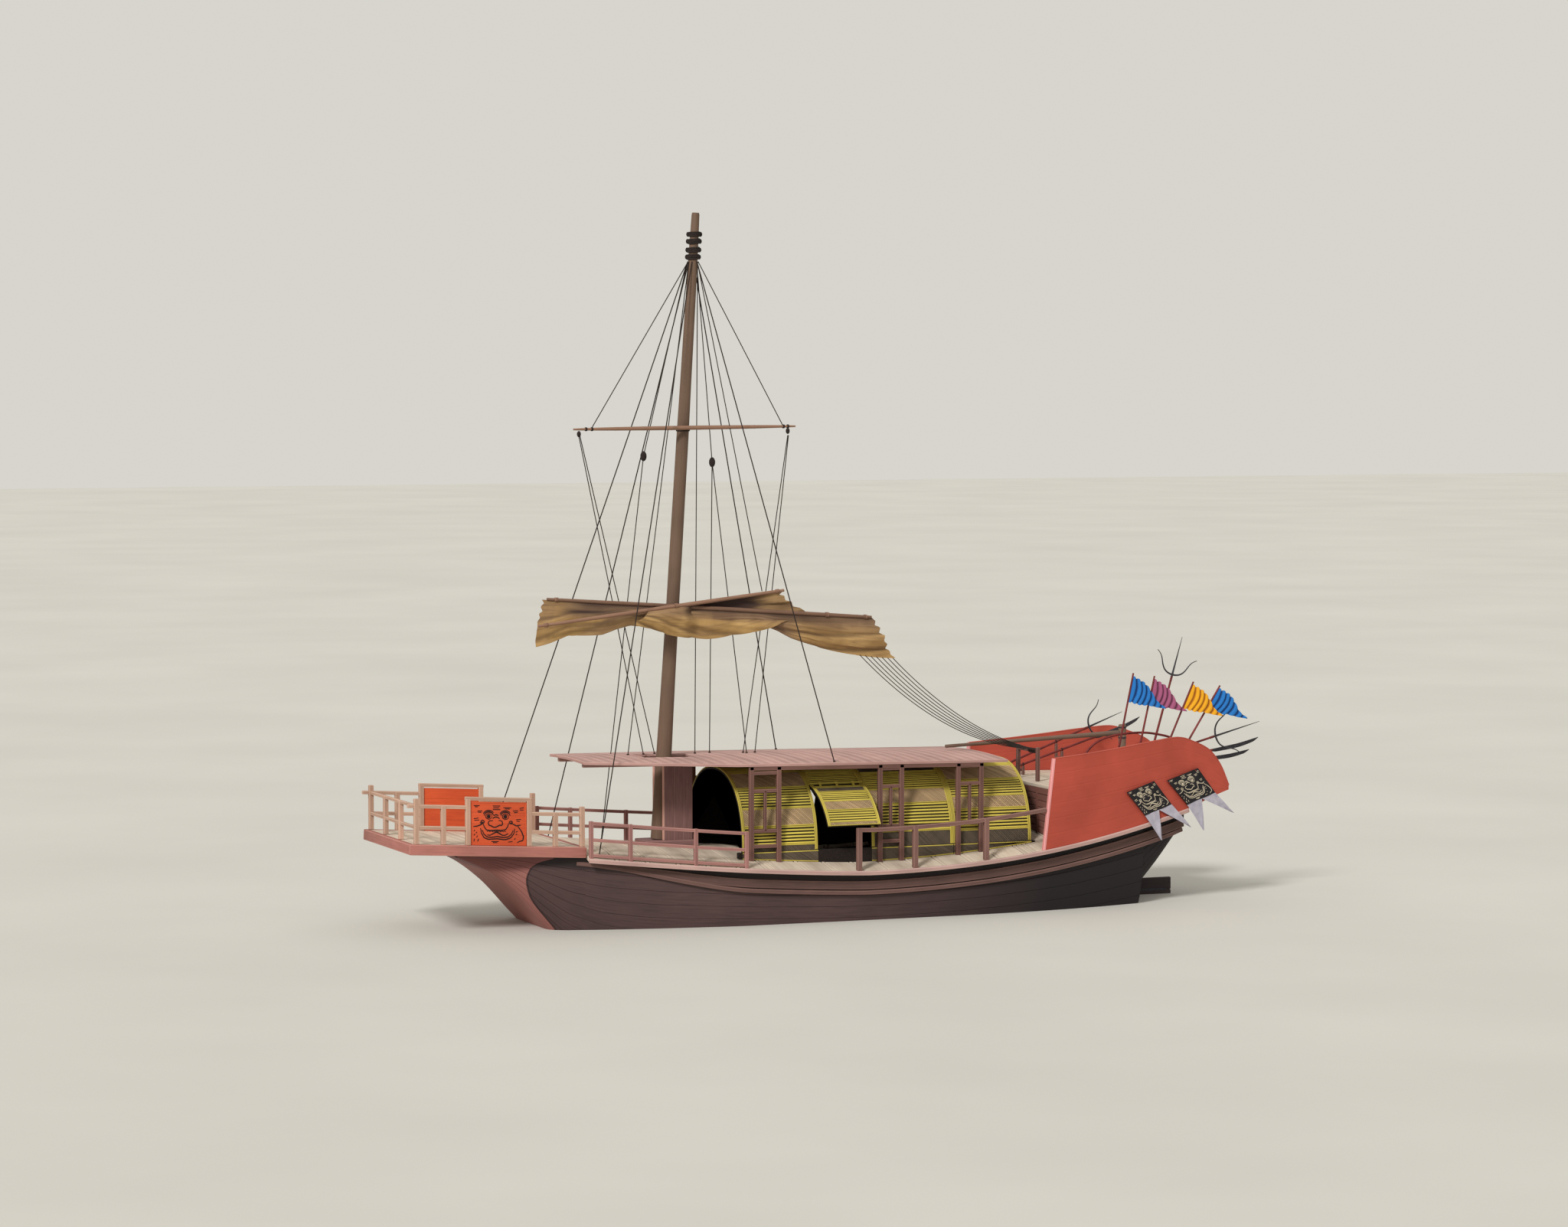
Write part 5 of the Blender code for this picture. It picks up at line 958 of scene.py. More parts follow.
def make_wales():
    """Two wales a side, swept along the planking at a set drop under the sheer and run out to
    nothing at the bow."""
    shape = Shape()
    for _, sign in SIDES:
        for full, depth, stand in ((0.38, 0.22, 0.06), (0.57, 0.11, 0.075)):
            x = np.concatenate([np.linspace(-7.35, 8.3, 60), np.linspace(8.5, 9.7, 8)])
            z = sheer(x) - (0.16 + (full - 0.16) * ease((x + 7.4) / 4.6))
            share = ease((x + 7.4) / 2.6)
            y = sign * (side_half(x, z) - 0.03 + (stand + 0.01) * (0.35 + 0.65 * share))
            carry(shape, np.stack([x, y, z], -1), rounded(0.08, depth, 0.02), scale=0.45 + 0.55 * share)
    piece("hull_wales", shape, "wale_timber")


def make_deck():
    """Planks across the crowned deck, a wide and a narrow one in turn, split round the well and the
    rudder trunk, with a swept nosing along each edge."""
    shape = Shape()
    low = lambda x, y: deck_top(x, y) - 0.10
    x = DECK_FRONT_X
    pitches = []
    while x < STERN_X - 0.05:
        for width in DECK_PLANK_WIDTHS:
            end = min(x + width, STERN_X)
            for cut in (*WELL_X, STOCK_X - TRUNK_HALF, STOCK_X + TRUNK_HALF):
                if x < cut - 0.04 < end:
                    end = cut
            pitches.append((x, end))
            x = end
    for first, last in pitches:
        if last - first < 0.03:
            continue
        hole = None
        if WELL_X[0] - 0.01 <= first and last <= WELL_X[1] + 0.01:
            hole = WELL_HALF
        elif abs((first + last) / 2 - STOCK_X) < TRUNK_HALF:
            hole = TRUNK_HALF
        lift = 0.0 if last - first > 0.2 else 0.006
        high = lambda x, y, lift=lift: deck_top(x, y) + lift
        for ends in spans(deck_half, 0.02, hole):
            board(shape, (first + 0.014, last - 0.014), ends, low, high, 0.008)
    piece("deck_planking", shape, "deck_planks", "deck")
    shape = Shape()
    for _, sign in SIDES:
        x = np.linspace(DECK_FRONT_X, STERN_X, 70)
        path = np.stack([x, sign * (deck_half(x) - 0.02), sheer(x) - 0.045], -1)
        carry(shape, path, rounded(0.08, 0.115, 0.02), tone=0.7)
    piece("deck_nosing", shape, "deck_nosing")


def over_platform(x, y, height):
    """Point at a height over the bow platform."""
    return (x, y, float(platform_top(x)) + height)


def make_platform():
    """Bow platform: beams round the edge with planks across between them."""
    beams, planks = Shape(), Shape()
    x0, x1 = PLATFORM_X
    middle = -PLATFORM_THICKNESS / 2
    for _, sign in SIDES:
        y = sign * (PLATFORM_HALF - 0.07)
        timber(beams, over_platform(x0, y, middle), over_platform(x1, y, middle), 0.14,
               PLATFORM_THICKNESS, 0.015)
    for x in (x0 + 0.07, x1 - 0.05):
        timber(beams, over_platform(x, -1.91, middle), over_platform(x, 1.91, middle), 0.14,
               PLATFORM_THICKNESS - 0.004, 0.015)
    piece("platform_beams", beams, "platform_timber", "bow_platform")
    boards(planks, np.linspace(x0 + 0.14, x1 - 0.12, 18), lambda x: 1.908, 0.0,
           lambda x, y: platform_top(x) - 0.20 + 0 * y, lambda x, y: platform_top(x) - 0.006 + 0 * y, 0.006)
    piece("platform_planks", planks, "deck_planks")


def make_bow_rail():
    """Posts and bars round the platform, squared with rounded arrises."""
    shape = Shape()
    posts = ((-11.57, 1.14), (-10.87, 0.98), (-10.23, 1.16), (-8.63, 1.16), (-7.93, 0.86), (-7.22, 1.02))
    bars = ((-11.80, -10.23, 0.95), (-11.57, -10.23, 0.42), (-10.30, -8.56, 1.17),
            (-8.63, -7.22, 0.82), (-8.63, -7.22, 0.36))
    front = posts[0][0]
    foot = lambda x: float(platform_top(x)) + 0.0003
    for _, sign in SIDES:
        y = sign * BOW_RAIL_Y
        for x, height in posts:
            post(shape, x, y, foot(x), foot(x) + height, 0.12)
        for first, last, height in bars:
            timber(shape, over_platform(first, y, height), over_platform(last, y, height), 0.10, 0.09)
    for y in (-0.66, 0.66):
        post(shape, front, y, foot(front), foot(front) + 0.98, 0.12)
    for height in (0.95, 0.42):
        timber(shape, over_platform(front, -BOW_RAIL_Y, height), over_platform(front, BOW_RAIL_Y, height),
               0.08, 0.08)
    piece("bow_rail_timbers", shape, "pale_rail", "bow_rail_port bow_rail_starboard bow_rail_front")


def make_side_rails():
    """Rails that follow the deck's edge, on posts stepped into it."""
    for stem, finish, posts, end, heights, size in (
            ("fore_rail", "rose_rail", (-7.04, -6.06, -4.41, -3.10), -3.10, (0.88, 0.46, 0.07), 0.10),
            ("aft_rail", "aft_rail", (-0.01, 1.55, 3.55), 5.28, (1.04,), 0.13)):
        for side, sign in SIDES:
            shape = Shape()
            for x in posts:
                y = sign * (float(deck_half(x)) - 0.09)
                foot = float(deck_top(x, y))
                post(shape, x, y, foot - 0.02, foot + heights[0] + 0.05, size)
            x = np.linspace(posts[0], end, max(3, int((end - posts[0]) / 0.25)))
            y = deck_half(x) - 0.09
            for height in heights:
                path = np.stack([x, sign * y, deck_top(x, y) + height], -1)
                carry(shape, path, rounded(size * 0.8, size * 0.8, 0.012), bevel=0.01)
            piece(f"{stem}_timbers_{side}", shape, finish, f"{stem}_{side}")


def mat_curve(turn, outset=0.0):
    """The mats' arch: y = -|cos|^(2/2.3) half, z = foot + sin^(2/2.3) half."""
    across = np.cos(turn)
    y = -np.sign(across) * np.abs(across) ** (2 / MAT_ROUND) * (MAT_HALF + outset)
    z = MAT_FOOT + np.maximum(np.sin(turn), 0) ** (2 / MAT_ROUND) * (MAT_HALF + outset)
    return np.stack([y, z], -1)


ARC_TURNS = np.linspace(0, math.pi, 721)
ARC_POINTS = mat_curve(ARC_TURNS)
ARC = lengths(ARC_POINTS)
ARC_LENGTH = float(ARC[-1])


def arch_spot(length):
    """Y and Z at a girth along the arch from its port foot."""
    return np.stack([np.interp(length, ARC, column) for column in ARC_POINTS.T], -1)


def on_arch(length, lift=0.0):
    """Point lifted off the arch at a girth, and the outward normal there."""
    length = np.asarray(length, float)
    ahead = arch_spot(length + 0.02) - arch_spot(length - 0.02)
    ahead /= np.linalg.norm(ahead, axis=-1, keepdims=True)
    normal = np.stack([-ahead[..., 1], ahead[..., 0]], -1)
    return arch_spot(length) + normal * lift, normal


def girth_at(height):
    """Girth from the port foot up to a height."""
    half = len(ARC) // 2 + 1
    return float(np.interp(height, ARC_POINTS[:half, 1], ARC[:half]))


def girth_of(turn):
    """Girth of the arch up to a turn."""
    return float(np.interp(turn, ARC_TURNS, ARC))


def drawn_out(xs, ring):
    """A ring of Y and Z repeated at each x."""
    points = np.zeros((len(xs), len(ring), 3))
    points[..., 0] = xs[:, None]
    points[..., 1:] = ring
    return points


def slat_band(shape, x_range, first, last):
    """Half-round slats along X laid side by side over part of the arch."""
    count = max(1, int(round((last - first) / SLAT_PITCH)))
    turn = np.linspace(0, math.pi, 6)
    side = np.cos(turn)[:, None] * 0.048 / 2
    rise = np.sin(turn)[:, None] * 0.020 - 0.004
    for k in range(count):
        point, normal = on_arch(first + (k + 0.5) * (last - first) / count)
        rows = np.linspace(x_range[0] + draw.random() * 0.02, x_range[1] - draw.random() * 0.02, 4)
        ring = point + side * np.array([normal[1], -normal[0]]) + rise * normal
        shift = draw.random() * 20
        shape.grid(drawn_out(rows, ring), rows + shift, np.linspace(0, 0.2, len(turn) + 1) + shift,
                   tone=draw.random(), edge=0.0)


def within(foot, reach, x_range):
    """Shares of a strip from x = foot to foot + reach that lie within a range."""
    low, high = sorted((x - foot) / reach for x in x_range)
    return np.clip((0.0, 1.0), low, high)


def lattice_band(shape, x_range, first, last):
    """Flat strips crossing at forty-five degrees over part of the arch."""
    span = last - first
    section = np.array([(-0.013, -0.004), (0.013, -0.004), (0.013, 0.004), (-0.013, 0.004)])
    for lean, lift in ((1, 0.006), (-1, 0.015)):
        start = x_range[0] - span
        while start < x_range[1]:
            foot = start if lean > 0 else start + span
            share = within(foot, lean * span, x_range)
            if share[1] - share[0] > 0.12:
                share = np.linspace(*share, 3)
                point, normal = on_arch(first + span * share, lift)
                carry(shape, np.column_stack([foot + lean * span * share, point]), (section, np.zeros(4)),
                      np.column_stack([np.zeros(3), normal]))
            start += STRIP_PITCH


def mat(x_range, ends, bands, crossing, inset, lift=0.016):
    """The shapes of one mat between two girths: a woven underlay 0.045 thick in near-black painted shade,
    its bands of slats or crossed strips, two bent poles along each end and the poles that cross it."""
    parts = {name: Shape() for name in ("underlay", "slats", "strips", "dark_strips", "poles")}
    under, *layers, poles = parts.values()
    x0, x1 = x_range
    inside = (x0 + 0.075, x1 - 0.075)
    first, last = ends
    length = np.linspace(first, last, max(6, int((last - first) / 0.12)))
    ring = np.vstack([on_arch(length, -0.002)[0], on_arch(length[::-1], -0.047)[0]])
    rows = np.linspace(x0, x1, 5)
    under.grid(drawn_out(rows, ring), rows, lengths(ring, True), tone=0.5, edge=0.0)
    for low, high, kind in bands:
        (lattice_band if kind else slat_band)(layers[kind], inside, low, high)
    first, last = first + inset, last - inset
    for x in (x0 + 0.022, x0 + 0.064, x1 - 0.064, x1 - 0.022):
        point, _ = on_arch(np.linspace(first, last, max(4, int((last - first) / 0.16))), 0.018)
        carry(poles, np.column_stack([np.full(len(point), x), point]), round_bar(0.021), ALONG)
    for length in crossing:
        point, _ = on_arch(length, lift)
        carry(poles, [(x, *point) for x in inside], round_bar(0.014))
    return parts


def lay_mat(label, parts, node, body="hull"):
    """Makes the pieces of a mat, named by its label."""
    for part, shape in parts.items():
        if shape.count:
            piece(label.format(part), shape, MAT_FINISHES.get(part, "bamboo_pole"),
                  node if part == "underlay" else "", body)


def make_mats():
    """The three fixed arches: the same bands up both sides, and slats over the top."""
    for name, x_range, sides in MATS:
        bands = []
        crossing = []
        for low, high, kind in sides:
            a, b = girth_at(low), girth_at(high)
            bands += [(a, b, kind), (ARC_LENGTH - b, ARC_LENGTH - a, kind)]
            crossing += [a, ARC_LENGTH - a]
        bands.append((b, ARC_LENGTH - b, 0))
        lay_mat(name + "_mat_{}", mat(x_range, (0.0, ARC_LENGTH), bands, crossing[2:], 0.02), "mat_" + name)


def make_sill(side, sign):
    """The coaming under the mats: a core in near-black painted shade, bare within the open bay and clad
    with crossed strips elsewhere, with a bamboo pole at its foot and head."""
    core, strips, poles = Shape(), Shape(), Shape()
    for first, last in ((-3.02, 1.1), (1.104, 5.30)):
        timber(core, (first, sign * 1.98, 1.51), (last, sign * 1.98, 1.51), 0.16, 0.618)
    piece(f"sill_timber_{side}", core, "mat_weave", f"mat_sill_{side}")
    for first, last in ((-2.92, -0.84), (0.66, 2.95), (2.97, 5.18)):
        for reach, out in ((0.42, 2.0605), (-0.42, 2.0665)):
            for start in np.arange(first - 0.40, last, STRIP_PITCH):
                low_x = start - min(reach, 0)
                share = within(low_x, reach, (first, last))
                if share[1] - share[0] > 0.1:
                    x = low_x + reach * share
                    foot = deck_top(x, 2.06) + 0.02
                    path = np.stack([x, np.full(2, sign * out), foot + (SILL_TOP - foot) * share], -1)
                    carry(strips, path, rounded(0.024, 0.005, 0.001), ACROSS)
        x = np.linspace(first, last, 8)
        for z, radius in ((deck_top(x, 2.06) + 0.022, 0.016), (np.full(8, SILL_TOP), 0.014)):
            carry(poles, np.stack([x, np.full(8, sign * 2.058), z], -1), round_bar(radius))
    piece(f"sill_strips_{side}", strips, "bamboo_shade_strip")
    piece(f"sill_poles_{side}", poles, "bamboo_pole")


def make_frames():
    """Ladder frames outside the mats with the plate that ties them under the roof."""
    frames = ((-2.71, -1.96, (3.86, 3.40, 2.37, 1.98)), (0.85, 1.45, (3.86, 3.40, 2.37, 1.98)),
              (3.05, 3.70, (3.86, 3.40, 2.37)))
    roof = lambda x: float(roof_under(x, 2.185))
    for side, sign in SIDES:
        make_sill(side, sign)
        shape = Shape()
        y = sign * FRAME_Y
        for first, last, rungs in frames:
            for x in (first, last):
                post(shape, x, y, float(deck_top(x, y)) - 0.02, roof(x) - 0.006, 0.12, 0.11)
            post(shape, (first + last) / 2, y, rungs[2], rungs[1], 0.072, 0.09)
            for z in rungs:
                timber(shape, (first, y, z), (last, y, z), 0.09, 0.09)
        timber(shape, *((x, y, roof(x) - 0.0503) for x in (-2.77, 3.76)), 0.11, 0.10)
        piece(f"frame_timbers_{side}", shape, "dark_rail", f"side_frames_{side}")


def make_roof():
    """The plank platform: boards across, side boards along its edge and two bearers below."""
    shape = Shape()
    edges = np.concatenate([np.linspace(ROOF_X[0], ROOF_HOLE_X[0], 8), np.linspace(*ROOF_HOLE_X, 6)[1:],
                            np.linspace(ROOF_HOLE_X[1], ROOF_X[1], 29)[1:]])
    boards(shape, edges, roof_half, 0.03, lambda x, y: roof_under(x, y) + 0.004,
           lambda x, y: roof_under(x, y) + 0.066, 0.008, ROOF_HOLE, ROOF_HOLE_X)
    piece("roof_planking", shape, "roof_planks", "roof_platform")
    shape = Shape()
    for _, sign in SIDES:
        x = np.array([ROOF_X[0], -3.10, ROOF_X[1]])
        path = np.stack([x, sign * (roof_half(x) - 0.015), roof_under(x, roof_half(x)) + 0.035], -1)
        carry(shape, path, rounded(0.03, 0.07, 0.008), bevel=0.006, tone=0.8)
        timber(shape, *((x, sign * 0.95, float(roof_under(x, 0.95)) - 0.056) for x in (-6.85, 4.34)),
               0.12, 0.118, 0.01)
    for x in (ROOF_X[0] + 0.015, ROOF_X[1] - 0.015):
        half = float(roof_half(x)) - 0.03
        y = np.linspace(-half, half, 15)
        path = np.stack([np.full(15, x), y, roof_under(x, y) + 0.035], -1)
        carry(shape, path, rounded(0.03, 0.07, 0.008), tone=0.8)
    piece("roof_edges", shape, "roof_planks")


def make_tabernacle():
    """The mast step and its two cheeks, each of three boards with a pale fore edge."""
    planks, edges = Shape(), Shape()
    timber(planks, (-4.95, 0, 1.82), (-3.55, 0, 1.82), 0.92, 0.44, 0.02)
    for _, sign in SIDES:
        for k in range(3):
            post(planks, -4.45 + 0.26 * (k + 0.5), sign * 0.36, 2.0, 4.03, 0.12, 0.256, up=ALONG)
    for _, sign in SIDES:
        post(edges, -4.455, sign * 0.36, 2.045, 4.02, 0.116, 0.016, 0.004, ALONG)
    piece("tabernacle_boards", planks, "tabernacle_timber", "tabernacle")
    piece("tabernacle_edges", edges, "tabernacle_edge")


def rope_ring(shape, centre, radius, thick, tilt=0.0):
    """A closed ring of cord round the mast."""
    turn = circle(28)[:, None]
    section = circle(8)
    out = radius + thick * np.cos(section)
    points = np.stack([centre[0] + np.cos(turn) * out, centre[1] + np.sin(turn) * out,
                       centre[2] + thick * np.sin(section) + tilt * np.cos(turn)], -1)
    shape.grid(points, np.linspace(0, 2 * math.pi * radius, 29), np.linspace(0, 0.1, 9), ring=True,
               tone=draw.random(), edge=0.0)


def beside_mast(z, turn, reach):
    """Point off the mast's centreline at a turn round it."""
    return mast_centre(z) + np.array([math.cos(turn), math.sin(turn), 0]) * reach


def make_mast():
    """The raked mast, its radius swelling and narrowing slightly along its length, and cord lashings at the
    head.
    """
    z = np.append(np.linspace(MAST_FOOT[1], MAST_TIP[1] - 0.05, 60), MAST_TIP[1])
    radius = mast_radius(z) * (1 + 0.012 * np.sin(z * 1.7) * np.sin(z * 0.6))
    radius[-1] *= 0.88
    shape = turned_pole(Shape(), np.array([mast_centre(level) for level in z]), radius, 28)
    piece("mast_pole", shape, "mast_timber", "mast")
    shape = Shape()
    for middle, thick in ((17.02, 0.034), (17.20, 0.036), (17.42, 0.034), (17.60, 0.03)):
        for offset in (-0.045, 0.0, 0.045):
            centre = mast_centre(middle + offset)
            rope_ring(shape, centre, mast_radius(middle) + 0.018, thick * 0.8, 0.01 * draw.random())
        for turn in (0.0, 2.6):
            blob(shape, beside_mast(middle, turn, 0.165), (0.05, 0.05, 0.065))
    piece("masthead_lashings", shape, "mast_lashing")


def hinge_ring(shape, x_range, inner, outer):
    """A ring about the hinge: a rectangle with rounded outer corners turned through 360 degrees."""
    turn = circle(20)[:, None]
    x0, x1 = x_range
    soft = (x1 - x0) * 0.12
    section = ((x0, inner), (x0, outer - 0.002), (x0 + soft, outer), (x1 - soft, outer),
               (x1, outer - 0.002), (x1, inner))
    x, radius = np.array(section).T
    points = np.stack([x + 0 * turn, HINGE[0] + radius * np.cos(turn), HINGE[1] + radius * np.sin(turn)], -1)
    shape.grid(points, np.linspace(0, 0.17, 21), np.linspace(0, 0.2, 7), ring=True, tone=draw.random(),
               edge=0.0)


def make_crown():
    """The fixed top of the open bay between its hinge rods, each held by two lugs."""
    low = girth_of(HINGE_TURN)
    high = ARC_LENGTH - low
    parts = mat((-0.8397, 0.6597), (low, high), [(low + 0.03, high - 0.03, 0)],
                (low + 0.02, high - 0.02), 0.012, 0.012)
    parts["hinges"] = Shape()
    inner_y, inner_z = mat_curve(HINGE_TURN + math.radians(4), 0.012)
    for _, sign in SIDES:
        y, z = -sign * HINGE[0], HINGE[1]
        carry(parts["hinges"], [(x, y, z) for x in HINGE_X], round_bar(ROD, 14), bevel=0.003)
        for x in (HINGE_X[0] + 0.03, HINGE_X[1] - 0.03):
            timber(parts["hinges"], (x, y, z), (x, -sign * inner_y, inner_z), 0.022, 0.056, 0.004, ALONG)
    lay_mat("crown_{}", parts, "mat_crown")


def make_flap(side, sign):
    """One flap, made closed on the arch and turned 30 degrees up about its hinge."""
    foot = girth_of(math.radians(3))
    head = girth_of(HINGE_TURN) - 0.006
    down = lambda share: head + (foot - head) * share
    bands = [(down(last), down(first), kind) for first, last, kind in FLAP_BANDS]
    crossing = [foot + 0.02] + [down(first) for first, _, _ in FLAP_BANDS[1:]]
    parts = mat(HINGE_X, (foot, head), bands, crossing, 0.004)
    parts["loops"] = Shape()
    tongue = mat_curve(HINGE_TURN - math.radians(6), -0.02)
    start = HINGE + unit(tongue - HINGE) * 0.022
    for x in (-0.55, -0.09, 0.37):
        hinge_ring(parts["loops"], (x - 0.04, x + 0.04), ROD + 0.001, ROD + 0.011)
        timber(parts["loops"], (x, *start), (x, *tongue), 0.012, 0.066, 0.003, ALONG)
    for shape in parts.values():
        shape.turned(HINGE, -FLAP_LIFT)
        if sign > 0:
            shape.mirrored()
    lay_mat("flap_{}_" + side, parts, "mat_flap_" + side, "flap_" + side)


def on_spar(spar, x):
    """Y and Z of a spar's centreline at x."""
    (x0, y0, z0), (x1, y1, z1) = spar[:2]
    share = (np.asarray(x, float) - x0) / (x1 - x0)
    return y0 + (y1 - y0) * share, z0 + (z1 - z0) * share


def spar_radius(spar, share):
    """A spar's taper: tip + (middle - tip) (1 - (2 s - 1)^2)^0.7."""
    middle, tip = spar[2:]
    return tip + (middle - tip) * (1 - (2 * share - 1) ** 2) ** 0.7


def make_spar(name, spar, nodes, stands_for, body):
    """A bamboo spar whose radius swells by 0.06 exp(-(d / 0.003)^2) at a distance d from each joint."""
    joints = (np.arange(nodes) + 0.5) / nodes
    share = np.sort(np.concatenate([np.linspace(0, 1, 40), joints, joints - 0.004, joints + 0.004]))
    swell = np.exp(-(np.abs(share[:, None] - joints).min(1) / 0.003) ** 2)
    radius = spar_radius(spar, share) * (0.985 + 0.06 * swell)
    shape = turned_pole(Shape(), straight(*spar[:2], share), radius, 16)
    piece(name, shape, "spar_bamboo", stands_for, body)


def sail_middle(x):
    """Y of the sail's middle at its lower edge."""
    return np.interp(x, (-7.96, -4.50, -1.65, -0.98, 0.77, 1.85), (-0.70, -0.69, -0.66, -0.66, -0.74, -0.78))


def patch(top, bottom, left, right, rows, cols):
    """A Coons patch in x and z: (1 - t) top(s) + t bottom(s) + (1 - s) left(t) + s right(t), less
    the bilinear blend of the four corners."""
    s = np.linspace(0, 1, cols)
    t = np.linspace(0, 1, rows)
    a, b = along(top, s), along(bottom, s)
    c, d = along(left, t), along(right, t)
    S, T = s[None, :, None], t[:, None, None]
    blend = (1 - S) * (1 - T) * a[0] + S * (1 - T) * a[-1] + (1 - S) * T * b[0] + S * T * b[-1]
    grid = (1 - T) * a[None] + T * b[None] + (1 - S) * c[:, None] + S * d[:, None] - blend
    return grid, S[..., 0], T[..., 0]


def parrel(shape, z, reach):
    """Cord rings round the mast and a bound arm out to the spar at y = reach."""
    for offset in (-0.036, -0.012, 0.012, 0.036):
        rope_ring(shape, mast_centre(z + offset), mast_radius(z) + 0.016, 0.013)
    middle = mast_centre(z)[0]
    for x in (middle - 0.024, middle, middle + 0.024):
        carry(shape, [(x, y, z) for y in np.linspace(-(mast_radius(z) + 0.004), reach, 4)], round_bar(0.014))


def pleats(s, t, count, lean):
    """Folds of the cloth: 0.75 sin(2 pi (count s + lean t + 0.12 sin(7 s))) with a finer set."""
    wave = np.sin(2 * math.pi * (count * s + lean * t + 0.12 * np.sin(7 * s)))
    fine = np.sin(2 * math.pi * (count * 2.6 * s + lean * 2.2 * t) + 1.3)
    return 0.75 * wave + 0.25 * fine


def scallops(points, count, depth):
    """Small hanging curves along a lower edge: down by depth |sin(pi count s)|^0.6."""
    share = np.linspace(0, 1, 161)
    out = along(points, share)
    out[:, 1] -= depth * np.abs(np.sin(math.pi * count * share)) ** 0.6
    return out


def gather(name, x, y, z, lit, dark, stands_for=""):
    """A length of the sail, gathered on its spar, with its painted light and shade."""
    shape = Shape()
    shape.cloth(np.stack([x, y, z], -1), 0.006, tone=0.5, lit=np.clip(lit, 0, 1), dark=np.clip(dark, 0, 1))
    cloth = piece(name, shape, "sail_canvas", stands_for, "sail")


def make_spars():
    """The sail's two spars, the parrel and the cords that bind the cloth."""
    make_spar("long_spar", LONG_SPAR, 11, "sail_spar_upper", "sail")
    make_spar("short_spar", SHORT_SPAR, 9, "sail_spar_lower", "sail")
    cords = Shape()
    y, z = on_spar(LONG_SPAR, -4.05)
    parrel(cords, float(z), float(y))
    for spar, places in ((LONG_SPAR, (-7.35, -4.05, -0.1, 0.95)), (SHORT_SPAR, (-7.8, -4.25, -1.42))):
        axis = np.array(spar[1]) - np.array(spar[0])
        for x in places:
            y, z = on_spar(spar, x)
            radius = spar_radius(spar, (x - spar[0][0]) / axis[0])
            lashing(cords, (x, float(y), float(z)), axis, radius + 0.008)
    piece("sail_lashings", cords, "spar_bamboo", body="sail")


def make_sail():
    """The lowered sail: one length gathered along the long spar and one along the short spar. Both
    hang off their spars, belly out by the sine of their depth and fold by pleats."""
    x = np.linspace(-7.72, 1.14, 60)
    top = np.stack([x, on_spar(LONG_SPAR, x)[1] - 0.02], -1)
    grid, s, t = patch(top, scallops(BACK_FOOT, 9, 0.025), BACK_LUFF, BACK_LEECH, 27, 161)
    x, z = grid[..., 0], grid[..., 1]
    y = on_spar(LONG_SPAR, np.clip(x, -7.9, 1.3))[0] * (1 - t) + sail_middle(x) * t
    belly = 0.10 * np.sin(math.pi * np.clip(t * 1.1, 0, 1))
    amount = ease(t * 2.2) * (0.35 + 0.65 * ease((s - 0.62) / 0.2) + 0.5 * (1 - ease((s - 0.1) / 0.2)))
    fold = pleats(s, t, 2.2, 2.6)
    y = y - belly + 0.036 * fold * amount + 0.02
    # lit and dark are painted light and painted shade: lit low near the fore end, along the fore edge, at
    # the aft end and lower in the middle; dark under the spar, along a diagonal streak and in the folds'
    # hollows
    middle = (s > 0.04) & (s < 0.5)
    gold = ease((t - 0.52) / 0.12) * (1 - ease((s - 0.085 - 0.22 * (1 - t)) / 0.03))
    luff = (1 - ease((s - 0.04) / 0.10)) * (1 - gold)
    lit = (0.15 + 0.75 * gold + 0.75 * ease((s - 0.68) / 0.1) * ease(t * 1.6) + 0.5 * t * middle
           + 0.45 * luff)
    shade_streak = np.exp(-((t - 0.30 - 0.5 * s) / 0.10) ** 2)
    shade_streak = shade_streak * ease((s - 0.03) / 0.08) * (1 - ease((s - 0.24) / 0.06))
    dark = ((1 - ease(t / 0.45)) * (0.9 - 0.5 * ease((s - 0.7) / 0.2)) * (1 - 0.7 * luff)
            + 0.7 * shade_streak + 0.5 * ease(fold - 0.1) * ease(t * 2))
    gather("sail_back", x, y, z, lit, dark, "sail_cloth")

    x = np.linspace(-4.95, -1.23, 40)
    top = np.stack([x, on_spar(SHORT_SPAR, x)[1] - 0.01], -1)
    grid, s, t = patch(top, scallops(BELLY_FOOT, 6, 0.03), BELLY_LUFF, BELLY_LEECH, 31, 161)
    x, z = grid[..., 0], grid[..., 1]
    long_y, long_z = on_spar(LONG_SPAR, x)
    short_y, short_z = on_spar(SHORT_SPAR, np.clip(x, -7.9, -1.23))
    behind = ease((x + 4.1) / 0.5)
    under = np.clip((long_z - z) / 0.34, -1, 1)
    front = np.minimum(long_y, short_y) - 0.11 - 0.10 * np.sin(math.pi * np.clip(t, 0, 1))
    hidden = np.where(under < 0, long_y + 0.10, long_y + 0.10 - 0.22 * ease(under))
    near = ease((short_z - z) / 0.12)
    y = front * (1 - behind) + behind * hidden
    y = short_y * (1 - near) + y * near
    fold = pleats(s, t, 2.6, -2.2)
    y = y + 0.040 * fold * ease(t * 2.5)
    # Painted light below the long spar; painted shade above it and just under it, less towards the aft end,
    # and in the folds' hollows
    lit = (0.35 + 0.65 * ease((long_z - z - 0.14) / 0.25)
           - (z > long_z) * (0.45 - 0.75 * ease((x + 2.5) / 0.6)))
    dark = (ease((z - long_z + 0.26) / 0.2) * ease((x + 4.4) / 0.8) * (1 - 0.75 * ease((x + 2.4) / 0.9))
            + 0.5 * ease(fold - 0.1) * ease(t * 2))
    gather("sail_belly", x, y, z, lit, dark)


def rope_line(shape, start, end, radius=0.013, sides=6):
    """A taut line."""
    carry(shape, straight(start, end, np.linspace(0, 1, 3)), round_bar(radius, sides), ACROSS)


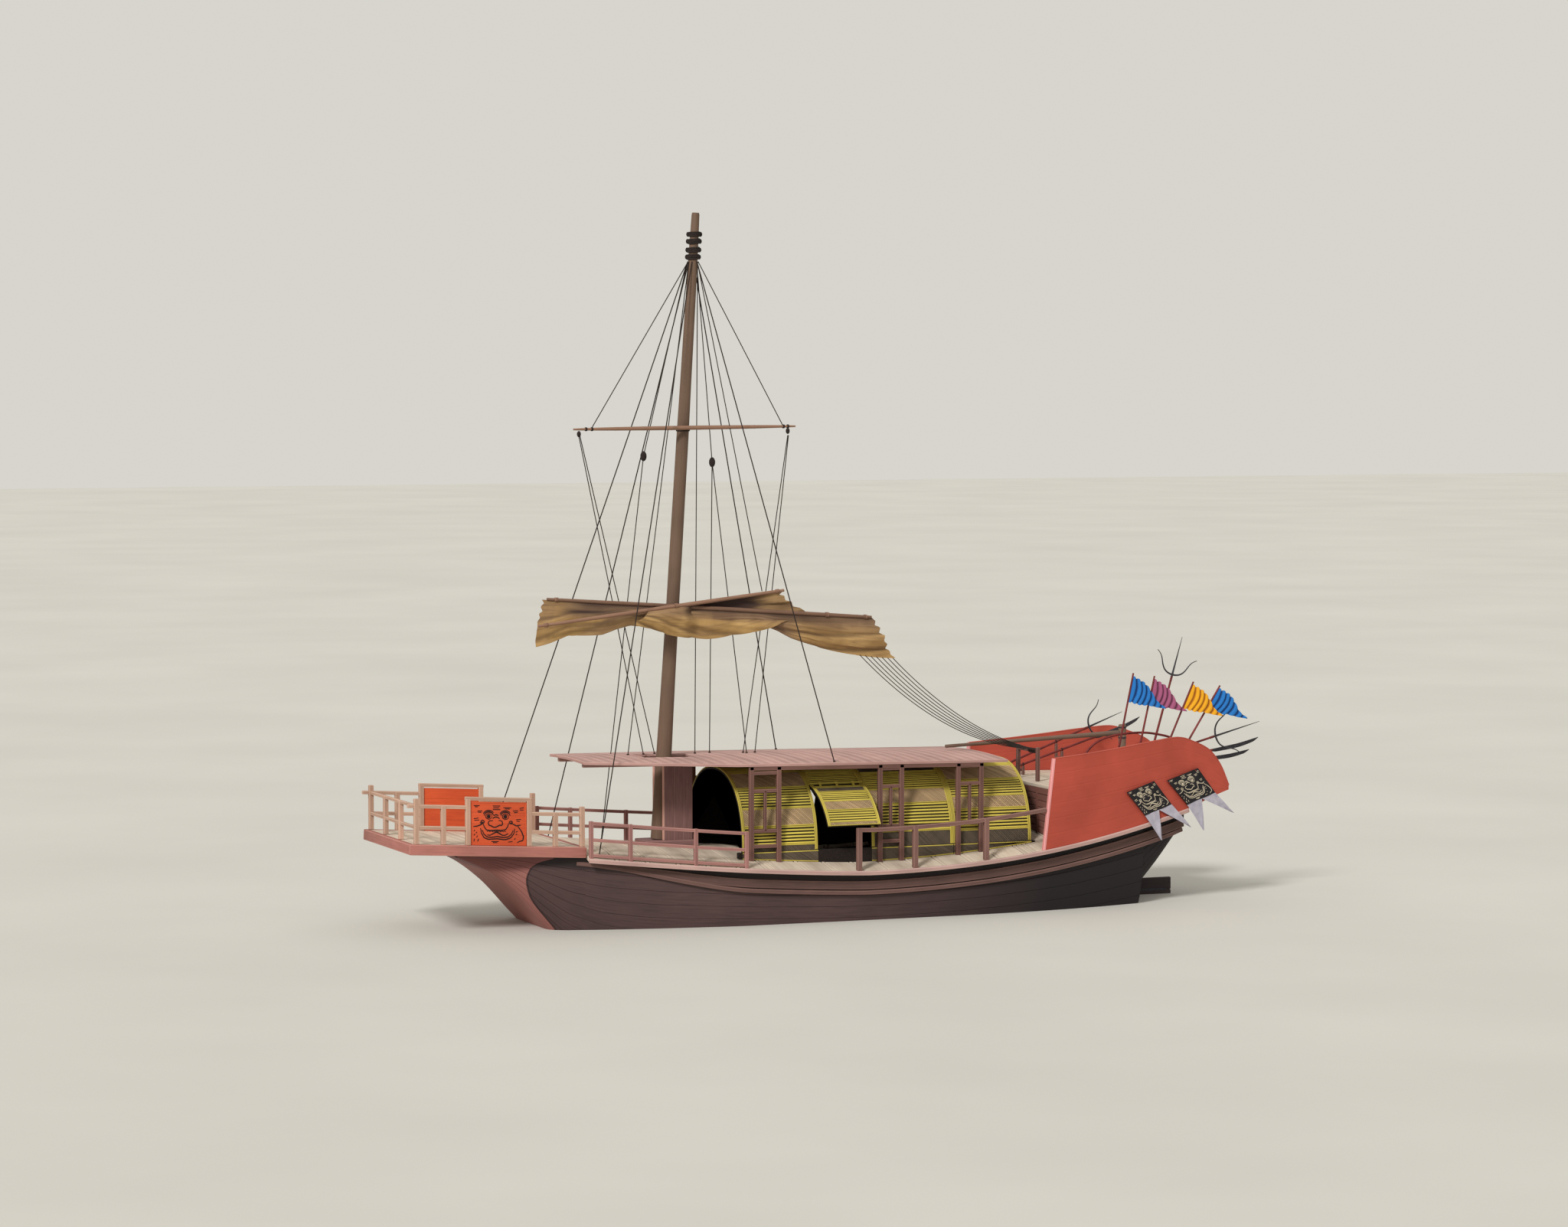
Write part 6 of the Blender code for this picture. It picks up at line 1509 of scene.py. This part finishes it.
def roof_spot(x, y):
    """Point on top of the roof platform."""
    return (x, y, float(roof_under(x, y)) + 0.068)


def deck_spot(x, y):
    """Point on top of the deck."""
    return (x, y, float(deck_top(x, y)) - 0.004)


def masthead(turn):
    """Point on the mast's side at its head, at a turn round it."""
    return tuple(beside_mast(HEAD_Z, turn, mast_radius(HEAD_Z) + 0.014))


def knot(shape, point, size=0.03):
    """A small cleat knot where a line is made fast."""
    blob(shape, (point[0], point[1], point[2] + size * 0.4), (size * 1.3, size, size * 0.7), 6, 8)


def make_stay(name, node, turn, foot, size=0.03):
    """A stay from the masthead to a knot at its foot."""
    shape = Shape()
    rope_line(shape, masthead(turn), foot, 0.016, 8)
    knot(shape, foot, size)
    piece(name, shape, "rope", node)


def blended_line(name, start, end, tied=False):
    """A line between two bodies, fixed in place and given to neither."""
    shape = Shape()
    rope_line(shape, start, end)
    if tied:
        knot(shape, end)
    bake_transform(piece(name, shape, "rope", body=None))


def make_blocks(name, centres, size, rows, cols, body="hull"):
    """Rounded wooden blocks for the falls."""
    shape = Shape()
    for centre in centres:
        blob(shape, centre, size, rows, cols)
    piece(name, shape, "mast_lashing", body=body)


def make_rigging():
    """Stays, bridles, falls and their blocks, each led from the masthead or a yard."""
    make_spar("yard_pole", UPPER_YARD, 8, "upper_yard", "yard")
    shape = Shape()
    parrel(shape, 12.6, YARD_Y)
    for x in (-6.5, -6.34, -3.77, -1.10, -0.98):
        centre = (x, YARD_Y, 12.62 + 0.05 * (x + 6.84) / 6.07)
        lashing(shape, centre, (1, 0, 0.008), 0.045, 0.008, 3, 0.016)
    piece("yard_lashings", shape, "rope", body="yard")
    for side, sign in SIDES:
        for name, foot, turn in (("fore_guy", deck_spot(-6.80, sign * 2.05), 240),
                                 ("back_stay", roof_spot(-0.39, sign * 2.05), 300)):
            turn = math.radians(turn if sign < 0 else 360 - turn)
            make_stay(f"{name}_cord_{side}", f"{name}_{side}", turn, foot)
    make_stay("fore_stay_cord", "fore_stay", math.pi, over_platform(-9.0, 0.0, -0.008), 0.04)
    shape = Shape()
    fore_block = (-4.84, 0.0, 11.92)
    aft_block = (-2.96, 0.0, 11.75)
    for start, end in ((masthead(2.9), fore_block), (fore_block, deck_spot(-5.6, 1.2)),
                       (masthead(3.5), roof_spot(-5.18, 0.3)), (masthead(0.1), roof_spot(-3.30, 0.4)),
                       (masthead(0.4), aft_block), (aft_block, roof_spot(-2.82, 0.6)),
                       (aft_block, roof_spot(-1.9, 0.3))):
        rope_line(shape, start, end)
        if end[2] < 6:
            knot(shape, end)
    piece("falls", shape, "rope")
    make_blocks("fall_blocks", (fore_block, aft_block), (0.085, 0.06, 0.13), 12, 14)
    make_blocks("yard_blocks", ((-6.69, YARD_Y, 12.50), (-0.98, YARD_Y, 12.55)), (0.055, 0.045, 0.08),
                10, 12, "yard")
    for name, x, turn in (("fore", -6.34, 3.3), ("aft", -1.10, 5.9)):
        blended_line(f"bridle_{name}", masthead(turn), (x, YARD_Y, 12.66))
    for number, (x, foot) in enumerate((
            (-6.69, roof_spot(-4.72, 0.4)), (-6.66, roof_spot(-4.36, 0.55)),
            (-0.98, roof_spot(-1.96, 0.4)), (-0.96, roof_spot(-1.63, 0.4)))):
        blended_line(f"yard_brace_{number + 1}", (x, YARD_Y, 12.44), foot, True)
    blended_line("sail_lift", masthead(0.2), (-1.85, -0.69, 8.43))


def make_sheetlets():
    """Seven sheets from the sail's aft edge to the horse on the poop, each hanging 4 sag s (1 - s)
    under its chord."""
    share = np.linspace(0, 1, 25)
    for number, x in enumerate(np.linspace(0.86, 1.78, SHEETS)):
        edge_z = np.interp(x, (0.77, 1.16, 1.46, 1.85), (6.73, 6.68, 6.65, 6.61))
        start = np.array((x, sail_middle(x), edge_z))
        end = np.array((5.985, SHEET_FIRST_Y + SHEET_PITCH * number, 4.09))
        path = straight(start, end, share)
        path[:, 2] -= (SHEET_SAG + 0.04 * (SHEETS - 1 - number)) * 4 * (share * (1 - share))
        shape = carry(Shape(), path, round_bar(0.011), ACROSS)
        line = piece(f"sheetlet_{number + 1}", shape, "rope", body=None)
        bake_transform(line)
    timbers, knots = Shape(), Shape()
    for y in (-0.62, 0.62):
        post(timbers, HORSE_X, y, POOP_TOP, 4.13, 0.10, radius=0.014)
    timber(timbers, (HORSE_X, -0.58, HORSE_Z), (HORSE_X, 0.58, HORSE_Z), 0.09, 0.08)
    piece("horse_timbers", timbers, "dark_rail", "sheet_horse")
    for number in range(SHEETS):
        spot = (HORSE_X, SHEET_FIRST_Y + SHEET_PITCH * number, HORSE_Z)
        lashing(knots, spot, ACROSS, 0.058, 0.009, 2, 0.017)
    piece("horse_knots", knots, "rope")


def bulwark_y(x):
    """Outer half-width of the stern boards."""
    return deck_half(x) - 0.02


def bulwark_point(s, t, inset):
    """Point on the port board at share s of its length and t of its height."""
    rows = np.array([(fx, float(deck_top(fx, bulwark_y(fx))) + 0.0006 if fz is None else fz, tx, tz)
                     for fx, fz, tx, tz in BULWARK])
    place = np.linspace(0, 1, len(rows))
    low_x, low_z, top_x, top_z = (smooth_curve(s, place, column) for column in rows.T)
    x = low_x + (top_x - low_x) * t
    z = low_z + (top_z - low_z) * t
    return np.stack([x, -(bulwark_y(x) - inset), z], -1)


def make_bulwark(side, sign):
    """The tall red board: outer and inner faces between foot and top curves, with rounded edges and
    shallow grooves between its planks."""
    s = np.linspace(0, 1, 90)
    outer = [(0.0, 0.006)]
    for k in range(BULWARK_PLANKS):
        a, b = k / BULWARK_PLANKS, (k + 1) / BULWARK_PLANKS
        outer += [(a + 0.004, 0.0), (a + 0.014, 0.0), (b - 0.014, 0.0), (b - 0.004, 0.0)]
        outer.append((b, 0.003) if k < BULWARK_PLANKS - 1 else (1.0, 0.008))
    ring = outer + [(t, BULWARK_THICKNESS - inset) for t, inset in outer[::-1]]
    points = np.stack([bulwark_point(s, np.full(len(s), t), inset) for t, inset in ring], 1)
    face, trim, rim = Shape(), Shape(), Shape()
    face.grid(points, s * 6.0, run([0.18] * len(ring)), tone=0.5, edge=0.0)
    front = bulwark_point(np.zeros(20), np.linspace(0.0, 1.0, 20), BULWARK_THICKNESS / 2)
    front[:, 0] -= 0.012
    carry(trim, front, rounded(0.12, 0.07, 0.015), (-1, 0, 0), tone=0.5)
    edge = bulwark_point(np.linspace(0.0, 1.0, 70), np.ones(70), BULWARK_THICKNESS / 2)
    edge[:, 2] += 0.002
    carry(rim, edge, rounded(0.112, 0.02, 0.008), tone=0.5)
    for shape, name, finish, node in ((face, "boards", "red_board", f"bulwark_{side}"),
                                      (trim, "front", "board_trim", ""), (rim, "rim", "red_board", "")):
        if sign > 0:
            shape.mirrored()
        piece(f"bulwark_{name}_{side}", shape, finish, node)


def make_poop():
    """Planked front wall and transom, deck boards across, and the bent rail over them."""
    ring = ((-0.040, 0, 0.012), (-0.028, 0, 0.0), (0.028, 0, 0.0), (0.040, 0, 0.012),
            (0.040, 1, -0.012), (0.028, 1, 0.0), (-0.028, 1, 0.0), (-0.040, 1, -0.012))
    for name, node, x, half in (("poop_wall_planks", "poop_wall", 5.74, 2.60),
                                ("transom_planks", "transom", 9.64, 1.96)):
        shape = Shape()
        y = np.linspace(-half, half, 25)
        foot = deck_top(x, y) + 0.001
        rise = WALL_TOP - foot
        for k in range(WALL_PLANKS):
            ends = (foot + rise * (k / WALL_PLANKS) + 0.004, foot + rise * ((k + 1) / WALL_PLANKS) - 0.004)
            points = np.stack([np.stack([np.full(25, x + dx), y, ends[at] + dz], -1)
                               for dx, at, dz in ring], 1)
            shift = draw.random() * 20
            shape.grid(points, y + shift, np.linspace(0, 0.6, 9) + shift, tone=draw.random(),
                       edge=[[1.0, 0, 0, 1.0, 1.0, 0, 0, 1.0]])
        piece(name, shape, "wall_planks", node)
    shape = Shape()
    for _, sign in SIDES:
        for y in (0.5, 1.3, 2.1):
            foot = float(deck_top(5.68, sign * y)) + 0.002
            post(shape, 5.685, sign * y, foot, 3.14, 0.09, 0.03, 0.006, ALONG)
    piece("poop_wall_battens", shape, "wall_planks")
    shape = Shape()
    boards(shape, POOP_BOARD_EDGES, bulwark_y, 0.135, lambda x, y: POOP_PLANK_Z[0] + 0 * y,
           lambda x, y: POOP_PLANK_Z[1] + 0 * y, 0.007, POOP_HOLE, POOP_HOLE_X)
    piece("poop_planking", shape, "deck_planks", "poop_deck")
    x, z = np.array(BENT_RAIL).T
    path = softened(along(np.stack([x, np.full(len(x), -1.58), z], -1), np.linspace(0, 1, 60)), 3)
    piece("bent_rail", carry(Shape(), path, round_bar(0.03, 10), ACROSS, bevel=0.004), "red_shaft")


def arc(cx, cy, rx, ry, first, last, count=12):
    """Part of an ellipse, from one angle to another in degrees."""
    turn = np.radians(np.linspace(first, last, count))
    return np.stack([cx + rx * np.cos(turn), cy + ry * np.sin(turn)], -1)


def curl(cx, cy, size, first, turns):
    """A spiral that closes in on its middle."""
    share = np.linspace(0, 1, 14)
    turn = math.radians(first) + share * turns * 2 * math.pi
    return np.stack([cx + size * (1 - 0.75 * share) * np.cos(turn),
                     cy + size * (1 - 0.75 * share) * np.sin(turn)], -1)


def mask_lines():
    """A generic grinning beast: each line with its breadth."""
    lines = [(along(row, np.linspace(0, 1, 3 * len(row))), 1.0) for row in FACE]
    teeth = np.stack([np.linspace(0.28, 0.64, 15), 0.313 - 0.013 * (-1.0) ** np.arange(15)], -1)
    lines.append((teeth, 0.7))
    for x in (0.315, 0.630):
        lines += [(arc(x, 0.685, 0.018, 0.021, 0, 360, 10), 2.0),
                  (arc(x, 0.685, 0.060, 0.070, 0, 360, 18), 0.7),
                  (arc(x, 0.695, 0.088, 0.104, 10, 175), 1.0), (arc(x, 0.700, 0.112, 0.135, 40, 160), 0.9)]
    lines += [(curl(0.19, 0.55, 0.050, 200, 1.4), 0.9), (curl(0.735, 0.545, 0.045, -40, -1.4), 0.9)]
    return lines + [(np.array([(a, b), (c, d)]), 1.0) for a, b, c, d in MARKS]


def strokes(place, normal, width, thick):
    """Each line of the mask as a low raised ribbon on a surface: place maps unit coordinates to it."""
    shape = Shape()
    section = np.array([(-width, 0.0), (-width * 0.5, thick), (width * 0.5, thick), (width, 0.0),
                        (width * 0.5, -thick * 0.5), (-width * 0.5, -thick * 0.5)])
    for line, breadth in mask_lines():
        path = place(line)
        swell = breadth * (0.55 + 0.45 * np.sin(math.pi * np.linspace(0.08, 0.92, len(path))))
        carry(shape, path, (section, np.zeros(6)), normal, scale=swell)
    return shape


def make_banner(number, side, sign):
    """A black field and two grey tails hung from pegs on the stern boards, with raised cream lines."""
    near, far, low_far, aft_tip, fore_tip, low_near = np.array(BANNERS[number - 1])
    neck = low_near + (low_far - low_near) * 0.52

    def hung(grid, billow):
        """Points 0.06 m off the stern boards, and further out by the billow."""
        x, z = grid[..., 0], grid[..., 1]
        y = -(bulwark_y(np.minimum(x, 11.12)) + 0.060) - billow
        return np.stack([x, y, z], -1)

    def place(line):
        """Lines of the mask on the field, lifted off its wave."""
        u = 0.5 + 0.98 * (line[:, :1] - 0.50)
        v = 0.5 - 0.98 * (line[:, 1:] - 0.49)
        flat = (near * (1 - u) + far * u) * (1 - v) + (low_near * (1 - u) + low_far * u) * v
        wave = 0.010 + 0.010 * np.sin(2 * math.pi * (1.5 * u[:, 0] + 0.2)) * v[:, 0]
        return hung(flat, wave + 0.0035)

    field, tails, pegs = Shape(), Shape(), Shape()
    grid, s, t = patch([near, far], [low_near, low_far], [near, low_near], [far, low_far], 17, 17)
    field.cloth(hung(grid, 0.010 + 0.010 * np.sin(2 * math.pi * (1.5 * s + 0.2)) * t), 0.006, tone=0.5)
    for a, b, tip in ((low_near, neck, fore_tip), (neck, low_far, aft_tip)):
        tips = [tip + (-0.012, 0), tip + (0.012, 0)]
        grid, s, t = patch([a, b], tips, [a, tips[0]], [b, tips[1]], 15, 9)
        wave = 0.008 + 0.022 * np.sin(2 * math.pi * (0.9 * s + 0.8 * t)) * t
        tails.cloth(hung(grid, wave), 0.005, tone=0.5)
    lines = strokes(place, (0, -1, 0), 0.0095, 0.004)
    for corner, dx in ((near, 0.072), (far, -0.072)):
        x, z = corner[0] + dx, corner[1] - 0.06
        y = -float(bulwark_y(x))
        carry(pegs, [(x, y + 0.02, z), (x, y - 0.085, z)], round_bar(0.017, 10), bevel=0.004)
    for name, shape, finish in (("field", field, "banner_black"), ("tails", tails, "banner_lilac"),
                                ("lines", lines, "banner_cream"), ("pegs", pegs, "red_shaft")):
        if sign > 0:
            shape.mirrored()
        piece(f"banner_{name}_{side}_{number}", shape, finish,
                           f"banner_{number}_{side}" if name == "field" else "")


def make_flag(number, foot_x, top_x, top_z, y, dye):
    """A leaning staff and its pennant: rows from the hoist narrow to the tip, with rounded folds
    that follow the hoist and a scalloped outline."""
    foot = np.array([foot_x, y, POOP_TOP])
    top = np.array([top_x, y, top_z])
    axis = unit(top - foot)
    share = np.linspace(0, 1, 12)
    shape = turned_pole(Shape(), straight(foot, top, share), 0.033 - 0.010 * share, 10, 0.004)
    staff = piece(f"flag_staff_{number}", shape, "red_shaft", f"flag_{number}")
    high = top - axis * 0.06
    low = high - axis * HOIST
    middle = (high + low) / 2
    s = np.linspace(0, 1, 61)[None, :]
    t = np.linspace(0, 1, 17)[:, None]
    ripple = np.abs(np.sin(math.pi * 7 * s ** 0.85))
    places = (0, 0.33, 0.5, 0.75, 1)
    fan = smooth_curve(s, places, (1, 0.86, 0.62, 0.22, 0.03)) * (0.88 + 0.12 * ripple)
    fall = smooth_curve(s, places, (0, 0.27, 0.44, 0.80, 1))
    spine = middle + np.stack([1.05 * s, 0 * s, -0.55 * fall], -1)
    points = spine + (high - low) * (0.5 - t)[..., None] * fan[..., None]
    points[..., 0] += 0.12 * np.sin(math.pi * t) * (1 - s) * np.minimum(s * 6, 1)
    points[..., 1] -= 0.05 * ripple ** 0.7 * np.minimum(s * 5, 1) * (1 - 0.5 * s)
    points[:, 0, 1] = y
    cloth = Shape()
    # fold marks the folds; the pennant's look paints shade nearly black in their hollows
    cloth.cloth(points, 0.005, tone=0.5, fold=ripple)
    flag = piece(f"pennant_{number}", cloth, "flag_" + dye)


def make_arm(name, foot_x, foot_z, tip_x, tip_z, y, head_length, scale):
    """A lacquered shaft with an iron head: a spike between two hooks, or a curved blade if the scale
    of the hooks is 0."""
    foot, tip = np.array([foot_x, y, foot_z]), np.array([tip_x, y, tip_z])
    axis = unit(tip - foot)
    across = np.array([-axis[2], 0, axis[0]])
    base = tip - axis * head_length
    shaft, head = Shape(), Shape()
    share = np.linspace(0, 1, 14)
    turned_pole(shaft, straight(foot, base + axis * 0.05, share), 0.034 - 0.006 * share, 12, 0.005)
    for k in range(3):
        lashing(shaft, base - axis * (0.02 + 0.05 * k), axis, 0.029, 0.007, 2, 0.014)
    if scale:
        share = np.linspace(0, 1, 10)
        turned_pole(head, straight(base - axis * 0.02, tip, share), 0.030 - 0.024 * share, 10)
        share = np.linspace(0, 1, 24)
        for sign in (-1, 1):
            hook = softened(along(HOOK, share), 4)
            path = base + axis * 0.04 + (across * sign * hook[:, :1] + axis * hook[:, 1:]) * scale
            turned_pole(head, path, 0.026 - 0.016 * share, 10)
    else:
        s = np.linspace(0, 1, 26)[:, None, None]
        low = smooth_curve(s, (0, 0.10, 0.50, 0.875, 1), (-0.03, -0.065, -0.075, -0.01, 0.075))
        high = smooth_curve(s, (0, 0.50, 1), (0.03, 0.035, 0.09))
        half = (high - low) / 2
        turn = circle(12)[:, None]
        thick = 0.016 * np.clip(half / 0.05, 0.15, 1)
        points = (base + axis * (s * head_length) + across * ((low + high) / 2 + half * np.cos(turn))
                  + np.array([0, 1.0, 0]) * thick * np.sin(turn))
        head.grid(points, s[:, 0, 0] * head_length, np.linspace(0, 0.4, 13), tone=0.5, edge=0.0)
    piece(name + "_shaft", shaft, "red_shaft", name)
    piece(name + "_head", head, "dark_iron")


def make_rack(name, x, carried):
    """A post under each shaft with a bar between the posts and a cord round each shaft."""
    shape, cords = Shape(), Shape()
    rests = []
    for arm, foot_x, foot_z, tip_x, tip_z, y, _, _ in ARMS:
        if arm in carried:
            slope = (tip_z - foot_z) / (tip_x - foot_x)
            middle = foot_z + slope * (x - foot_x)
            drop = 0.035 * math.hypot(1.0, slope) + slope * 0.035
            rests.append((y, middle - drop))
            lashing(cords, (x, y, middle), (1, 0, slope), 0.038, 0.008, 2, 0.016)
    for y, high in rests:
        post(shape, x, y, POOP_TOP, high, 0.07, radius=0.010)
    lowest = min(high for _, high in rests)
    level = lowest - min(0.20, (lowest - 3.23) / 2)
    timber(shape, (x, rests[0][0], level), (x, rests[-1][0], level), 0.056, 0.07, 0.010)
    piece(name + "_timbers", shape, "dark_rail", name)
    piece(name + "_cords", cords, "rope")


def make_beast_panels():
    """Raised dark lines on the painted boards of the bow rail, in a narrow border."""
    x0, x1 = PANEL_X
    for side, sign in SIDES:
        y = sign * PANEL_FACE_Y

        def place(line):
            """Lines of the mask on the panel, mirrored to starboard."""
            x = x0 + (x1 - x0) * (0.03 + 0.94 * (line[:, 0] if sign < 0 else 1 - line[:, 0]))
            return np.stack([x, np.full(len(x), y), platform_top(x) + 0.05 + 1.0 * line[:, 1]], -1)

        piece(f"mask_lines_{side}", strokes(place, (0, sign, 0), 0.017, 0.006), "panel_ink")
        panel, border = Shape(), Shape()
        for k in range(PANEL_BOARDS):
            level = PANEL_HEIGHT * (k + 0.5) / PANEL_BOARDS
            timber(panel, *(over_platform(x, sign * BOW_RAIL_Y, level) for x in (x0 + 0.002, x1 - 0.002)),
                   0.049, PANEL_HEIGHT / PANEL_BOARDS - 0.003, 0.006)
        piece(f"mask_board_{side}", panel, "painted_panel", f"beast_panel_{side}")
        frame = [(x0 + 0.02, 0.02), (x1 - 0.02, 0.02), (x1 - 0.02, 1.08), (x0 + 0.02, 1.08)]
        for a, b in zip(frame, frame[1:] + frame[:1]):
            timber(border, over_platform(a[0], y, a[1]), over_platform(b[0], y, b[1]), 0.022, 0.014,
                   0.004, ACROSS)
        piece(f"mask_border_{side}", border, "painted_panel")


def on_stock(shape, z, radius):
    """A turned pole on the rudder's axis."""
    turned_pole(shape, [(STOCK_X, 0, level) for level in z], radius, 24)


def make_rudder():
    """Planked blade with iron straps, a round stock with its collar, and the long tiller."""
    blade, head, straps = Shape(), Shape(), Shape()
    edges = np.linspace(-1.598, 0.448, 7)
    for low, high in zip(edges[:-1], edges[1:]):
        middle = (low + high) / 2
        timber(blade, (8.702, 0, middle), (10.248, 0, middle), 0.098, high - low - 0.006)
    on_stock(blade, [-1.50, *np.linspace(-1.49, 3.40, 16), 3.41], [0.115, *[0.128] * 16, 0.115])
    on_stock(blade, (3.2305, 3.242, 3.318, 3.33), (0.226, 0.238, 0.238, 0.226))
    piece("rudder_planks", blade, "rudder_timber", "rudder", "rudder")
    on_stock(head, (3.38, 3.41, 3.44, 4.00, 4.57, 4.60, 4.62),
             (0.118, 0.118, 0.104, 0.100, 0.104, 0.100, 0.080))
    piece("rudder_head", head, "tiller_timber", body="rudder")
    for level in (-1.2, -0.55, 0.12):
        for _, sign in SIDES:
            timber(straps, (8.84, sign * 0.053, level), (10.12, sign * 0.053, level), 0.008, 0.07, 0.002)
    for level in (4.26, 4.54):
        lashing(straps, (STOCK_X, 0, level), (0, 0, 1), 0.106, 0.010, 2, 0.02)
    piece("rudder_straps", straps, "dark_iron", body="rudder")
    share = np.linspace(0, 1, 30)
    shape = turned_pole(Shape(), straight((3.62, 0, 4.19), (8.68, 0, 4.395), share),
                        0.042 + 0.026 * share + 0.0015 * np.sin(share * 40), 16, 0.01)
    piece("tiller_pole", shape, "tiller_timber", "tiller", "rudder")


def make_camera():
    """The photograph's angle: 22 degrees ahead of the beam and 4 above the horizon."""
    data = bpy.data.cameras.new("photo_camera")
    data.lens = 105.47
    data.sensor_width = 36
    data.shift_x = -0.022
    data.shift_y = 0.0434
    data.clip_end = 1000
    camera = bpy.data.objects.new("photo_camera", data)
    bpy.context.scene.collection.objects.link(camera)
    azimuth = math.radians(-22)
    rise = math.radians(4)
    back = Vector((math.sin(azimuth) * math.cos(rise), -math.cos(azimuth) * math.cos(rise), math.sin(rise)))
    camera.location = Vector((0, 0, 6)) + back * 120
    camera.rotation_euler = (-back).to_track_quat("-Z", "Y").to_euler()
    bpy.context.scene.camera = camera


def make_stage():
    """A pale floor at the waterline."""
    look = Look("pale_floor", 0.9)
    worn = look.noise(look.place(), 0.08, 4.0)
    shade = look.mix(look.span(worn, 0.3, 0.7), paint(196, 194, 188), paint(203, 201, 195))
    mesh = bpy.data.meshes.new("floor")
    size = 400
    mesh.from_pydata([(-size, -size, 0), (size, -size, 0), (size, size, 0), (-size, size, 0)], [],
                     [(0, 1, 2, 3)])
    mesh.materials.append(look.colour(shade))
    floor = bpy.data.objects.new("floor", mesh)
    bpy.context.scene.collection.objects.link(floor)


def make_light():
    """A broad soft key from ahead and above, and a pale sky."""
    data = bpy.data.lights.new("key", "SUN")
    data.energy = 2.4
    data.angle = math.radians(12)
    data.color = (1.0, 0.98, 0.95)
    key = bpy.data.objects.new("key", data)
    key.rotation_euler = Vector((0.62, 0.55, -0.62)).to_track_quat("-Z", "Y").to_euler()
    bpy.context.scene.collection.objects.link(key)
    world = bpy.data.worlds.new("sky")
    world.use_nodes = True
    ground = world.node_tree.nodes["Background"]
    ground.inputs["Color"].default_value = (0.80, 0.78, 0.72, 1)
    ground.inputs["Strength"].default_value = 0.85
    bpy.context.scene.world = world
    bpy.context.scene.view_settings.view_transform = "Standard"


make_hull()
make_wales()
make_deck()
make_platform()
make_bow_rail()
make_side_rails()
make_mats()
make_frames()
make_roof()
make_tabernacle()
make_mast()
make_crown()
for side_name, side_sign in SIDES:
    make_flap(side_name, side_sign)
    make_bulwark(side_name, side_sign)
    for banner_number in (1, 2):
        make_banner(banner_number, side_name, side_sign)
make_spars()
make_sail()
make_rigging()
make_sheetlets()
make_poop()
for flag_number, flag_row in enumerate(STAFFS):
    make_flag(flag_number + 1, *flag_row)
for arm_row in ARMS:
    make_arm(*arm_row)
for rack_row in RACKS:
    make_rack(*rack_row)
make_beast_panels()
make_rudder()

make_stage()
make_light()
make_camera()
